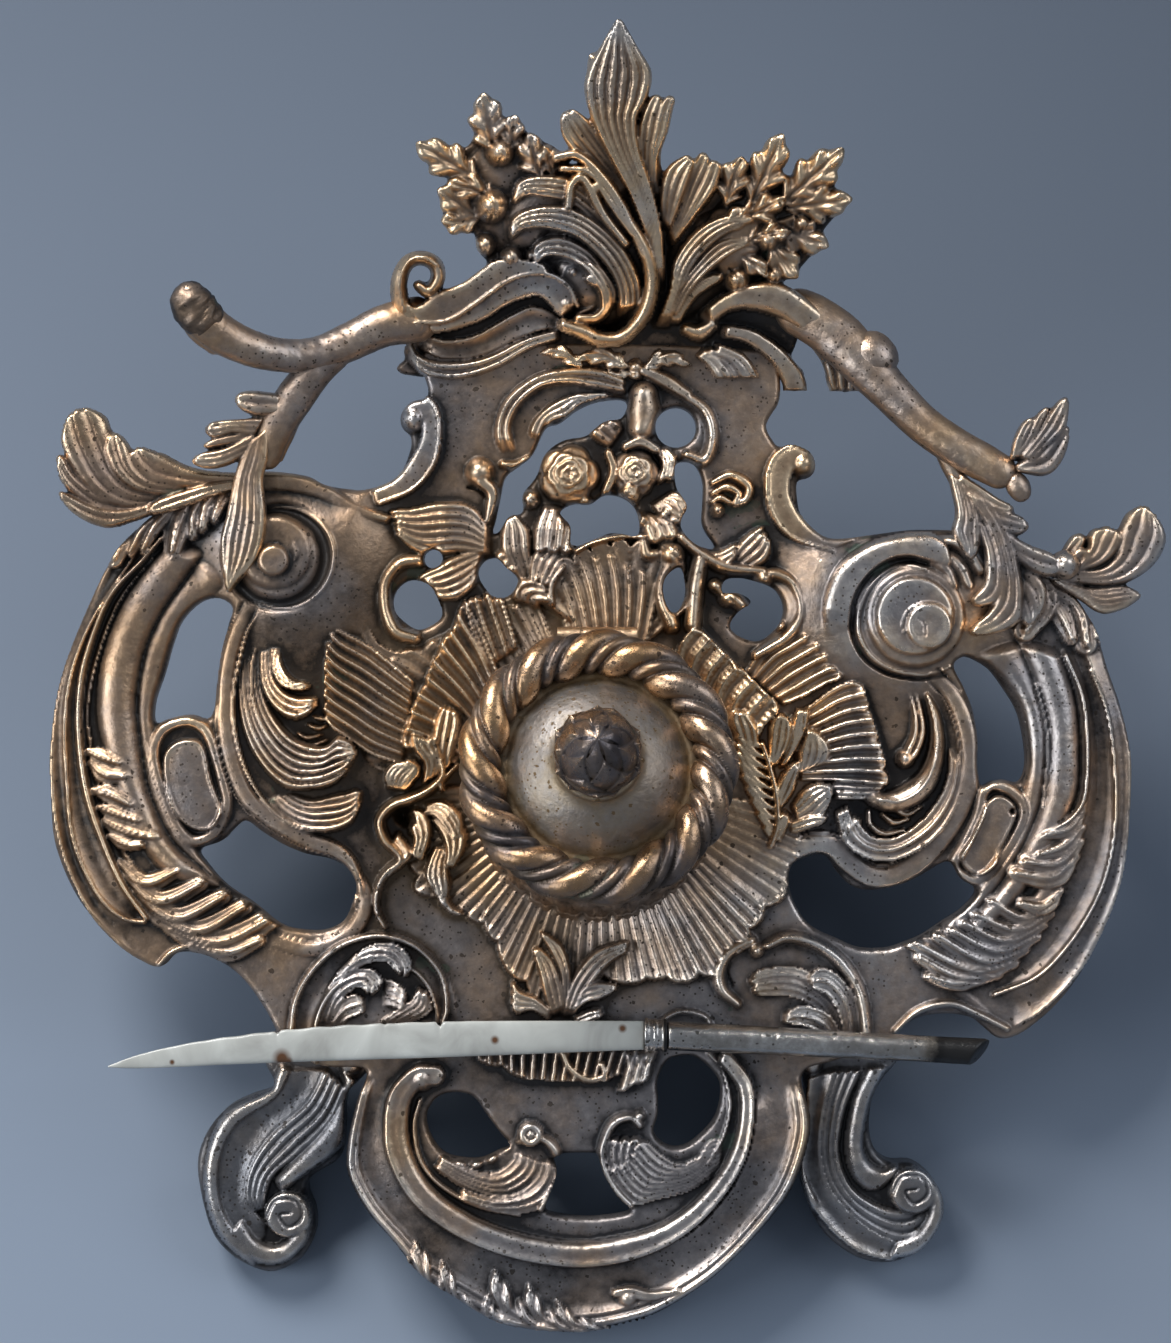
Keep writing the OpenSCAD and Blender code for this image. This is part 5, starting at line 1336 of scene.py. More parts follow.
def ray_shell(s, start, stop, outer, low, high, inner=23.0, centre=(2, 3.5), turn=0.0, **more):
    """A shell whose flutes spread from the well between two angles."""
    def ray(angle, reach):
        out = []
        for k in (0, 0.35, 0.7, 1):
            r = inner + (reach - inner) * k
            a = math.radians(angle + turn * k * k)
            out.append((centre[0] + r * math.cos(a), centre[1] + r * math.sin(a)))
        return out
    big = max(outer)
    s.flow(ray(start, big), ray(stop, big), high - low, base=low, base_end=low + 0.6,
           tips=[(x - inner) / (big - inner) for x in outer],
           **more)


def shells(s):
    """The shells that spread from the well on all sides."""
    beaded = dict(cross="flute", beads=1.3, flute=0.70, rim=0.5, rise=(0.8, 0.95, 1.2), root=0.03)
    # Below the well.
    ray_shell(s, 186, 206, [40, 44, 46, 40], 1.2, 2.6, flutes=6, lobes=3, ragged=0.10, flute=0.5,
              cross="ridge", rise=(0.6, 1, 1), root=0.03)
    ray_shell(s, 202, 234, [46, 51, 47, 43], 1.2, 3.2, flutes=9, lobes=4, ragged=0.10, flute=0.5,
              cross="ridge", rise=(0.6, 1, 1), hair=0.03, rim=0.5, root=0.03)
    ray_shell(s, 228, 262, [40, 46, 51, 55, 54], 1.4, 4.0, flutes=9, lobes=3, ragged=0.09,
              flute=0.55, cross="double", rim=0.6, hair=0.03, root=0.03)
    ray_shell(s, 260, 294, [52, 49, 51, 48], 1.6, 3.8, flutes=9, lobes=3, ragged=0.08, flute=0.5,
              cross="flute", rim=0.5, root=0.03)
    ray_shell(s, 288, 322, [50, 55, 53, 48], 1.4, 4.2, flutes=10, lobes=4, ragged=0.08, flute=0.6,
              cross="ridge", rim=0.7, root=0.03)
    ray_shell(s, 318, 348, [47, 53, 51, 44], 1.6, 4.0, flutes=8, lobes=3, ragged=0.10, flute=0.5,
              cross="double", rim=0.8, root=0.03)
    # Above left: a wide field of flutes, under the beaded shells.
    ray_shell(s, 110, 180, [42, 46, 50, 56, 64, 66, 60, 50], 1.0, 2.8, flutes=17, lobes=8,
              ragged=0.07, flute=0.6, cross="flute", beads=1.3, rim=0.1, rise=(0.8, 0.9, 1.1),
              root=0.02)
    # The fluted cove by the hole, and the two beaded shells.
    s.flow([(-39.6, 28.8), (-45.6, 30.6), (-48.6, 33.6), (-50.4, 39.5), (-48.6, 46.1)],
           [(-48.6, 21.7), (-53.3, 26.4), (-55.7, 33), (-54.8, 39.5), (-51, 46.7)], 2.4, flutes=4,
           cross="double", flute=0.5, base=1.6, root=0.05)
    s.flow([(-39, 22.8), (-48.6, 30.6), (-55.7, 34.7), (-58.4, 38)],
           [(-41.4, 5), (-48.6, 7.4), (-54.5, 11.5), (-59.2, 14.6)], 3.4, flutes=8, lobes=5,
           ragged=0.08, tips=(0.90, 0.98, 1.06, 1.12, 1.04, 0.98), base=2.2, base_end=3.4, **beaded)
    s.flow([(-20.6, 25.2), (-23.6, 33), (-27.1, 40.1), (-28, 43.1)],
           [(-29.5, 5), (-33.1, 6.8), (-39, 8.6), (-42.9, 9.2)], 3.6, flutes=9, lobes=5,
           ragged=0.08, tips=(0.98, 0.95, 1.0, 1.06, 1.02, 1.1, 1.0, 0.96), base=2.6, base_end=3.4,
           **beaded)
    s.flow([(-16.4, 30.6), (-18.2, 37.1), (-20.6, 44.3)], [(-22.4, 26.4), (-26, 34.7), (-28, 41.3)],
           3.0, flutes=3, lobes=2, base=2.4, base_end=4.2, **beaded)
    # Above: the shell behind the well, and the one to its right.
    s.fan((8, 28), (38, 148), 4, [18, 24, 27, 28, 27, 23], 11, 1.8, 4.4, 0.9, 0.08, beads=1.5)
    ray_shell(s, 70, 102, [44, 50, 52, 48], 1.6, 4.6, flutes=8, lobes=4, ragged=0.08, cross="flute",
              flute=0.5, rim=0.7, turn=6, root=0.03)
    s.flow([(19, 27.3), (20.1, 31.6), (23.3, 35.7)], [(35.7, 6.9), (38.4, 13.3), (42.3, 17.6)], 3.6,
           flutes=6, lobes=4, ragged=0.08, tips=(1.0, 1.12, 1.05, 1.1, 1.0), base=2.4, base_end=4.0,
           cross="flute", flute=0.55, rim=0.9, beads=1.5, root=0.03)


def rocaille(s):
    """Leaf and shell work to the left and right of the well."""
    flames_left(s)
    sprig_left(s)
    shells_right(s)
    sprig_right(s)
    comma_right(s)
    leaves_below(s)


def flames_left(s):
    """Flame-like leaves inside the left rim."""
    flame = dict(cross="ridge", flute=0.62, rim=0.4, hair=0.02, rise=(0.3, 0.8, 1.1), root=0.05,
                 pinch=0.16)
    s.flow([(-67, -1.3), (-61.7, -2.8), (-56.9, -1.7), (-53.3, -1), (-50.5, 0.3)],
           [(-73, -2.2), (-68.8, -6.9), (-64, -9.6), (-58.1, -10), (-53.3, -8.1), (-51.2, -4.8)],
           4.8, flutes=5, lobes=4, ragged=0.10, base=1.4, base_end=2.8, **flame)
    s.flow([(-73.5, 30.6), (-73.3, 24), (-71.2, 17.5), (-67, 11.8), (-62.3, 9.4), (-58.1, 9.2),
            (-55.7, 11.5), (-51.8, 11.8)],
           [(-77.9, 30.6), (-78.2, 20.5), (-76.5, 11.5), (-72.7, 4.4), (-67.6, -0.1), (-61.7, -0.4),
            (-55.7, 0.8), (-52.6, 2.9)], 6.4, flutes=6, lobes=3, ragged=0.08,
           tips=(1.0, 1.04, 1.04, 0.96), base=1.2, base_end=3.6, **flame)
    for line in ([(-65.2, 12.1), (-62.9, 10.9), (-59.9, 11.5)],
                 [(-65.8, 10.3), (-62.3, 9.2), (-58.7, 10.3)],
                 [(-62.9, 13.9), (-60.5, 13), (-58.7, 13.6)],
                 [(-61.7, 15.7), (-59.9, 15.1), (-58.1, 15.1)]):
        s.stroke(line, [0.5, 1.3, 0.6], 5.4, bead, "over")
    s.flow([(-70.7, 31.2), (-70.3, 24.6), (-67.6, 21.1), (-64, 19.9), (-60.2, 20.6)],
           [(-73.5, 30.6), (-72.9, 22.8), (-70, 17.5), (-65.8, 15.1), (-61.4, 16.3)], 5.6, flutes=3,
           lobes=2, ragged=0.08, base=2.0, base_end=4.4, **flame)
    s.flow([(-69.3, 31.2), (-68.1, 26.4), (-65.8, 23.7), (-62.6, 23.1)],
           [(-71.1, 31.2), (-70.3, 25.2), (-67.6, 21.9), (-62.1, 21.5)], 4.8, flutes=3, lobes=1,
           ragged=0.04, base=2.8, base_end=4.8, **flame)
    s.stroke([(-74.5, 30.6), (-75.4, 25.2), (-74.8, 18.1), (-71.8, 10.9), (-67, 5.6), (-61.1, 3.8),
              (-55.7, 5)], [0.6, 0.9, 1.0, 0.6], 0.8, soft, "add")


def sprig_left(s):
    """The sprig left of the well, with its curling stem."""
    for a, b, wide in (([(-33.7, 2.6), (-35, 8.6), (-34.3, 14.5), (-32.6, 18.1)],
                        [(-31.6, 3.8), (-30.1, 8.6), (-28.8, 13.9), (-29.8, 16.9)], 3),
                       ([(-37.3, 0.2), (-36.8, 5), (-39, 8.6), (-39.6, 12.1)],
                        [(-33.6, 2.6), (-33, 6.2), (-35, 9.2), (-37.1, 10.9)], 3),
                       ([(-34.3, 2.6), (-35.5, 7.4), (-36.1, 9.7), (-35.4, 11.5)],
                        [(-33.1, 3.2), (-32.8, 6.8), (-33.7, 9.2), (-34.8, 10.9)], 2),
                       ([(-45, -0.4), (-45.6, 2.6), (-43.8, 5), (-39.6, 5.9)],
                        [(-41.4, -1), (-39.6, 0.8), (-37.9, 3.2), (-38.2, 5)], 6)):
        s.flow(a, b, 3.4, flutes=wide, cross="ridge", flute=0.35, base=3.4, base_end=4.6, rim=0.5,
               lobes=wide, ragged=0.12, root=0.05)
    for a, b, wide in (([(-39.6, -4.8), (-36.7, -5.7), (-35.4, -9.3), (-36.1, -12.9),
                         (-37.6, -16.4)],
                        [(-41.4, -6.3), (-40.2, -8.7), (-39, -11.7), (-39.6, -14.7),
                         (-38.2, -15.8)], 3),
                       ([(-36.7, -3.6), (-31.9, -3.6), (-28.6, -6.9), (-28.9, -11.1)],
                        [(-37.3, -5.7), (-34.3, -6.9), (-31.9, -9.9), (-30.1, -12.3)], 4),
                       ([(-33.1, -6.3), (-28, -9.3), (-28, -13.5), (-30.7, -18.2)],
                        [(-35.5, -6.9), (-33.1, -10.5), (-31.9, -14.1), (-31.9, -17.6)], 3),
                       ([(-34.3, -12.9), (-36.1, -17), (-36.5, -20), (-34.8, -23), (-32.5, -26.6)],
                        [(-30.7, -13.5), (-31.6, -17), (-31.3, -21.2), (-31.6, -25.4),
                         (-31.3, -27.2)], 4),
                       ([(-33.1, -20), (-32.8, -24.8), (-31.3, -27.8), (-28, -28.6)],
                        [(-31.6, -19.4), (-31.6, -24.2), (-30.4, -26.6), (-28, -27.9)], 1),
                       ([(-42.9, -9.9), (-40.7, -12.9), (-39.6, -14.7), (-41.1, -17), (-45, -19.7)],
                        [(-44.1, -11.7), (-42.3, -14.1), (-41.7, -15.8), (-43.8, -17.6),
                         (-46.7, -21.2)], 1)):
        s.flow(a, b, 3.6, flutes=max(wide, 1), cross="ridge", flute=0.35, base=3.0, base_end=4.0,
               rim=0.5, lobes=wide, ragged=0.12, root=0.05)
    s.stroke([(-33.1, 6.2), (-32.8, 2.6), (-35.5, -0.4), (-39.6, -2.5), (-44.1, -4.2),
              (-46.7, -7.5), (-45.6, -11.7), (-42.6, -14.7), (-42.3, -16.7), (-45.6, -19.4),
              (-47.4, -23.6), (-47.3, -27.8), (-45.6, -31)],
             [1.4, 2.4, 3.0, 2.8, 2.8, 2.4, 1.8, 1.2], 7.6, bead, "over")
    s.stroke([(-29.5, 5), (-32.8, 1.4), (-33.1, -0.4)], [1.0, 1.6], 7.0, bead, "over")
    s.stroke([(-41.7, -6.6), (-40.8, -7.2)], 5.0, 5.0, soft, "sink")


def shells_right(s):
    """The broad fluted shells right of the well, with their ragged edges."""
    s.flow([(34.6, 25.2), (38.4, 30.6), (42.7, 33.3), (46.7, 36.1)],
           [(42.7, 18.2), (47.5, 20.3), (52.4, 23), (56.7, 24.6)], 3.6, flutes=5, lobes=4,
           ragged=0.09, tips=(0.96, 1.0, 1.02, 0.97, 1.0), base=2.0, base_end=3.2, cross="flute",
           flute=0.6, rim=1.1, root=0.03)
    s.flow([(43.8, 14.4), (49.2, 18.2), (54.5, 21.9), (59.9, 23.8)],
           [(46.5, 1.5), (53.5, 1.5), (59.9, 1.2), (66.7, 0.4)], 4.2, flutes=8, lobes=7,
           ragged=0.07, tips=(0.95, 1.10, 1.02, 1.12, 1.03, 1.06, 1.0, 1.0), base=2.4, base_end=3.8,
           cross="flute", flute=0.6, rim=1.1, root=0.03)
    s.flow([(52.4, 0.9), (56.7, 1.2), (61, 0.9), (66.4, 0.7)],
           [(54, -2.3), (56.7, -2.6), (58.8, -2.6), (61, -2.4)], 3.2, flutes=3, lobes=1,
           ragged=0.05, base=3.0, base_end=3.6, cross="flute", flute=0.5, rim=0.5)


def sprig_right(s):
    """The sprig of leaves right of the well."""
    zoomed = 4.126      # how much larger than the photograph the view was that it was read from
    per_mm = 4.5        # pixels of the photograph in a millimetre of the tray
    for k, reach in enumerate((90, 110, 120, 130, 130, 120, 110, 95, 80, 60)):
        root_u = (690 + (300 + 7.5 * k) / zoomed - 590) / per_mm
        root_v = (786 - 600 - (600 + 42 * k) / zoomed) / per_mm
        span = reach / zoomed / per_mm
        s.finger([(root_u, root_v - 0.4), (root_u - span * 0.55, root_v + span * 0.25),
                  (root_u - span, root_v + span * 0.72)],
                 [0.9, 2.4, 1.3], 2.6, base=3.4, groove=0.25)
    s.flow([(33, 10.6), (31.1, 14.4), (31.9, 17.1)], [(37.6, 7.9), (36.8, 13.3), (33.8, 16.8)], 3.0,
           flutes=3, lobes=2, cross="ridge", flute=0.35, base=3.4, base_end=4.2, rim=0.5,
           ragged=0.12)
    for a, b, wide in (([(40, 4.2), (39.7, 10.1), (40.3, 14.4), (42.3, 16.4)],
                        [(41.1, 4.7), (43.8, 9), (44.6, 12.8), (43.5, 15.7)], 3),
                       ([(42.2, 4.2), (44.3, 9.6), (45.1, 14.4), (45.9, 17.4)],
                        [(43.2, 4.7), (45.9, 9), (47.8, 13.3), (48.3, 17.6)], 3),
                       ([(45.9, 2.6), (46.5, 7.9), (48, 12), (48, 13.1)],
                        [(49.2, 4.2), (52.4, 5.8), (52.9, 9), (49.7, 12.5)], 4),
                       ([(40.8, -5), (41.6, 0.4), (43.8, 4.2), (45.9, 5.8)],
                        [(42.2, -5), (44.8, -1.2), (45.9, 2.6), (46.2, 4.7)], 2),
                       ([(44.8, -4.4), (47.5, -0.7), (50.2, 0.7), (53.5, 0.4)],
                        [(45.9, -8.8), (49.7, -8.2), (52.4, -5), (53.6, -1.2)], 5),
                       ([(41.3, -12), (41.6, -7.7), (42.7, -5.5)],
                        [(42.4, -11.5), (43.8, -8.2), (43.9, -6.1)], 2),
                       ([(43.8, -8.2), (47.5, -6.6), (50.2, -6.1), (52.9, -6.6)],
                        [(44.3, -10.4), (47.5, -9.6), (50.2, -8.5), (51.8, -7.9)], 2)):
        s.flow(a, b, 3.4, flutes=wide, cross="ridge", flute=0.35, base=3.2, base_end=4.6, rim=0.5,
               lobes=wide, ragged=0.12, root=0.05)
    s.stroke([(40, -13.1), (41.5, -8.2), (41.2, -1.8), (39.7, 4.7), (38.1, 9.6)], [1.8, 1.8, 1.2],
             7.2, bead, "over")


def comma_right(s):
    """The silver comma inside the right rim, and the cream scroll under it."""
    s.flow([(80.1, 11.2), (79.3, 1.5), (75.5, -5.5), (70.7, -9.8), (66.4, -11.7), (62.3, -11.2),
            (59.9, -8.8), (59.4, -6.1)],
           [(83.4, 7.9), (82, -1.8), (77.7, -9.8), (72.3, -14.1), (66.9, -16.2), (62.1, -15.9),
            (57.8, -13.6), (54.6, -10.4)], 4.6, flutes=2, lobes=3, ragged=0.10, cross="flute",
           flute=0.4, base=2.0, base_end=3.4, rim=1.0, rise=(0.4, 0.9, 1))
    s.flow([(62.1, -12.5), (59.4, -10.4), (58.3, -7.7), (57, -4.2)],
           [(59.9, -14.7), (56.7, -12.5), (55, -8.8), (54.5, -5.5)], 3.6, flutes=3, lobes=3,
           cross="ridge", flute=0.4, base=3.0, base_end=4.0, rim=0.7, ragged=0.12)
    for line in ([(59.7, -7.4), (60.2, -10.4), (63.2, -12.5), (68, -12.5)],
                 [(61.8, -5.4), (62.3, -8.5), (65.3, -10.4), (69.6, -9.6)],
                 [(64.8, -6.1), (67.5, -7.9), (70.7, -7.1)],
                 [(67.5, -5), (70.2, -6.1), (73.4, -4.4)]):
        s.stroke(line, [0.9, 1.6, 0.8], 5.8, bead, "over")
    for line in ([(71.7, 22.8), (73.1, 17.6), (73.7, 12.2), (72, 7.4), (69.6, 5.2)],
                 [(70.7, 21.9), (72, 16.6), (72, 11.7), (70.4, 7.9)]):
        s.stroke(line, [0.8, 1.8, 2.4], [4, 5.8, 6.6], bead, "over")
    s.boss(69.9, 6.3, 2.4, 7.4)
    s.flow([(73.1, 23), (75.3, 15.5), (75.3, 9), (73.1, 3.6), (69.1, 0.1), (65.3, -1.3),
            (64.3, 0.1)],
           [(74, 23), (77.7, 16), (78.5, 7.9), (76.5, -0.1), (71.5, -4.7), (65.3, -5.4),
            (60, -2.6)], 6.6, flutes=1, cross="ridge", flute=0.55, base=1.6, base_end=2.2,
           rise=(0.5, 1, 0.9), belly=0.5, root=0.1, step=3.0)
    s.stroke([(74.7, 20.9), (76.4, 13.3), (76.1, 5.8), (73.4, -0.1), (68.5, -3.1), (63.2, -2.6)],
             [0.6, 1.6, 1.2], 1.0, soft, "add")


def leaves_below(s):
    """The leaves under the well."""
    for a, b, wide in (([(-6.7, -51.5), (-6.4, -42.8), (-8.7, -37), (-11.3, -32)],
                        [(-5, -48.6), (-4.4, -41.6), (-6.4, -35.2), (-10.8, -32.2)], 2),
                       ([(-7.9, -51.5), (-9.9, -47.4), (-11.3, -41.6), (-12.8, -35.8)],
                        [(-5.8, -50.3), (-6.1, -44.5), (-8.2, -38.7), (-11.9, -35.5)], 3),
                       ([(-8.7, -52.1), (-12.8, -49.7), (-16.3, -50.3), (-17.4, -48.6)],
                        [(-7.9, -50.3), (-12.2, -46.8), (-15.7, -45.1), (-17.4, -42.8)], 3),
                       ([(-6.4, -51.5), (-4.1, -42.8), (1.1, -36.4), (8.7, -34)],
                        [(-4.1, -51.5), (0, -44.5), (4.1, -39.3), (8.1, -36.4)], 3),
                       ([(-5, -49.7), (-1.8, -44.5), (1.7, -43.3), (6.1, -44.2)],
                        [(-4.4, -50.9), (-1.2, -48), (2.3, -47.1), (5.8, -44.8)], 3),
                       ([(-4.1, -51.5), (-0.6, -49.7), (2.3, -49.2)],
                        [(-3.5, -53.2), (0, -52.1), (2.9, -50.9)], 2)):
        s.flow(a, b, 3.8, flutes=wide, cross="ridge", flute=0.4, base=2.4, base_end=3.0, rim=0.6,
               lobes=wide, ragged=0.1)


SCROLL = section([(-1, 2.0), (-0.86, 5.2), (-0.7, 5.0), (-0.55, 3.4), (0, 2.6), (0.5, 2.6),
                  (1, 2.4)])


def lower_scrolls(s):
    """The two C-scrolls below the well, filled with leaves."""
    s.moulding([(-32, -52.6), (-32.3, -48.6), (-34, -43.3), (-37.8, -38.7), (-43, -36.1),
                (-49.4, -35.8), (-55.2, -38.7), (-60.4, -43.9), (-63.4, -49.7), (-64.2, -55.5),
                (-63.9, -63.1)], [5, 6, 7, 8, 8, 7], 1.0, SCROLL, ends=(0.05, 0.02))
    s.stroke([(-32.8, -52.6), (-31.9, -48.6), (-33.1, -41.9), (-37.5, -36.4), (-43.3, -33.5),
              (-49.4, -33.2), (-56.4, -35.8), (-62.2, -41.3), (-65.4, -47.4), (-66.4, -53.8)],
             [1.2, 1.6, 1.8, 1.6], 6.4, bead, "over")
    leaves = (([(-61, -53.8), (-58.1, -44.5), (-52.9, -38.1), (-47.7, -34.9), (-42.4, -35.5),
                (-39.8, -39.3), (-40.4, -42.5)],
               [(-58.1, -53.8), (-56.4, -43.9), (-52.3, -39.9), (-47.7, -38.7), (-44.8, -39),
                (-43, -41.6)], 3, 5.6),
              ([(-61.9, -54.4), (-58.1, -44.5), (-53.5, -41), (-48.8, -40.6), (-46.5, -43.3),
                (-48.2, -46.3)],
               [(-58.1, -53.8), (-55.8, -48), (-52.3, -44.5), (-50.6, -44.5), (-50, -45.7)], 3,
               5.4),
              ([(-59.3, -53.8), (-56.4, -48.6), (-52.9, -46.3), (-50, -47.4)],
               [(-56.4, -54.4), (-54.1, -51.5), (-51.2, -50.3), (-50, -49.2)], 2, 4.4),
              ([(-47.7, -53.2), (-43, -49.7), (-39.5, -47.4), (-38.4, -44.5)],
               [(-43, -53.8), (-39.5, -52.1), (-35.5, -49.7), (-36, -45.7)], 4, 3.6),
              ([(-46.5, -42.8), (-43, -43.9), (-40.7, -46.3)],
               [(-46.5, -48.6), (-44.2, -48.6), (-41.3, -49.7)], 3, 3.2))
    for a, b, wide, high in leaves:
        s.flow(a, b, high, flutes=wide, cross="double", flute=0.5, base=1.6, base_end=2.4, rim=0.6,
               lobes=2, ragged=0.08, rise=(0.3, 0.9, 1))
    s.stroke([(35.7, -34.3), (31, -36.6), (28.6, -40.8), (29.2, -45), (32.7, -48.3)],
             [3.0, 3.4, 3.4, 2.4], 5.0, bead, "over")
    s.stroke([(35.1, -34.9), (32.2, -36.9), (30.4, -40.8), (31.6, -44.4)], 0.8, 1.0, soft, "sink")
    s.boss(37, -36.3, 1.9, 6.4)
    s.stroke([(39.3, -35.2), (43.8, -33.4), (50, -34.9), (55.4, -38.7), (59.2, -44.4),
              (60.7, -50.3), (61, -57.5), (60.1, -67), (57.2, -73)],
             [2.4, 3.4, 3.6, 3.2, 2.4], [6.4, 6.6, 6.0], bead, "over")
    leaves = (([(59.5, -56.3), (56.6, -48), (51.2, -43.2), (45.2, -40.2), (38.1, -40.8),
                (35.1, -42.6)],
               [(53.6, -56.3), (51.2, -50.3), (47.6, -47.4), (42.9, -46.2), (39.3, -46.2),
                (36.3, -46.2)], 4, 3.6),
              ([(59.8, -56.3), (59.5, -49.1), (56, -43.2), (51.8, -40.5), (47.9, -42.3)],
               [(56.6, -56.3), (55.4, -50.3), (53, -46.2), (50.6, -45), (48.8, -43.8)], 2, 6.0),
              ([(56, -56.3), (53, -50.9), (47.6, -48.9), (42.9, -50.3)],
               [(52.4, -56.3), (50, -53.9), (46.4, -52.7), (42.9, -52.4)], 2, 6.0))
    for a, b, wide, high in leaves:
        s.flow(a, b, high, flutes=wide, cross="double", flute=0.5, base=1.6, base_end=2.2, rim=0.5,
               lobes=2, ragged=0.06, rise=(0.4, 0.9, 1))


APRON_BAND = section([(0, 1.0), (0.06, 4.6), (0.13, 5.4), (0.2, 4.4), (0.25, 5.0), (0.30, 4.4),
                      (0.4, 3.6), (0.6, 3.4), (0.8, 3.9), (0.95, 4.8), (1, 5.0)])


def apron(s):
    """The double scroll at the front, with shells and small leaves inside and on it."""
    apron_band(s)
    apron_shell(s)


def apron_band(s):
    """The band itself, and the leaf work inside its two loops."""
    s.between([(-50, -63), (-52, -70), (-54, -79), (-54, -86), (-50, -94), (-44, -101),
               (-38, -108), (-29, -114), (-20, -119), (-10, -120.7), (0, -120.8), (8, -119.3),
               (15, -117), (25, -111), (33, -104), (41, -95), (45, -89), (48, -81), (49, -74),
               (47, -64)],
              [(-36, -62), (-40, -65), (-44, -69), (-45, -75), (-44.5, -82), (-41, -89),
               (-36, -94.5), (-29, -99), (-22, -103), (-12, -105), (0, -106), (12, -103.5),
               (22, -99), (29.5, -91.5), (34.5, -83), (36.5, -74), (36, -67), (33, -61)],
              1.0, APRON_BAND, (0.03, 0.03))
    s.moulding([(-34.6, -64.2), (-38.4, -64.6), (-42, -68.6), (-43, -74.5), (-42.2, -81.5),
                (-38, -89.5), (-31, -95.5), (-22, -100), (-11, -102.9), (0, -103.6), (12, -101.2),
                (21, -96.5), (28, -89.5), (32.8, -81.5), (34.6, -73), (34, -66), (30, -60.5)],
               [5, 5.6, 6, 6, 6, 6, 6, 6, 5, 4.4, 4, 3.6, 3.6], 1.0,
               section([(-1, 3.6), (-0.8, 5.6), (-0.4, 6.6), (0.2, 6.6), (0.7, 7.0), (0.86, 6.8),
                        (1, 4.6)]), edge=0.10)
    s.boss(-37.5, -64.6, 3.6, 7.4)
    s.stroke([(-37.8, -69.5), (-39.1, -74.7), (-38.4, -81.1), (-36, -85.8), (-31.4, -89.8),
              (-24.4, -93.3), (-15.7, -95.1)], [1.2, 1.6, 1.6, 1.2], 5.2, bead, "over")
    s.stroke([(26.2, -59), (29.5, -63.4), (31, -70.6), (29.5, -77.7), (26.2, -83.7)],
             [1.6, 2.0, 1.6], 4.6, soft, "over")
    for a, b, wide, high in (([(-8.2, -81.1), (-10.5, -88.1), (-17.4, -92.2), (-26.7, -89.8),
                               (-34.9, -84.6)],
                              [(-16.9, -79.4), (-16.9, -82.9), (-20.9, -85.8), (-26.2, -85.2),
                               (-33.1, -81.7)], 5, 4.4),
                             ([(-7.3, -81.1), (-6.4, -86.9), (-10.5, -93.3), (-19.8, -94.5),
                               (-29.1, -91.6)],
                              [(-10.5, -81.1), (-11.1, -86.3), (-15.1, -89.8), (-22.1, -91),
                               (-29.1, -89.3)], 3, 5.4)):
        s.flow(a, b, high, flutes=wide, cross="double", flute=0.5, base=1.4, base_end=2.0, rim=0.4,
               lobes=3, ragged=0.06, belly=0.4)
    for points in ([(-32.3, -82.6), (-32.1, -82.9)], [(-29.1, -83.7), (-28.7, -83.9)],
                   [(-25.5, -83.9), (-25.1, -83.7)], [(-22.1, -82.6), (-21.7, -82.3)],
                   [(-18.9, -80.2), (-18.6, -80)]):
        s.stroke(points, 3.2, 4.6, bead, "over")
    s.stroke([(-15.7, -78.5), (-11.1, -77.9), (-7.9, -80.5), (-6.7, -85.2), (-7.9, -88.7),
              (-11.1, -93.6)], [2.4, 3, 2.8, 2.2], 6.2, bead, "over")
    s.disc(-13.3, -77, 2.9, 7.0, 1.0)
    s.stroke([(-13.3, -76), (-12.2, -77), (-13.3, -78.1), (-14.3, -77)], 0.7, 1.2, soft, "sink",
             closed=True)
    for a, b, wide, high in (([(31, -78.9), (26.8, -78.9), (23.8, -82.5), (19.6, -84),
                               (15.5, -81.9), (11.3, -77.7)],
                              [(31, -82.5), (27.4, -86.1), (22, -89.6), (14.9, -91.4), (9.5, -92.3),
                               (3.6, -85.5)], 8, 4.6),
                             ([(8.9, -92.3), (5.4, -87.3), (3.6, -81.9), (4.2, -77.7)],
                              [(14.9, -90.8), (11.3, -87.3), (9.8, -82.5), (11.3, -77.7)], 4, 5.0)):
        s.flow(a, b, high, flutes=wide, cross="double", flute=0.5, base=1.4, base_end=2.2, rim=0.6,
               lobes=3, ragged=0.08)
    s.stroke([(8.9, -92.9), (4.8, -88.4), (2.5, -82.5), (3.6, -77.1), (5.7, -74.2), (8.9, -73.3),
              (11, -75)],
             [2.0, 2.2, 2.6, 2.8, 2.2], 6.4, bead, "over")
    s.boss(11, -73, 1.6, 6.0)


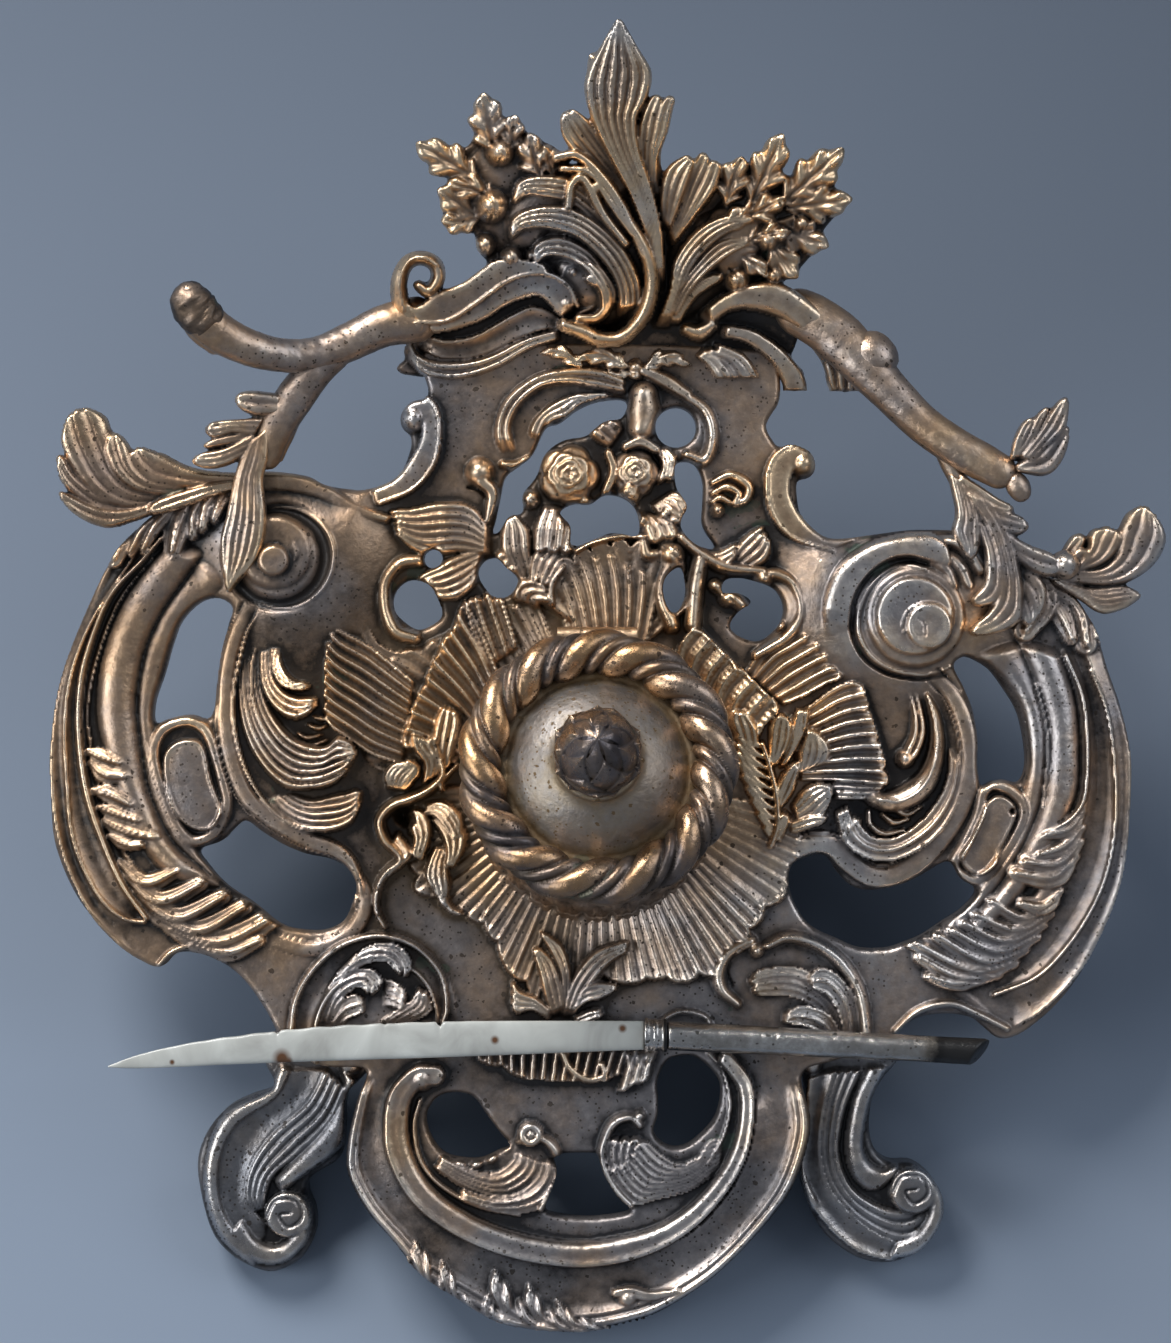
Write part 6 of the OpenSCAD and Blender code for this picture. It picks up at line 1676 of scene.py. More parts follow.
def apron_shell(s):
    """The shell that hangs between the two, and the leaves over the front edge."""
    s.flow([(-25, -52.6), (-25, -57.9), (-24.4, -64.8)],
           [(15.1, -52.6), (12.8, -57.9), (9.9, -65.4)], 4.4, flutes=15, cross="flute", flute=0.6,
           lobes=7, ragged=0.10, tips=(0.72, 0.80, 0.98, 1.25, 1.4, 1.3, 1.12, 0.95, 0.7), base=1.6,
           base_end=2.6, rim=0.8)
    s.flow([(7, -57.9), (7.5, -62.5), (5.8, -68.3)], [(15.1, -57.9), (13.9, -61.4), (13.3, -64.8)],
           4.4, flutes=3, cross="ridge", flute=0.4, lobes=2, base=2.2, base_end=3, rim=0.5)
    s.stroke([(-6.4, -58.5), (-4.4, -62.5), (-0.6, -64.8), (2.9, -64), (2.6, -61.4)],
             [2.6, 2.8, 2.6, 2.0], 6.6, bead, "over")
    s.stroke([(14, -53.3), (19.6, -50), (25, -50.9), (26.8, -53.3)], 1.4, 4.6, bead, "over")
    for spine, wide in (([(-29.1, -116.8), (-35.7, -110.9), (-39, -100.8)], 7.6),
                        ([(-22.8, -118.2), (-30.1, -113.3), (-32.9, -105.3)], 6.0),
                        ([(-33.6, -115), (-39.5, -109.8), (-40.6, -104.4)], 5.0),
                        ([(-9.2, -121.3), (-18.6, -116.1), (-21.3, -107.4)], 8.6),
                        ([(-2.6, -121.7), (-11.3, -117.8), (-13.9, -110.5)], 6.8),
                        ([(4.7, -121.3), (-4, -119.2), (-7.5, -114)], 5.6),
                        ([(-16.2, -121), (-22.1, -117.1), (-22.8, -112.6)], 5.0)):
        s.leaf(spine, np.array([0.4, 0.9, 1.0, 0.9, 0.6, 0.1]) * wide, 3, 3.4, depth=0.34, rib=0.5,
               sweep=0.9, vein=-0.3, base=3.0)
    for line in ([(-35, -117.1), (-26.3, -119.9), (-16.5, -121.7)],
                 [(-19.3, -121.3), (-7.8, -122.7), (3, -122), (12.4, -119.2)]):
        s.finger(line, [2.6, 3.4, 2.0], 2.4, base=3.2, groove=0.2)
    s.boss(8.3, -113.4, 3.0, 6.2)
    s.finger([(5.6, -112.3), (8.8, -112), (13.1, -112.9), (19.5, -111.8)], [2.0, 3.0, 2.2, 1.0],
             2.2, base=3.8, groove=0.2)


def back_frame(s):
    """Mouldings, curls, roses and leaves of the openwork back."""
    frame_curls(s)
    frame_arch(s)
    frame_ears(s)
    garland(s)


def frame_curls(s):
    """The two C curls at the sides and the small one at the right."""
    s.flow([(-42.6, 81.2), (-41.6, 85.6), (-37.1, 86.7), (-34.3, 83.6), (-33.6, 77.5),
            (-35.1, 71.4), (-39.5, 66.3), (-48, 62.5)],
           [(-39.5, 78.8), (-39.9, 80.9), (-37.8, 82.2), (-37.1, 80.2), (-37.8, 76.1), (-40.2, 72),
            (-43.3, 68.6), (-48.7, 65.6)], 4.6, flutes=1, cross="plain", flute=0, belly=0.15,
           base=1.6, rise=(1, 1, 0.9))
    s.boss(-39, 81.9, 3.6, 7.2)
    s.stroke([(-41.6, 85.6), (-37.1, 86.7), (-34.1, 83.6), (-33.5, 77.5), (-35, 71.2), (-39.5, 66),
              (-46.7, 62.9)], 1.1, 6.8, bead, "over")
    s.flow([(50.3, 70.7), (48.6, 74.6), (44.1, 75.6), (40.5, 72.7), (39.2, 67.3), (40.5, 60.5),
            (44.8, 55.4), (54, 52.3)],
           [(47.6, 69), (47.6, 70.7), (45.9, 71.4), (44.5, 69.3), (44.1, 65.2), (46.2, 60.5),
            (50.6, 57.1), (60, 55.2)], 4.6, flutes=1, cross="plain", flute=0, belly=0.15, base=1.6,
           rise=(1, 1, 0.9))
    s.boss(47.2, 71.9, 3.4, 7.2)
    s.stroke([(48.6, 74.6), (44.1, 75.6), (40.4, 72.7), (39, 67.3), (40.4, 60.5), (44.8, 55.4),
              (54, 52.3)], 1.1, 6.6, bead, "over")
    s.finger([(37.7, 45.8), (40.4, 47.4), (44.8, 45.2), (46.7, 39), (43.8, 33.6), (36.7, 29.2)],
             [3.2, 3, 3, 3.2, 3, 2], [4.4, 5], base=1.6, groove=0.0)
    s.boss(38.4, 46.2, 2.4, 7.4)
    s.finger([(-38, 50.4), (-42.3, 49.6), (-45.5, 45.5), (-45.5, 39.6), (-43.4, 34.7),
              (-39.1, 33.1)], [3.4, 3.4, 3.6, 3.6, 3], [4.4, 4.6], base=1.4, groove=0.0)


def frame_arch(s):
    """The arch over the roses."""
    s.flow([(-19.8, 73.1), (-21.2, 78.8), (-19.5, 85), (-14.7, 89.7), (-8.6, 92.4), (1, 93.1),
            (7.8, 90.4)],
           [(-16.1, 73.7), (-17.8, 79.5), (-15.7, 84.6), (-10.6, 88.7), (-4.5, 89.4), (1, 88.4),
            (7.8, 87.3)], 5.0, flutes=2, cross="ridge", flute=0.5, base=1.8, rise=(0.7, 1, 0.9))
    s.flow([(-14, 76.8), (-12.7, 80.9), (-8.6, 85), (-3.1, 87), (3.7, 87.3)],
           [(-9.9, 75.4), (-8.6, 80.9), (-4.5, 82.2), (-1.8, 85), (5, 86.7)], 3.6, flutes=3,
           cross="ridge", flute=0.4, base=2.2, lobes=2, rim=0.4)
    s.stroke([(-19.5, 71.7), (-16.1, 71.4), (-13.3, 73.1)], [2, 3, 2], 5.4, bead, "over")
    s.finger([(20.7, 87), (25.4, 83.6), (27.1, 78.2), (25.4, 72.7), (21.4, 73.7)],
             [2.4, 3.2, 3.0, 2.6], [4, 4.4], base=1.6, groove=0.0)
    s.finger([(11.8, 92.4), (17.3, 89.7), (21.4, 87)], [3, 4, 3], 4, base=2.0, groove=0.1)


def frame_ears(s):
    """Ear-shaped curls on the panels."""
    s.boss(-24.6, 70, 3.6, 7.0)
    s.finger([(-24.2, 68), (-21.8, 65.2), (-22.9, 59.1)], [3.6, 3, 1.4], [5, 4, 3], base=1.6,
             groove=0.1)
    s.stroke([(-27.3, 66.6), (-24.6, 65.9), (-22.9, 63.9)], 0.9, 1.6, soft, "sink")
    for points, wide in (([(27.1, 67.6), (31.2, 69.2), (35, 66.9), (34.6, 63.9), (32.2, 62.9)],
                          2.4),
                         ([(27.1, 65.2), (30.2, 66.6), (32.9, 65.2), (32.2, 63.5)], 2.0),
                         ([(26.8, 63.2), (28.8, 64.2), (30.9, 63.2)], 1.6)):
        s.finger(points, [wide * 0.6, wide, wide * 0.7], [3, 3.8, 3.4], base=2.2, groove=0.1)
    s.boss(28.2, 61.5, 1.8, 6.6)


def garland(s):
    """Leaves, stems, buds and roses of the garland."""
    leaf = dict(cross="ridge", flute=0.38, base=2.4, base_end=3.2, rim=0.6, ragged=0.14,
                rise=(0.4, 1, 1))
    for a, b, count, lobes in (([(-21.8, 55.7), (-26.3, 62.2), (-33.1, 63.2), (-39.9, 61.8),
                                 (-44.6, 61.5)],
                                [(-21.5, 51.6), (-29.7, 52), (-37.1, 51.6), (-42.9, 55.7)], 6, 5),
                               ([(-22.9, 53), (-29, 51.6), (-34.4, 48.9), (-38.5, 46.2)],
                                [(-24.2, 48.9), (-26.9, 43.5), (-31.7, 41.4), (-37.1, 43.5)], 5, 4),
                               ([(-14.7, 44.1), (-19.5, 51.6), (-19.6, 57.1), (-18.2, 61.3)],
                                [(-12, 44.8), (-13.2, 51.6), (-13.9, 57.1), (-17.3, 61)], 3, 2),
                               ([(-19.5, 53), (-20.8, 51.6), (-21.4, 48.9)],
                                [(-14.7, 48.9), (-16.7, 47.5), (-19.5, 48.2)], 3, 2),
                               ([(-16.7, 40.7), (-17.4, 44.8), (-14, 46.2), (-9.9, 44.8)],
                                [(-11.3, 39.4), (-11.3, 40.7), (-9.6, 40.7), (-8.6, 40.7)], 3, 2),
                               ([(-9.9, 63.2), (-12.3, 57.8), (-12.7, 51.6)],
                                [(-4.1, 62.2), (-3.1, 57.1), (-4.1, 51.6)], 4, 3),
                               ([(-7.9, 54.3), (-12.7, 51.6), (-13.7, 45.5)],
                                [(-4.5, 53.3), (-6.5, 48.9), (-9.6, 44.1)], 4, 2),
                               ([(7.8, 78.5), (4, 83.6), (-3.1, 83.5)],
                                [(5, 75.1), (1, 77.1), (-2.4, 81.9)], 3, 1),
                               ([(29.5, 48.9), (33.6, 54.7), (38, 58.1)],
                                [(32.2, 47.2), (38.7, 49.9), (40.1, 54.3)], 4, 3),
                               ([(25.4, 52.3), (28.8, 52.3), (32.6, 54.3)],
                                [(26.8, 48.9), (30.2, 48.9), (32.2, 50.9)], 3, 2),
                               ([(16.6, 76.1), (19, 72.7), (18.3, 68)],
                                [(13.9, 75.4), (15.9, 71.4), (14.6, 67.3)], 3, 2),
                               ([(16.6, 65.2), (20.7, 65.2), (22.4, 60.5)],
                                [(13.2, 63.2), (16.6, 59.1), (20.3, 58.4)], 4, 2),
                               ([(14.6, 60.5), (18.6, 58.4), (19.7, 55)],
                                [(10.5, 61.8), (11.8, 57.1), (13.2, 53.7)], 3, 2)):
        s.flow(a, b, 3.6, flutes=count, lobes=lobes, **leaf)
    for points, wide, high in (
            ([(20.3, 55.4), (24.8, 51.6), (30.2, 48.9), (38.4, 47.9)], [3, 3.4, 2.6], 5.6),
            ([(24.8, 51.6), (23.4, 44.8), (22.7, 36)], [4, 4.4, 4], 5.2),
            ([(27.5, 44.8), (31.6, 42.1), (34.6, 39.4)], [3, 3.8, 3], 6.0),
            ([(34.6, 38), (38.4, 37.7), (41.8, 36)], [3, 4.2, 3], 6.6),
            ([(17.3, 52.3), (18, 48.2), (16.3, 42.1), (18, 36)], [6, 7, 5, 4], 5.0),
            ([(11.8, 54.3), (12.5, 51.6), (14.6, 51.6)], [3, 4, 3], 5.0),
            ([(11.8, 87), (11.8, 82.9), (11.2, 79.5)], [7, 8.6, 6.6], 6.4),
            ([(-3.1, 52.3), (1, 54.3), (7.8, 55.7), (11.8, 55.4)], [1.4, 1.6, 1.4], 6.0),
            ([(-8.6, 40.7), (-8.6, 44.8), (-5.9, 48.9)], [2.2, 2.4, 1.6], 5.4)):
        s.finger(points, wide, high, base=1.0, groove=0.0)
    s.stroke([(34.6, 38), (38.4, 37.5), (41.8, 35.8)], 0.8, 1.4, soft, "sink")
    for u, v, r, h in ((-36.1, 40.7, 2.9, 7.6), (-36.1, 44.8, 2.4, 7.4), (11.5, 59.1, 1.6, 7.4),
                       (-13.3, 63.9, 2.4, 7.0), (-1.4, 62.9, 2.2, 6.6), (16.6, 60.5, 2.0, 6.8),
                       (30.5, 42.1, 2.3, 7.2), (18, 51.6, 3.4, 7.4)):
        s.boss(u, v, r, h)
        s.stroke([(u - r * 0.5, v + r * 0.5), (u + r * 0.6, v - r * 0.5)], 0.8, 1.0, soft, "sink")
    s.rose(-4.8, 69.3, 7.2, 10.5)
    s.rose(9.9, 69.7, 5.8, 10.0)
    s.rose(8.8, 65.2, 3.0, 11.0)
    s.finger([(4, 74.1), (5.2, 70), (3.3, 65.2)], [2, 2.6, 2], 5, base=2.4, groove=0.2)
    s.finger([(7.8, 75.4), (11.2, 76.5), (14.6, 74.8)], [2, 3, 2], 5.6, base=2.4, groove=0.2)


tray = tray_sheet()
# The casting is cut into five pieces along these lines.
BACK_V, BACK_HALF = 49, 50
FRONT_V = -58
SIDE_U = 47
centre_u, centre_v = tray.middles()
on_back = (centre_v > BACK_V) & (np.abs(centre_u + 1) < BACK_HALF)
on_front = centre_v < FRONT_V
on_left = ~on_back & ~on_front & (centre_u < -SIDE_U)
on_right = ~on_back & ~on_front & (centre_u > SIDE_U)
on_middle = ~(on_back | on_front | on_left | on_right)

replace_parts(tray.mesh("relief_left", on_left, on_tray, -PLATE, "stand", BRONZE),
            "border_left", "medallion_left", "shoulder_volute_left", "inner_rim_left",
            "rocaille_left")
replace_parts(tray.mesh("relief_right", on_right, on_tray, -PLATE, "stand", BRONZE),
            "border_right", "medallion_right", "shoulder_volute_right", "inner_rim_right",
            "rocaille_right")
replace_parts(tray.mesh("relief_middle", on_middle, on_tray, -PLATE, "stand", BRONZE),
            "tray_plate", "shell_surround", "lower_scroll_left", "lower_scroll_right")
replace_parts(tray.mesh("relief_front", on_front, on_tray, -PLATE, "stand", BRONZE),
            "front_apron", "apron_shell_left", "apron_shell_right")
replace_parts(tray.mesh("relief_back", on_back, on_tray, -PLATE - 2, "stand", BRONZE),
            "back_frame", "rose_garland")

# ---------------------------------------------------------------- the crest
SPRAY_BUDS = [  # u, v, radius, height
    (-20.1, 140.9, 3.6, 12.0),
    (-21.9, 129.1, 4.4, 12.6),
    (-23.6, 120.4, 2.8, 10.5),
    (-17.6, 117.5, 3.0, 11.0),
    (-13, 118.2, 2.0, 9.8),
    (39.4, 121.3, 3.0, 11.0),
    (40.8, 113.6, 2.6, 9.4),
    (32.7, 112.6, 3.6, 10.4),
    (46.9, 125.1, 2.4, 10.4),
]


def crest_sheet():
    """The leaning crest: sprays, tall leaf, waves, cap and arm."""
    s = Sheet((-46, 88), (62, 173), CELL)
    s.add([(-37, 91), (-39, 97), (-40, 103), (-38, 107), (-26, 108), (-22, 118), (-12, 130),
           (0, 134), (12, 132), (22, 128), (32, 120), (40, 113), (45, 106), (46, 100),
           (44, 95), (41, 91)])
    s.h += 3.0
    for draw in (crest_beds, crest_sprays, tall_leaf, waves, crest_scroll, crest_moulding, cap,
                 arm, knot):
        draw(s)
    s.settle(0.9)
    # The crest painted a little lighter over a broad patch.
    s.rub_and_light(4, 130, 60, 50, 0.22)
    return s


def crest_beds(s):
    """The swelling ground that carries the sprays and the waves."""
    s.add([(-33.2, 139.1), (-26.8, 142.7), (-24, 149.1), (-18.3, 147.6), (-12.7, 144.1),
           (-7, 141.3), (-2.7, 132.8), (-7, 122.8), (-16.9, 114.3), (-24.7, 118.6), (-26.1, 123.5),
           (-32.5, 127.1), (-30.4, 132.8)])
    s.add([(22.8, 127.1), (29.9, 134.2), (37, 137), (44.7, 135.6), (52.5, 134.2), (56.1, 129.9),
           (51.1, 122.8), (48.3, 117.2), (42.6, 112.2), (34.8, 109.4), (27, 110.8), (22.8, 117.2)])
    s.dome([(-28.2, 137), (-21.2, 144.1), (-9.8, 141.3), (-4.1, 132.8), (-11.2, 121.4),
            (-19.7, 118.6), (-26.1, 125.7)], 3.0, 9.0)
    s.dome([(25.6, 124.3), (32.7, 132.8), (44.7, 132.8), (52.5, 129.2), (47.6, 120), (40.5, 114.3),
            (29.9, 112.9)], 3.0, 9.0)
    s.dome([(-16, 117), (-19, 127), (-14, 134), (-4, 137), (6, 134), (13, 122), (15, 110), (9, 101),
            (1, 103), (-8, 111)], 3.6, 9.0)
    s.dome([(14, 102), (16, 114), (20, 124), (30, 129), (38, 127), (37, 118), (28, 108)], 3.4, 8.0)


def crest_sprays(s):
    """Oak-like leaves and buds of the two sprays."""
    for spine, wide, count, high in (([(-21.5, 141.2), (-22.7, 147.9), (-23.8, 154.6)], 8.6, 3,
                                      2.8),
                                     ([(-25.7, 135.4), (-32.4, 139.4), (-39.1, 143.2)], 8.4, 3,
                                      2.6),
                                     ([(-25.4, 126.9), (-29.9, 130), (-34.2, 133.1)], 7.0, 2.5,
                                      2.4),
                                     ([(-25.2, 126), (-29.4, 125.5), (-33.5, 126)], 6.2, 2.5, 2.2),
                                     ([(-11.2, 135.8), (-12.7, 140.6), (-13.4, 145.6)], 7.2, 2.5,
                                      3.4),
                                     ([(-17.4, 142.1), (-17.2, 146.1), (-16.5, 149.7)], 5.6, 2,
                                      2.6),
                                     ([(-8.5, 136.1), (-9.1, 139.2), (-10.3, 142.3)], 4.8, 2, 2.8),
                                     ([(-21.5, 130.6), (-26.6, 132.8), (-32.1, 134.2)], 6.0, 2.5,
                                      3.0),
                                     ([(35.7, 129.8), (39.5, 137.8), (42.9, 145.6)], 8.4, 3, 3.0),
                                     ([(42.7, 129.8), (49.6, 135.8), (56.5, 142.1)], 9.0, 3.5, 3.0),
                                     ([(44, 128.7), (51.6, 129.6), (58.7, 130.7)], 7.6, 3, 2.6),
                                     ([(41, 125.5), (47.1, 122.2), (53.4, 119.9)], 7.6, 3, 2.4),
                                     ([(39.1, 122.2), (42.7, 117), (46.2, 112.8)], 7.2, 2.5, 2.2),
                                     ([(30.2, 129.8), (31.9, 135.4), (34, 140.3)], 7.0, 2.5, 2.8),
                                     ([(33.5, 126.2), (38.6, 128.4), (43.3, 130.9)], 6.6, 2.5, 4.0),
                                     ([(27.3, 121.7), (31.5, 125.5), (34.4, 128.9)], 5.8, 2, 4.0),
                                     ([(34.9, 121.3), (39.5, 122.6), (44.2, 123.3)], 6.0, 2.5, 4.2),
                                     ([(32.2, 118.8), (36, 116.6), (39.1, 113.5)], 5.4, 2, 3.4)):
        s.leaf(spine, np.array([0.3, 0.95, 1.2, 1.15, 0.8, 0.1]) * wide, count, high, depth=0.36,
               rib=0.5, sweep=0.8, vein=-0.40, base=[5.2, 7.4], grow=True)
    for u, v, r, h in SPRAY_BUDS:
        s.boss(u, v, r, h)
        s.stroke([(u - r * 0.5, v + r * 0.7), (u + r * 0.15, v), (u - r * 0.1, v - r * 0.8)], 0.9,
                 1.2, soft, "sink")


def tall_leaf(s):
    """The tall leaf: its side leaves first, then its body."""
    plume = dict(cross="ridge", flute=0.34, hair=0.025, rim=0.4, grow=True, rise=(0.5, 0.9, 1))
    s.flow([(12.5, 127.1), (10.9, 137), (10.4, 144.1), (11.3, 149.1), (13.6, 154.2)],
           [(16, 129.9), (14.8, 138.4), (17.3, 145.5), (18.4, 150.5), (19.5, 153.6)], 4.4, flutes=4,
           lobes=2, ragged=0.10, base=6.5, base_end=9.0, **plume)
    s.flow([(14.3, 132.8), (13.6, 139.8), (15.7, 144.1)],
           [(16, 134.2), (15.7, 141.3), (17.5, 146.9)], 3.0, flutes=2, base=6.5, base_end=8.0,
           **plume)
    s.flow([(7.9, 129.9), (-0.6, 137.7), (-6.1, 144.1), (-6.8, 149.9)],
           [(10, 132.1), (4.4, 141.3), (0.1, 147.6), (-4.1, 151)], 4.0, flutes=5, lobes=3,
           ragged=0.08, base=7.0, base_end=8.0, **plume)
    s.flow([(2.9, 149.1), (-0.6, 155.4), (-0.5, 163.2)], [(4.4, 151.2), (2.2, 158.3), (1.5, 163.2)],
           3.6, flutes=2, base=8.0, base_end=8.0, **plume)
    s.flow([(12.5, 108.7), (13.2, 118.6), (9.3, 130.6), (2.9, 142.7), (-0.5, 150.5), (-1.3, 157.2),
            (2.2, 164.6), (5.9, 170.9)],
           [(16.4, 108.7), (15.8, 122.8), (13.6, 132.8), (10.9, 141.3), (10.4, 148.4), (12.6, 153),
            (13.7, 158.6), (10.4, 164.6), (6.8, 170.9)], 5.0, flutes=6, base=9.0, base_end=9.5,
           **plume)
    s.flow([(16, 124.3), (15.5, 131.3), (17.1, 137.7), (21.7, 140.8)],
           [(17.1, 122.8), (19.6, 128.5), (21.7, 134.2), (23.1, 139.1)], 4.2, flutes=3, base=7.0,
           base_end=8.5, **plume)
    s.flow([(16.8, 121.4), (19.9, 128.5), (21.4, 135.6), (24.5, 141.8)],
           [(17.5, 119.3), (23.5, 127.1), (27.7, 132.8), (29.3, 138.4)], 3.8, flutes=4, lobes=2,
           ragged=0.1, base=5.5, base_end=7.5, **plume)


def waves(s):
    """Rolling waves on both sides of the tall leaf."""
    wave = dict(cross="ridge", flute=0.50, rim=0.0, grow=True, hair=0.03, rise=(0.7, 1, 0.9),
                pinch=0.35, belly=0.5)
    for a, b, count, base in (([(14.3, 101.6), (17.5, 110.1), (18.9, 117.2), (23.5, 123.5),
                                (29.9, 127.1), (35.9, 127.7)],
                               [(17.1, 101.6), (19.9, 109.4), (23.5, 116.5), (28.4, 121.4),
                                (32.7, 123.5), (37, 124.8)], 4, 7.0),
                              ([(15.7, 103), (19.2, 110.1), (23.1, 115.8), (28.4, 121.3),
                                (35.2, 123.2)],
                               [(18.5, 103), (22.4, 110.1), (27, 115), (31.3, 117.9),
                                (35.9, 119.7)], 3, 6.4),
                              ([(17.1, 102.3), (21.4, 109.4), (24.9, 112.9), (29.2, 115)],
                               [(19.2, 102.3), (22.8, 108), (26.3, 110.8), (29.9, 112.2)], 3, 5.4),
                              ([(10, 118.6), (5.8, 126.4), (-1.3, 133.5), (-7, 135.6),
                                (-15.5, 135.2), (-18, 130.6)],
                               [(5.8, 117.2), (2.2, 123.5), (-4.1, 129.2), (-8.4, 130.6),
                                (-13.4, 131), (-16.6, 128.9)], 4, 7.2),
                              ([(5.4, 104.4), (6.1, 110.1), (2.2, 116.5), (-1.3, 120), (-7, 122.4),
                                (-12.7, 121.1), (-13.4, 117.2)],
                               [(2.2, 104.4), (2.2, 109.4), (-0.6, 114.3), (-4.1, 116.8),
                                (-8.4, 117.5), (-11.2, 115.8)], 3, 6.6),
                              ([(10.7, 101.6), (11.4, 110.1), (8.6, 117.9), (2.9, 124.3),
                                (-4.1, 128.5), (-11.2, 129.2), (-17.6, 127.1), (-18.7, 122.8)],
                               [(5.8, 103), (6.1, 110.1), (2.9, 116.5), (-2.7, 121.8),
                                (-8.4, 123.7), (-13.4, 123.5), (-16.6, 121.3)], 4, 8.4)):
        s.flow(a, b, 4.4, flutes=count, base=base, **wave)
    for points, wide in (([(-7.7, 139.8), (-2.7, 140.2), (2.9, 134.9), (7.9, 127.1), (11.8, 117.9)],
                          2.6),
                         ([(-4.9, 128.5), (-4.1, 133.8), (-1.3, 134.9), (2.9, 127.1), (7.9, 120.7)],
                          2.6),
                         ([(0.8, 129.9), (1.5, 133.8), (4.4, 129.9), (9.3, 122.8)], 2.2),
                         ([(-6.3, 137.4), (-1.3, 137), (2.2, 134.2)], 1.8)):
        s.finger(points, [wide * 0.8, wide, wide * 0.7], [3, 3.6, 3.4], base=10.0, groove=0.1,
                 grow=True)


def crest_scroll(s):
    """The long S-scroll that winds round the dark hollow."""
    s.finger([(2.9, 135.6), (7.5, 127.4), (12, 119.7), (13.6, 112.2), (11.8, 105.1), (7.2, 100),
              (2.2, 99.5), (-1.3, 101), (-5.9, 102.6)],
             [1.4, 2.2, 2.8, 3.4, 3.6, 3.4, 3.6, 3.0], [3.0, 4.2, 4.6, 4.4], base=9.6, groove=0.0,
             grow=True)
    s.finger([(-0.3, 112.9), (3.3, 110.8), (4, 107.3), (1.5, 104.1), (-2.7, 103.9)], [2, 2.4, 2.2],
             3.0, base=7.0, groove=0.2)
    s.stroke([(10, 106.5), (5.8, 102.3), (2.2, 101.6)], [2, 4, 2], 1.6, soft, "sink")
    s.dome([(-7, 116.5), (1.5, 115.8), (5.8, 110.1), (2.9, 103.7), (-2.7, 103), (-7, 108.7)], 2.6,
           6.0)
    for points, wide in (([(-4.9, 115.8), (1.5, 114.3), (4.5, 109.7), (2.2, 104.8), (-4.1, 103.4)],
                          3.0),
                         ([(-2.7, 113.6), (1.5, 110.8), (0.8, 106.9), (-2.7, 105.1)], 2.4),
                         ([(-6.3, 113.6), (-4.9, 115.8), (-1.3, 115.8)], 2.2)):
        s.stroke(points, [wide * 0.6, wide, wide * 0.7], 8.4, bead, "over")
    s.boss(-3.8, 114.3, 2.2, 9.4)


def crest_moulding(s):
    """The moulding under the crest: a channel over a double ridge."""
    s.flow([(-38.2, 101.2), (-32.5, 99.1), (-25.4, 100.2), (-18.3, 104.1), (-12.7, 106.5),
            (-7, 104.1), (-4.1, 102.6)],
           [(-38.9, 98), (-32.5, 95.2), (-24, 95.9), (-16.2, 99.5), (-9.8, 101.9), (-6.3, 101.6),
            (-4.1, 101.6)], 3.2, flutes=1, cross="flute", flute=0.55, base=3.4, rim=0.3, grow=True,
           rise=(1, 1, 0.8))
    s.flow([(-40.6, 99.5), (-37.5, 95.6), (-31.1, 94.5), (-23.3, 95.6), (-14.8, 99.5), (-7, 101.6)],
           [(-41.1, 95.2), (-36, 91), (-29, 90.2), (-20.4, 93.1), (-13.4, 97.3), (-7, 99.5)], 4.8,
           flutes=2, cross="ridge", flute=0.5, base=3.8, grow=True, rise=(0.9, 1, 0.6))


def cap(s):
    """The cap: its upper side, its front and its curl."""
    s.flow([(-42.4, 110.1), (-39.6, 106.5), (-33.2, 110.1), (-28.2, 112.2), (-22.6, 116.1),
            (-16.9, 117.2), (-9.8, 115.8)],
           [(-41.7, 105.1), (-37.5, 103.1), (-31.8, 103.7), (-25.4, 107.6), (-19, 112.2),
            (-14.1, 114), (-8.4, 113.6)], 4.2, flutes=1, cross="plain", flute=0, belly=0.1,
           base=5.0, base_end=5.4, grow=True, rise=(1, 1, 1))
    s.flow([(-39.6, 103), (-31.8, 103.6), (-25.4, 107.5), (-19, 112.1), (-14.1, 113.8),
            (-9.1, 113.8), (-4.9, 111.1), (-2.9, 106.9)],
           [(-39.2, 101.6), (-32.5, 101.2), (-24, 103.9), (-18.3, 107.4), (-12.7, 109.2),
            (-9.8, 108.3), (-7.7, 105.8), (-5.9, 104.3)], 4.6, flutes=1, cross="plain", flute=0,
           belly=0.15, base=3.6, base_end=4.2, grow=True, rise=(1, 1, 1))
    s.finger([(-39.2, 103.1), (-31.8, 103.6), (-25.4, 107.5), (-19, 112.1), (-14.1, 113.9),
              (-9.1, 113.8), (-4.9, 111.2), (-2.9, 106.9)], 0.9, 1.4, base=8.6, groove=0)
    s.boss(-5.4, 107.3, 2.6, 9.6)
    s.finger([(-40.3, 104.4), (-42.3, 108.3), (-42.4, 112.9), (-40.6, 116.5), (-37.5, 117.5),
              (-34.5, 116.1), (-33.9, 112.9), (-36, 110.1), (-38.2, 111.4)],
             [4.0, 4.0, 3.6, 3.2, 3.4, 3.2, 2.6], [3, 4, 5, 5], base=6.0, groove=0.0, grow=True)
    s.stroke([(-41.4, 105.8), (-42.4, 111.5), (-40.6, 116.5), (-37.1, 117.7), (-33.9, 115.8)], 0.8,
             1.2, soft, "add")


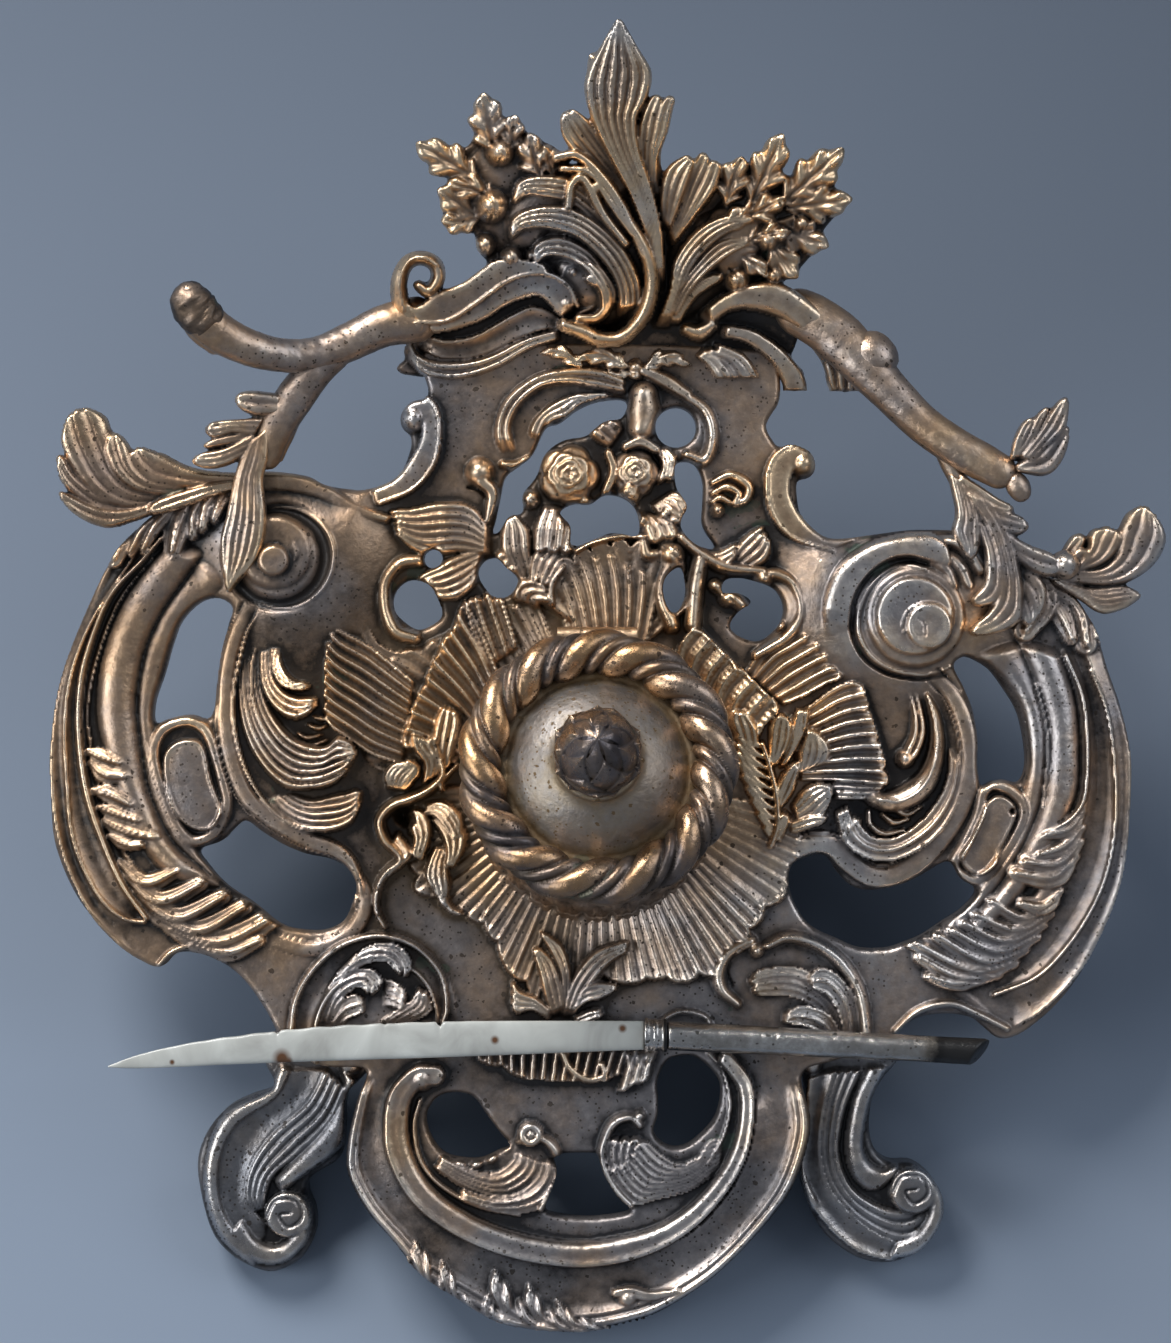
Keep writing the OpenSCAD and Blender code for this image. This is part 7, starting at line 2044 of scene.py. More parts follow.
def arm(s):
    """The right arm, its fluted end, and the scroll and leaf in the hollow under it."""
    s.flow([(23.1, 104.4), (30.6, 109.9), (38.4, 112.2), (44.7, 110.8), (52.5, 104.8),
            (58.2, 98.7)],
           [(24.9, 100.9), (30.6, 105.5), (37, 105.8), (43.3, 103.4), (48.3, 98.4), (51.8, 93.8)],
           5.2, flutes=1, cross="plain", flute=0, belly=0.6, base=3.6, base_end=5.4, grow=True,
           rise=(0.9, 1, 1))
    s.flow([(51.8, 104.4), (57.5, 99.5), (61, 93.8), (59.6, 87.4), (56.1, 85.1)],
           [(48.6, 98.7), (51.5, 93.8), (52.5, 89.5), (54, 87.1), (55.4, 85.6)], 5.4, flutes=4,
           cross="ridge", flute=0.45, base=4.6, grow=True, lobes=2, ragged=0.05)
    s.flow([(27, 102.6), (35.5, 101.6), (43.3, 96.6), (47.9, 90.2), (46.9, 84.6), (41.9, 82.1)],
           [(27.7, 100.2), (34.8, 98.7), (40.5, 93.8), (42.8, 88.8), (41.9, 86.3), (39.4, 85.6)],
           4.2, flutes=1, cross="plain", flute=0, belly=0.3, base=3.2, grow=True, rise=(0.8, 1, 1))
    s.boss(40.1, 87.4, 2.4, 8.4)
    for a, b in (([(24.2, 97.7), (28.4, 95.2), (32, 90.2), (30.6, 84.9)],
                  [(22.8, 96.3), (26.3, 93.1), (28.4, 88.8), (29.5, 85.6)]),
                 ([(24.9, 98), (32, 95.2), (35.5, 89.5), (34.5, 83)],
                  [(24.9, 96.3), (29.9, 93.1), (32, 88.1), (32.3, 83.9)]),
                 ([(27, 98.7), (34.1, 95.9), (37.7, 90.2), (37.3, 86)],
                  [(27, 97), (32.7, 93.1), (34.8, 88.8), (35.9, 86)])):
        s.flow(a, b, 3.4, flutes=2, cross="ridge", flute=0.35, base=5.4, base_end=6.4, rim=0.3,
               pinch=0.3)
    s.finger([(21.4, 101.6), (24.2, 100.9), (27, 102.6)], [3, 4, 3], 4.0, base=4.0, groove=0)


def knot(s):
    """The knot under the tall leaf."""
    s.boss(10, 93.1, 2.6, 9.0)
    s.boss(10, 91, 2.4, 9.4)
    for spine, wide in (([(7.4, 93.4), (3.0, 95.6), (-3.4, 95.0)], 5.0),
                        ([(12.6, 93.4), (17.0, 95.2), (22.4, 93.6)], 4.6),
                        ([(8.4, 91.6), (4.6, 91.0), (0.2, 91.6)], 3.6),
                        ([(-2.4, 93.6), (-6.6, 96.4), (-11.2, 96.4)], 3.8)):
        s.leaf(spine, np.array([0.5, 1.0, 1.0, 0.7, 0.1]) * wide, 2.5, 2.6, depth=0.3, rib=0.4,
               sweep=0.8, vein=-0.3, base=6.2)


crest = crest_sheet()
CREST_THICK = 4.2
SPRAYS_V = 110              # the leaves and sprays stand above this line
CREST_CLIMB = 0.26          # how steeply the hollow behind them may climb
crest_under = blur(crest.h, 2.4 / crest.cell) - CREST_THICK


def crest_bottom(u, v):
    """The back of the crest: flat low down, and following the leaves where they stand proud."""
    return np.maximum(np.minimum(crest.read(crest_under, u, v), (v - SPRAYS_V) * CREST_CLIMB), 0)


_, crest_v = crest.middles()
on_sprays = crest_v > SPRAYS_V
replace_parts(crest.mesh("crest_leaves", on_sprays, on_crest, crest_bottom, "stand", BRONZE),
            "crest_plume", "leaf_spray_left", "leaf_spray_right")
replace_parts(crest.mesh("crest_scrolls", ~on_sprays, on_crest, crest_bottom, "stand", BRONZE),
            "crest_cornice", "crest_scroll", "crest_arm", "crest_plate")

# ---------------------------------------------------------------- branches and border leaves
LEAF_THICK = 2.4
LEAF_LOWEST = -0.6            # how far a leaf's underside may reach under its own ground


def leaf_sheet(name, flows, root, tip, lifts, replaced, material=BRONZE, limbs=(), boss=()):
    """Leaves drawn as relief that stand free of the tray, rising from a root to a tip."""
    rails = np.vstack([np.asarray(p, float) for f in flows for p in f[:2]])
    s = Sheet(rails.min(0) - 4, rails.max(0) + 4, CELL)
    for a, b, count, lobes, base in flows:
        s.flow(a, b, 2.8, flutes=count, lobes=lobes, cross="ridge", flute=0.28, base=base,
               base_end=base + 0.6, rim=0.3, ragged=0.05, rise=(0.7, 1, 0.9), root=0.02, belly=0.55,
               tips=(0.84, 0.97, 1.0, 0.97, 0.84), step=1.4, grow=True)
    for points, wide, high, base in limbs:
        s.finger(points, wide, high, base=base, groove=0.08, grow=True)
    for u, v, r, h in boss:
        s.boss(u, v, r, h)
        win = s.window(np.array([[u - r, v - r], [u + r, v + r]]), 1)
        s.room[win] = np.maximum(s.room[win], r - np.hypot(s.u[win] - u, s.v[win] - v))
    s.settle(0.8)
    root, tip = np.array(root), np.array(tip)
    way = (tip - root) / np.sum((tip - root) ** 2)

    def lift(u, v):
        return ramp(lifts, np.clip((u - root[0]) * way[0] + (v - root[1]) * way[1], 0, 1))

    def spot(u, v, w):
        high = lift(u, v)
        tu, tv = sight(u, v, high)
        return place(tu, tv, high + w)

    def under(u, v):
        return np.maximum(s.read(rounded, u, v) - LEAF_THICK, LEAF_LOWEST)

    rounded = blur(s.h, 2.0 / s.cell)
    piece = s.mesh(name, True, spot, under, "stand", material)
    if replaced:
        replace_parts(piece, *replaced)


left_trunk = [(-34, 104, 5), (-40, 103, 7), (-46, 101.6, 8), (-53, 98.2, 9), (-60, 95.4, 10.8),
              (-67, 94.9, 13), (-74, 96.2, 16), (-81, 99.5, 19), (-86, 104.5, 21.5),
              (-88.6, 110.0, 23)]
left_prong = [(-54, 98, 8.5), (-60, 92.5, 9.6), (-66, 84.5, 10), (-70, 77.5, 10), (-72, 70, 9.0)]
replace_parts(join("branch_left",
                 [limb(left_trunk, [11, 10, 9, 8.4, 7.6, 7.4, 8.0, 8.6, 9.0, 7.4],
                       [9, 9, 8.4, 8, 7.4, 7.2, 7.6, 8, 7.4], knobs=0.05, steps=12, sides=40,
                       wear_and_painted_light=-0.1),
                  limb(left_trunk[-3:], [8.8, 9.8, 8.6], [8, 8.8, 8.2], knobs=0.22, steps=14,
                       sides=48, wear_and_painted_light=-0.85),
                  limb(left_prong, [8, 8, 8.6, 8, 6], [7, 7.4, 7.2, 6.6, 4.6], knobs=0.04, steps=12,
                       sides=36, wear_and_painted_light=-0.2),
                  limb([(-66, 83, 9), (-67.8, 76.5, 9), (-68.8, 71.5, 8.2)], [6, 4.4, 1.4],
                       [5, 4, 2], steps=8),
                  limb([(-80, 96, 16.6), (-85.5, 99.5, 18.5), (-89.4, 104.5, 20.6)], [5, 4.4, 3], 5,
                       knobs=0.10, steps=8),
                  limb([(-36, 103, 7), (-41.0, 102.8, 8)], [10.6, 9.6], [10.5, 9.6], knobs=0.05,
                       wear_and_painted_light=0.1, steps=8),], "stand", BRONZE), "pen_branch_left")
leaf_sheet("branch_sprig_left",
           [([(-71.1, 80.6), (-71.4, 73.4), (-72.6, 68.5), (-71.9, 61.3), (-72.1, 55.5),
              (-74, 50.2), (-77.9, 45.4), (-80.4, 41.9)],
             [(-75.7, 76.7), (-78.4, 70.9), (-79.6, 66.1), (-80.8, 60.3), (-82.1, 55.5),
              (-82.1, 51.7), (-81.6, 46.9), (-80.9, 42)], 6, 0, 1.0),
            ([(-72.1, 82), (-78.9, 81.6), (-83.7, 81.1), (-86.1, 79.5)],
             [(-74.5, 77.7), (-79.3, 78.4), (-83.2, 77.3), (-85.8, 78.2)], 3, 2, 0.6),
            ([(-74, 79.1), (-80.8, 77.9), (-86.7, 76.2)],
             [(-74.8, 77.2), (-80.8, 75.8), (-86.5, 74.9)], 2, 1, 0.2),
            ([(-74, 78.7), (-80.8, 75.3), (-86.3, 74.1), (-89.1, 73)],
             [(-76.9, 73.4), (-80.8, 71.3), (-84.6, 70.6), (-88.5, 71.3)], 3, 2, 0.8),
            ([(-68.7, 87.3), (-73.6, 87.9), (-77.6, 87.7), (-79.2, 86.4)],
             [(-68.7, 82.5), (-74, 82.4), (-77.2, 83.4), (-78.9, 85.2)], 2, 2, 0.8)], (-72.1, 82.5),
           (-81.3, 42.5), [10.5, 10.2, 9.2, 6.8, 4.4], ("branch_leaf_left",))

right_trunk = [(41, 106, 6), (47, 104.4, 7.6), (54, 99.8, 8.6), (60.5, 93, 9.6), (66.5, 86.5, 10.4),
               (73, 80, 11.2), (80, 75, 12.2), (87, 71, 13), (93.0, 67.6, 14)]
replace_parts(join("branch_right",
                 [limb(right_trunk, [10, 11, 11.4, 10.4, 9.0, 8.4, 8.4, 8.4, 7.4],
                       [8.5, 9, 9.2, 9.2, 8.6, 8.2, 7.8, 7.2, 6.6], knobs=0.03, steps=12, sides=40,
                       wear_and_painted_light=-0.1),
                  limb([(58, 99, 9), (66.4, 90.6, 10.4)], [11.6, 9.8], [10, 9.4], knobs=0.03,
                       wear_and_painted_light=-0.1, steps=8),
                  limb([(92, 69, 13.5), (94, 65.6, 13.8), (95, 62.8, 13.2)], [4.6, 5.4, 4],
                       [5, 5, 4], steps=8),
                  limb([(76, 77, 11), (79, 71, 10.4), (82.6, 65, 9.6), (85, 60, 8.6)],
                       [3.4, 4, 4.4, 4], [4, 4.4, 4.4, 4], steps=8),], "stand", BRONZE),
            "pen_branch_right")
leaf_sheet("branch_cluster_right",
           [([(81.6, 70), (86.9, 66.6), (90.7, 64), (94.4, 62.5)],
             [(82.5, 65.2), (86.9, 62.3), (90.3, 60.7), (94.1, 60.6)], 2, 0, 0.8),
            ([(85.4, 64.2), (91.2, 61.8), (95.6, 60.1), (97.6, 58.7)],
             [(85.4, 58.9), (91.2, 56.5), (94.6, 55.8), (97.4, 56.5)], 3, 0, 1.0),
            ([(79.2, 70), (81, 61.3), (80.2, 57), (82.1, 53.1), (83.8, 50)],
             [(84.5, 67.1), (86.5, 59.4), (86.6, 54.6), (85.9, 51.7), (84.9, 49.8)], 3, 0, 0.8),
            ([(85.4, 59.4), (87.4, 51.7), (86.9, 44.9), (83.3, 42)],
             [(89.3, 57.4), (91.7, 49.3), (91.2, 42), (85.4, 39.1)], 2, 0, 1.6),
            ([(82.5, 66.1), (87.4, 58.4), (89.8, 50.7), (90.3, 44.9), (88.3, 39.1), (83.4, 35.8)],
             [(88.8, 63.2), (93.2, 55.5), (95.2, 47.8), (95.8, 41.1), (94.1, 35.8), (84, 32.1)], 3,
             0, 1.8),
            ([(90.3, 59.4), (94.1, 55.5), (98.9, 53.1), (103.8, 51.7)],
             [(91.2, 53.6), (95.6, 49.3), (100.4, 46.8), (105.2, 46.6)], 2, 0, 1.6),
            ([(93.2, 50.7), (98.9, 47.8), (101.3, 43.9), (100.4, 38.2)],
             [(92.2, 43.9), (94.1, 40.1), (95.6, 36.7), (96.5, 34.3)], 3, 0, 0.2)], (81.6, 69),
           (89.3, 34.8), [10.6, 9.6, 8.4, 7.0, 5.6], (), boss=((105.4, 49.2, 3.4, 5.6),))
leaf_sheet("branch_sprig_right",
           [([(92.9, 72.1), (94.1, 77.7), (96, 81.1), (98.2, 82.4)],
             [(95.1, 73.6), (96.5, 76.7), (98, 79.6), (98.8, 81.7)], 2, 0, 0.6),
            ([(94.1, 73.1), (97, 78.2), (98.9, 82.5), (101.3, 85.1)],
             [(96, 73.4), (98.5, 76.7), (100.4, 80.6), (102.2, 84.3)], 2, 0, 0.8),
            ([(95.1, 73.1), (98.9, 78.2), (101.3, 82.5), (105.1, 87.5)],
             [(98, 71.9), (102.8, 76.7), (105.4, 79.6), (106.4, 85.9)], 3, 0, 1.2),
            ([(94.1, 71.4), (99.9, 74.8), (102.8, 78.2), (106.3, 80.6)],
             [(94.1, 70), (101.3, 69.1), (105.2, 73.4), (106.5, 79.4)], 2, 0, 0.4)], (93.2, 70.9),
           (105.2, 87.3), [14, 16, 18, 21], ("branch_leaf_right",))

leaf_sheet("leaf_left",
           [([(-95.2, 63.2), (-107.8, 64.7), (-114.5, 69.5), (-117.4, 74.8), (-118.8, 75.3)],
             [(-96.2, 61.3), (-107.8, 60.8), (-114, 64.2), (-117.4, 67.6), (-118.8, 70.9)], 2, 0,
             0.2),
            ([(-87.5, 66.6), (-99.1, 62.3), (-107.8, 61.8), (-115, 64.7), (-118.6, 67.1)],
             [(-93.3, 62.3), (-102, 58.9), (-107.8, 57.5), (-114, 60.1), (-118.1, 64.2)], 2, 0,
             1.0),
            ([(-90.4, 66.1), (-99.1, 67.1), (-103.7, 70.9), (-105.8, 77.7), (-108.2, 83.7),
              (-111.1, 84.7)],
             [(-92.3, 62.8), (-103.9, 61.8), (-111.6, 66.1), (-116.2, 72.9), (-118, 79.1),
              (-116.9, 83)], 3, 0, 0.8),
            ([(-88.5, 67.1), (-96.2, 67.6), (-100.5, 70.9), (-102.2, 75.8), (-103.7, 78.9)],
             [(-92.3, 64.2), (-100.5, 65.6), (-105.6, 69.5), (-107.8, 74.8), (-107.5, 78.7)], 2, 0,
             1.6),
            ([(-74, 69.5), (-79.8, 69.5), (-87.5, 70.5), (-94.3, 73.8), (-98.1, 75.8)],
             [(-74, 67.1), (-83.7, 66.1), (-93.3, 66.4), (-100.1, 67.6), (-103.2, 71.9),
              (-102.5, 75.3)], 2, 0, 1.2),
            ([(-74, 69.7), (-84.6, 70.2), (-90.4, 71.7), (-95.2, 73.8)],
             [(-74, 67.6), (-85.6, 67.6), (-91.4, 68.8), (-95.2, 70.9)], 2, 0, 0.6),
            ([(-74, 68.5), (-82.7, 67.6), (-90.4, 65.6), (-99.1, 62.5)],
             [(-74, 66.1), (-81.3, 64.9), (-88.5, 62.5), (-97.2, 59.4)], 2, 0, 2.0)], (-75, 68.1),
           (-117.4, 75.8), [4.2, 4.2, 4.6, 6.0, 8.4], ("border_leaf_left",), material=GOLD)
leaf_sheet("leaf_right",
           [([(102.8, 46.6), (111, 44.2), (118.2, 44.7), (122.9, 43.2)],
             [(101.8, 45.6), (108.6, 41.5), (113.4, 38.4), (118.2, 39.4), (122.6, 41.8)], 5, 4,
             0.2),
            ([(104.2, 51.7), (106.2, 55), (108.3, 56.9)],
             [(105.7, 50.2), (108.6, 52.4), (110.5, 55.4)], 2, 0, 0.4),
            ([(105.7, 49.7), (110, 52.6), (110.7, 56.5), (113.4, 57.8)],
             [(105.7, 47.3), (112.4, 48.8), (116.4, 51.7), (118.1, 55.5), (116.2, 57.5)], 3, 0,
             1.0),
            ([(104.7, 48.3), (112.4, 48.4), (116.4, 51.7), (117.3, 57.4), (119.9, 61.8),
              (122.6, 62.5)],
             [(103.8, 45.9), (113.4, 44.7), (119.7, 45.6), (125.2, 49.5), (127.7, 54.6),
              (126.2, 59.4), (123.5, 61.9)], 3, 0, 0.8)], (101.8, 46.8), (126.9, 60.3),
           [4.4, 4.8, 5.6, 7.2], ("border_leaf_right",),
           limbs=(([(106.2, 49.5), (108.6, 52.1), (110.3, 51.1), (108.8, 49.3)], [2.0, 2.2, 1.8],
                   2.4, 1.4),))


# ---------------------------------------------------------------- feet and legs
FOOT_DROP = 4.6              # a foot's top starts this far under the plate's
FOOT_FALL = 5.2              # and falls this much more on its way to the toe
FOOT_RUN = 44.0
HEEL_V = -62
ABOVE_TABLE = 0.15           # the sole clears the table by this
HEEL_FLOOR = -7.5            # the underside behind the arch
ARCH_V, ARCH_RUN = -92, 14


def foot_sag(v):
    """How far a foot lies under the tray, from its heel to its toe."""
    return FOOT_DROP + FOOT_FALL * np.clip((HEEL_V - v) / FOOT_RUN, 0, 1.1) ** 1.2


def foot(name, outline, ridges, eye, curl, replaced):
    """A front scroll foot: drawn like the tray, but falling away and reaching the table."""
    s = Sheet(np.min(outline, 0) - 3, np.max(outline, 0) + 3, CELL)
    s.add(outline)
    s.h += 2.4
    for rail_a, rail_b, high, flutes, cross in ridges:
        s.flow(rail_a, rail_b, high, flutes=flutes, cross=cross, flute=0.5, base=2.0, base_end=2.4,
               belly=0.2, rise=(1, 1, 1), root=0.04, step=3.0)
    u, v, r, h = eye
    s.disc(u, v, r, h, 1.6, dish=0.3)
    s.stroke([(u + r * 0.1, v + r * 0.1), (u - r * 0.35, v), (u, v - r * 0.5),
              (u + r * 0.55, v - r * 0.1), (u + r * 0.3, v + r * 0.6), (u - r * 0.5, v + r * 0.6),
              (u - r * 0.9, v - r * 0.1)], [1.0, 1.2, 1.2, 1.0], 0.9, soft, "sink")
    s.boss(*curl, 5.0)
    s.settle(1.5)

    def spot(u, v, w):
        return on_tray(u, v, w - foot_sag(v))

    def sole(u, v):
        """Down to the table at the toe, and arched up behind it."""
        _, tv = sight(u, v, LEVEL)
        table = (-ORIGIN[2] / MM - tv * math.sin(TILT)) / math.cos(TILT)
        table = table + foot_sag(v) + ABOVE_TABLE
        arch = np.clip((v - ARCH_V) / ARCH_RUN, 0, 1)
        arch = arch * arch * (3 - 2 * arch)
        return table * (1 - arch) + HEEL_FLOOR * arch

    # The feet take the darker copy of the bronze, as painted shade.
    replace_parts(s.mesh(name, True, spot, sole, "stand", SHADED_BRONZE), *replaced)


foot("scroll_foot_left",
     [(-46, -54), (-58, -48), (-68, -52), (-73, -60), (-70.5, -67), (-76, -69.5), (-81, -72),
      (-85.5, -77), (-88, -84), (-87, -93), (-84.5, -101), (-80, -106), (-74, -109), (-70, -109),
      (-65, -106.2), (-62, -101), (-62, -95.5), (-63.8, -91), (-62.5, -87.5), (-56, -83),
      (-55, -76), (-54.5, -69), (-51, -65), (-47, -61)],
     (([(-68.8, -60.9), (-72.3, -67.8), (-81.5, -73.1), (-85.9, -82.6), (-85.9, -93.1),
        (-82.4, -101.8), (-75.4, -107.9)],
       [(-65.9, -62.1), (-69.9, -69.6), (-78.6, -75.7), (-82.4, -83.5), (-82.4, -92.2),
        (-79.3, -99.2), (-73.7, -103.5)], 3.4, 1, "ridge"),
      ([(-65.9, -62.1), (-69.9, -69.6), (-78.6, -75.7), (-82.4, -83.5), (-82.4, -92.2),
        (-79.3, -99.2), (-73.7, -103.5)],
       [(-58.9, -62.1), (-63.2, -70.4), (-71.1, -77.4), (-75.8, -84.4), (-77.2, -91.4),
        (-75.1, -95.7), (-72.3, -98.3)], 2.2, 1, "flute"),
      ([(-58.9, -62.1), (-63.2, -70.4), (-71.1, -77.4), (-75.8, -84.4), (-77.2, -91.4),
        (-75.1, -95.7)],
       [(-53.7, -67), (-58, -75.7), (-65, -82.6), (-70.6, -87), (-72.8, -92.2), (-72.3, -94.8)],
       2.8, 4, "ridge"),
      ([(-55.4, -62.1), (-55.4, -68.7), (-59.8, -76.5), (-66.7, -84), (-71.1, -88.2)],
       [(-50.2, -67), (-52.4, -75.7), (-57.1, -81.8), (-64.1, -87), (-69.3, -91.4)], 3.6, 1,
       "ridge"),
      ([(-81.5, -100.1), (-76.3, -106.2), (-69.3, -107), (-64.1, -102.7), (-62.4, -97.5)],
       [(-78, -96.6), (-74.6, -101.8), (-70.2, -103), (-66.7, -100.1), (-65.3, -96.9)], 3.6, 1,
       "ridge")), (-67.6, -95.9, 5.4, 6.2), (-53.7, -62.1, 3.2), ("front_foot_left",))
foot("scroll_foot_right",
     [(44, -54), (54, -49), (66, -52), (69, -60), (65.6, -65), (63, -70), (62.4, -77), (64, -82),
      (67.4, -84.6), (72.4, -84.8), (77, -88.5), (79.2, -94), (78, -99), (73.6, -104.6),
      (67, -107.2), (60, -106), (53, -101), (49, -94), (47, -86), (47.4, -77), (48, -67)],
     (([(62.2, -61.7), (58.4, -70.4), (57, -80.9), (59.1, -87.9), (63.9, -90.5), (69.2, -86.1)],
       [(66.5, -62.1), (62.5, -70.4), (60.8, -79.2), (62.2, -84), (65.7, -85.8), (68.8, -84)], 3.2,
       1, "ridge"),
      ([(55.2, -62.1), (52.1, -72.2), (51.4, -82.6), (54.4, -91.4), (62.2, -99.2), (70.9, -102.7),
        (77.9, -98.3)],
       [(61.3, -62.1), (57, -72.2), (55.6, -81.8), (58.4, -89.6), (64.8, -94), (70.9, -94.8),
        (74.4, -91.4)], 2.4, 3, "ridge"),
      ([(49.1, -63.5), (47.4, -73.9), (46.9, -86.1), (50.3, -94.8), (58.7, -103.5), (68.3, -106.7)],
       [(55.2, -62.1), (52.1, -72.2), (51.4, -82.6), (54.4, -91.4), (62.2, -99.2), (70, -103)], 3.0,
       1, "flute"),
      ([(46.5, -68.7), (45.6, -79.2), (46.2, -87.9), (49.1, -95.7)],
       [(49.3, -67), (47.7, -77.4), (48.3, -87), (52.1, -94.8)], 3.4, 1, "ridge"),
      ([(66.5, -106.2), (74.4, -104.4), (78.7, -98.3), (78.7, -89.6), (75.3, -85.8)],
       [(68.3, -102.2), (72.6, -100.1), (75.3, -95.7), (75.3, -90.5), (73.5, -88.2)], 3.8, 1,
       "ridge")), (72.3, -90.5, 5.4, 6.4), (49.3, -62.1, 3.0), ("front_foot_right",))


def rear_leg(name, replaced):
    """A turned leg with a fluted shaft and a leafy knee, where its subcomponent stands."""
    low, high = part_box(replaced)
    cx, cy = (low.x + high.x) / 2, (low.y + high.y) / 2
    y = (cy - ORIGIN[1]) / MM
    top = ORIGIN[2] / MM + y * math.tan(TILT) - PLATE / math.cos(TILT) + 2.5
    line = smooth([(0.1, 0.1), (6.2, 0.1), (7.0, 1.2), (7.0, 3.2), (5.6, 4.6), (4.4, 6.0),
                   (5.0, 7.4), (4.2, 9.0), (3.9, top * 0.42), (4.9, top * 0.52), (6.4, top * 0.60),
                   (8.2, top * 0.70), (8.9, top * 0.80), (8.9, top * 0.92), (8.6, top),
                   (0.1, top)], steps=7)

    def relief(a, share, z):
        shaft = np.clip((z - 9) / 4, 0, 1) * np.clip((top * 0.6 - z) / 5, 0, 1)
        knee = np.clip((z - top * 0.55) / 4, 0, 1) * np.clip((top * 0.93 - z) / 3, 0, 1)
        flutes = np.abs(np.sin(5 * a + z * 0.12)) ** 0.7
        leaves = np.abs(np.cos(4 * a)) ** 0.6 * (0.75 + 0.25 * np.cos(8 * a))
        push = shaft * (0.5 * flutes - 0.35) + knee * (0.9 * leaves - 0.6)
        return push, 0.5 * (shaft * (flutes - 0.6) + knee * (leaves - 0.6))

    def spot(x, y, z):
        x, y, z = np.broadcast_arrays(x, y, z)
        return np.stack([cx + x * MM, cy + y * MM, z * MM], -1)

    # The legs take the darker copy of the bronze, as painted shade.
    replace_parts(turned(name, line, 96, "stand", SHADED_BRONZE, relief, spot), replaced)


rear_leg("turned_leg_left", "rear_leg_left")
rear_leg("turned_leg_right", "rear_leg_right")


# ---------------------------------------------------------------- the inkwell
def scales(angle, height, rows, tall, around, bulge):
    """Overlapping leaf scales that point upward, as how far they stand out."""
    best = np.zeros(np.broadcast(angle, height).shape)
    for k in range(-1, rows + 1):
        s = (height - k * tall) / (tall * 1.75)
        x = (angle * around / (2 * np.pi) + 0.5 * (k % 2)) % 1.0 - 0.5
        half = 0.5 * np.sqrt(np.clip(1 - np.clip(s, 0, 1) ** 1.6, 0, 1))
        q = np.abs(x) / np.maximum(half, 1e-3)
        form = (0.35 + 0.65 * np.clip(s, 0, 1)) * np.sqrt(np.clip(1 - q ** 4, 0, 1))
        form = form * (1 - 0.22 * np.exp(-(x / 0.06) ** 2))
        best = np.maximum(best, np.where((s > 0) & (s < 1) & (q < 1), form, 0))
    return best * bulge


ROPE_RADIUS, ROPE_Z, ROPE_FLOOR = 25.4, 27.0, 23.35
ROPE_TURNS = 13
BROAD = 0.66                 # the share of a pair of lobes that the broad one takes
CONE_LOW, CONE_HIGH = 34.4, 53.2


def well_skin():
    """The leafy skin of the well, whose foot follows the slope of the plate."""
    def skin(a, share, z):
        top = np.clip((20.6 - z) / 0.8, 0, 1)
        foot_z = z + 2
        leafy = scales(a, foot_z, 4, 5.2, 26, 1.5)
        push = np.where(share < 0.7, leafy * top, 0)
        return push, np.where(share < 0.7, leafy * 0.9 - 0.6, -0.4)

    def rest(a, r, z):
        floor = r * np.sin(a) * math.tan(TILT)
        share = np.clip((z + 2) / 23, 0, 1)
        return floor - 1.5 + (20.9 - floor + 1.5) * share

    line = np.vstack([
        smooth([(29.6, -2), (29.4, -0.6), (28.2, 0.6), (27.6, 1.6), (26.9, 2.4), (26.2, 4),
                (26.1, 12), (26.1, 19.6), (26.1, 20.9)], steps=8),
        [(25.4, 20.95), (25.3, 12), (25.3, 0), (25.4, -2)]])
    turned("well_leaves", line, 520, "stand", BRONZE, skin, low=rest)


def rope():
    """The cast rope ring round the lid."""
    count, around = 56, 1200
    angle = np.linspace(0, 2 * np.pi, around, endpoint=False)[None, :]
    b = np.linspace(0, 2 * np.pi, count, endpoint=False)[:, None]
    # Twisted pairs of lobes: a broad full one, then a narrow flat one.
    across = (np.mod(b - 4.1, 2 * np.pi) - np.pi) / np.pi
    turn = ROPE_TURNS * angle / (2 * np.pi) - 0.62 * across - 0.16 * np.sin(np.pi * across)
    turn = turn + 0.05 * np.sin(3 * angle + 1) + np.where(across < -0.52, 0.45, 0)
    part = np.mod(turn, 1.0)
    broad = part < BROAD
    x = np.where(broad, part / BROAD, (part - BROAD) / (1 - BROAD))
    lobe = np.clip(1 - (2 * x - 1) ** 2, 0, 1) ** np.where(broad, 0.55, 0.75)
    full = np.where(broad, 1.0, 0.66)
    lip = np.exp(-((x - 0.90) / 0.05) ** 2) * np.where(broad, 0.22, 0.12)
    pinch = np.clip((np.abs(across + 0.52) - 0.02) / 0.05, 0, 1) ** 0.5
    tube = 3.2 + (2.15 * lobe * full + lip) * (0.35 + 0.65 * pinch)
    r = ROPE_RADIUS + tube * np.cos(b)
    z = np.maximum(ROPE_Z + tube * np.sin(b), ROPE_FLOOR)
    points = on_well(r * np.cos(angle), r * np.sin(angle), z).reshape(-1, 3)
    # Tone: lobe crowns lighter and narrow lobes darker; the upper inner side of the rope painted
    # lighter as painted light, the crease between strands painted darker as painted shade.
    wear_and_painted_light = (0.95 * (lobe * full - 0.62) + 0.42 * np.sin(b - 0.75) - 0.12
            - 0.25 * (~broad) - 0.7 * np.exp(-((across + 0.52) / 0.05) ** 2))
    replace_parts(build("rope_moulding", points, [grid_faces(count, around, True)[:, ::-1]], "lid",
                      ROPE, wear_and_painted_light.ravel()), "rope_ring")


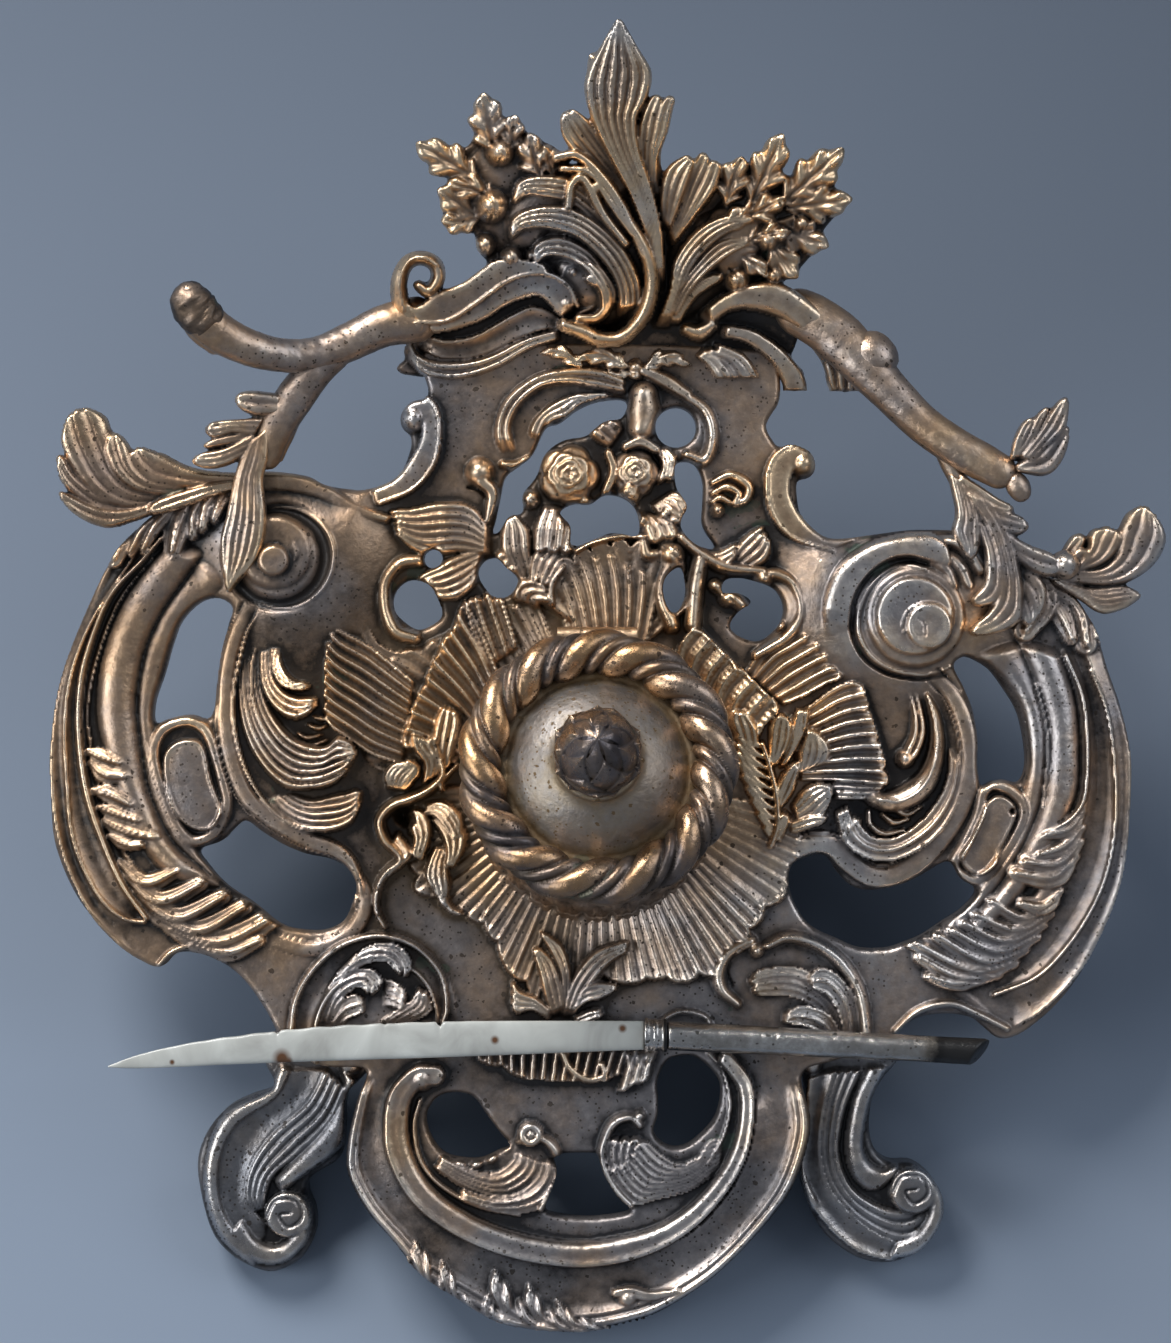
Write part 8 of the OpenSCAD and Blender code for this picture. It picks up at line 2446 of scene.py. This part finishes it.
def lid():
    """The domed lid, hollow inside."""
    shell = np.vstack([
        smooth([(28, 21.4), (28, 22.6), (27.6, 23.3), (24, 24.2), (22.2, 25.4), (20.8, 25.9),
                (19.8, 26.0), (19.0, 26.6), (18.0, 27.6), (16.6, 29.1), (14.6, 30.9), (12.4, 32.4),
                (10.6, 33.5), (9.6, 34.6), (9.3, 35.6), (8.0, 36.0), (0.06, 36.0)], steps=5),
        smooth([(0.06, 32.3), (8, 31.6), (13, 29.2), (16, 26), (17.2, 23), (17.4, 19.85),
                (19.0, 19.85), (19.0, 21.3), (21, 21.35), (27.6, 21.35)], steps=4)])

    def dome(a, share, z):
        near = np.clip((27.6 - z) / 1.6, 0, 1) * (share < 0.6)
        neck = np.clip((z - 32.6) / 1.6, 0, 1)
        return 0.12 * near * np.sin(61 * a) * np.sin(17 * a), 0.22 - 0.85 * near - 0.35 * neck

    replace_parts(turned("domed_lid", shell, 200, "lid", DOME, dome), "lid_dome")


def pine_cone():
    """The finial: overlapping scales round a cone."""
    cone = section([(CONE_LOW, 7.0), (35.6, 8.0), (38.5, 9.0), (41.5, 9.2), (45, 8.4), (48, 6.7),
                    (50.6, 4.6), (52.4, 2.6), (CONE_HIGH, 0.4)])
    z = np.linspace(CONE_LOW, CONE_HIGH, 150)
    line = np.vstack([np.stack([cone(z), z], 1), [(0.06, CONE_HIGH), (0.06, CONE_LOW)]])

    def pine(a, share, z):
        s = np.clip((z - CONE_LOW) / (CONE_HIGH - CONE_LOW), 0, 1)
        best, rub_and_light = np.zeros(np.broadcast(a, z).shape), np.full(np.broadcast(a, z).shape, -0.9)
        for k in range(-1, 6):
            up = (4.4 * s ** 0.9 - k) / 1.9
            x = (6 * a / (2 * np.pi) + 0.37 * k + 0.06 * np.sin(2 * a + k)) % 1.0 - 0.5
            half = 0.64 * np.clip(1 - np.clip(up, 0, 1) ** 1.5, 0, 1) ** 0.8
            q = np.abs(x) / np.maximum(half, 1e-3)
            form = (0.35 + 0.75 * np.clip(up, 0, 1)) * (1 - 0.30 * q)
            inside = (up > 0) & (up < 1) & (q < 1) & (form > best)
            best = np.where(inside, form, best)
            rub_and_light = np.where(inside, 0.9 * np.clip(up, 0, 1) - 0.45 - 0.2 * q, rub_and_light)
        fade = np.clip((1 - s) / 0.06, 0, 1)
        # Tone: scale tips lighter, and the side towards the upper left painted lighter as painted
        # light.
        return np.where(share > 0.985, 0, (best * 2.1 - 1.2) * fade), rub_and_light + 0.25 * np.sin(a - 0.6)

    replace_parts(turned("pine_cone", line, 320, "lid", CONE, pine), "finial")


DOME = bronze("dome_bronze", recess=(0.17, 0.105, 0.045), ground=(0.34, 0.27, 0.18),
              raised=(0.36, 0.345, 0.335), bright=(0.52, 0.51, 0.50), rough=0.46, chill=0.5)
ROPE = bronze("rope_bronze", recess=(0.018, 0.015, 0.016), ground=(0.13, 0.105, 0.10),
              raised=(0.48, 0.285, 0.150), bright=(0.88, 0.54, 0.28), rough=0.30, chill=0.6)
CONE = bronze("cone_bronze", recess=(0.014, 0.013, 0.018), ground=(0.10, 0.095, 0.11),
              raised=(0.36, 0.25, 0.17), bright=(0.80, 0.58, 0.38), rough=0.28)
well_skin()
rope()
lid()
pine_cone()


# ---------------------------------------------------------------- the pen
PEN_LOW, PEN_CLIMB, PEN_LOW_U = 7.0, 0.02316, -50    # it climbs a little to the right
BLADE_U, BLADE_LONG = -107.3, 119.1
BLADE_NOTCHES = ((-33.5, 0.45, 1.3), (-69.6, 0.5, 0.7), (-45.8, 0.35, 0.35))   # u, width, depth
BLADE_SIDES = 36
TUBE_V, TUBE_LEAN, TUBE_U = -55.05, -0.0505, 12


def pen_height(u):
    """Height of the pen's middle over the plate."""
    return PEN_LOW + PEN_CLIMB * (u - PEN_LOW_U)


def pen():
    """The pen: pearl blade, silver ferrule and silver tube."""
    upper = smooth([(-107.2, -62.1), (-101, -59.8), (-92, -57.6), (-80, -55.6), (-60, -53.4),
                    (-30, -52.1), (12, -51.9)], steps=12)
    lower = smooth([(-107.4, -62.5), (-101, -62.7), (-92, -62.4), (-80, -61.8), (-60, -61),
                    (-30, -60), (12, -58.3)], steps=12)
    t = np.linspace(0, 1, 260) ** 1.25
    u = BLADE_U + BLADE_LONG * t
    hi = np.interp(u, upper[:, 0], upper[:, 1])
    lo = np.interp(u, lower[:, 0], lower[:, 1])
    for at, wide, deep in BLADE_NOTCHES:
        hi = hi - deep * np.exp(-((u - at) / wide) ** 2)
    hi = hi + 0.10 * np.sin(u * 0.9) * np.clip((u + 100) / 30, 0, 1) * np.clip((-20 - u) / 30, 0, 1)
    hi = np.maximum(hi, lo + 0.12)
    a = np.linspace(0, 2 * np.pi, BLADE_SIDES, endpoint=False)[None, :]
    c, s = np.cos(a), np.sin(a)
    x = np.sign(c) * np.abs(c) ** 0.8
    y = np.sign(s) * np.abs(s) ** 0.55
    mid, half = ((hi + lo) / 2)[:, None], ((hi - lo) / 2)[:, None]
    thick = (0.35 + 0.85 * np.clip(t * 4, 0, 1))[:, None]
    v = mid + half * x
    w = pen_height(u)[:, None] + thick * y * (1 - 0.25 * (x > 0.1) * (x - 0.1))
    tu, tv = sight(u[:, None] + 0 * v, v, 7.0)
    points = place(tu, tv, w).reshape(-1, 3)
    n = len(u)
    piece = build("pearl_blade", *capped(points, n, BLADE_SIDES), "pen", PEARL,
                  np.zeros(n * BLADE_SIDES + 2))
    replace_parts(piece, "pen_blade")

    def barrel(name, start, end, radii, material, replaced, slant=0.0, rings=()):
        n, m = 120, 40
        t = np.linspace(0, 1, n)[:, None]
        a = np.linspace(0, 2 * np.pi, m, endpoint=False)[None, :]
        r = np.interp(t, np.linspace(0, 1, len(radii)), radii)
        for at, wide, high in rings:
            r = r + high * np.exp(-((t - at) * (end - start) / wide) ** 4)
        r = r * np.where((t == 0) | (t == 1), 0.9, 1)
        u = start + (end - start) * t - slant * (np.sin(a) * 0.6 - 0.8 * np.cos(a)) * t ** 12
        v = TUBE_V + TUBE_LEAN * (u - TUBE_U) + r * np.cos(a)
        w = pen_height(u) + r * np.sin(a)
        tu, tv = sight(u, v, 9.0)
        points = place(tu, tv, w).reshape(-1, 3)
        points, faces = capped(points, n, m)
        wear_and_painted_light = np.broadcast_to(0.45 - 1.9 * np.clip((t - 0.80) / 0.10, 0, 1), (n, m)).ravel()
        piece = build(name, points, [f[:, ::-1] for f in faces], "pen", material,
                      np.concatenate([wear_and_painted_light, [0, -1]]))
        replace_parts(piece, replaced)

    barrel("silver_ferrule", 12, 17, [3.5, 3.5], SILVER, "pen_ferrule",
           rings=((0.1, 0.5, 0.25), (0.5, 0.4, 0.15), (0.9, 0.5, 0.25)))
    barrel("silver_tube", 17, 86.5, [3.25, 3.2, 3.1, 3.0, 2.9, 3.0], SILVER, "pen_tube", slant=2.2,
           rings=((0.36, 0.4, 0.12), (0.66, 0.4, 0.12)))


pen()

# ---------------------------------------------------------------- camera, floor and light
PICTURE_HIGH = 1343 / 4.5    # the photograph's height, in millimetres of the tray
SENSOR = 36
FLOOR_HALF = 6.0
LAMP_AIM = (0, 0, 0.03)
LAMPS = [  # name, place, power, size, colour
    ("key", (-0.60, 0.85, 0.95), 21, 0.55, (1.0, 0.985, 0.96)),
    ("side", (-1.1, -0.25, 0.75), 8, 0.7, (0.90, 0.95, 1.0)),
    ("fill", (0.9, 0.3, 0.9), 4, 0.7, (0.86, 0.92, 1.0)),
]
SKY, SKY_STRENGTH = (0.62, 0.70, 0.82, 1), 0.34


def camera():
    """Looks square on to the tray, as the photograph does."""
    eye = place(np.array(EYE_U), np.array(EYE_V), np.array(EYE_W))
    aim = place(np.array(EYE_U), np.array(EYE_V), np.array(0.0))
    data = bpy.data.cameras.new("camera")
    data.sensor_width = SENSOR
    data.lens = SENSOR * EYE_W * MM / (PICTURE_HIGH * MM)
    cam = bpy.data.objects.new("camera", data)
    bpy.context.scene.collection.objects.link(cam)
    cam.location = Vector(eye)
    cam.rotation_mode = "QUATERNION"
    cam.rotation_quaternion = (Vector(aim) - Vector(eye)).to_track_quat("-Z", "Y")
    bpy.context.scene.camera = cam


def area_light(name, spot, power, size, colour):
    """A soft square lamp that faces the middle of the stand."""
    data = bpy.data.lights.new(name, "AREA")
    data.size = size
    data.energy = power
    data.color = colour
    lamp = bpy.data.objects.new(name, data)
    bpy.context.scene.collection.objects.link(lamp)
    lamp.location = spot
    lamp.rotation_mode = "QUATERNION"
    lamp.rotation_quaternion = (Vector(LAMP_AIM) - Vector(spot)).to_track_quat("-Z", "Y")


def studio():
    """The paper, three soft lamps and a faint sky."""
    mesh = bpy.data.meshes.new("floor")
    r = FLOOR_HALF
    mesh.from_pydata([(-r, -r, 0), (r, -r, 0), (r, r, 0), (-r, r, 0)], [], [(0, 1, 2, 3)])
    floor = bpy.data.objects.new("floor", mesh)
    bpy.context.scene.collection.objects.link(floor)
    mesh.materials.append(backdrop("floor"))
    for lamp in LAMPS:
        area_light(*lamp)
    world = bpy.data.worlds.new("studio")
    world.use_nodes = True
    back = world.node_tree.nodes["Background"]
    back.inputs["Color"].default_value = SKY
    back.inputs["Strength"].default_value = SKY_STRENGTH
    bpy.context.scene.world = world
    bpy.context.scene.view_settings.view_transform = "Standard"


camera()
studio()
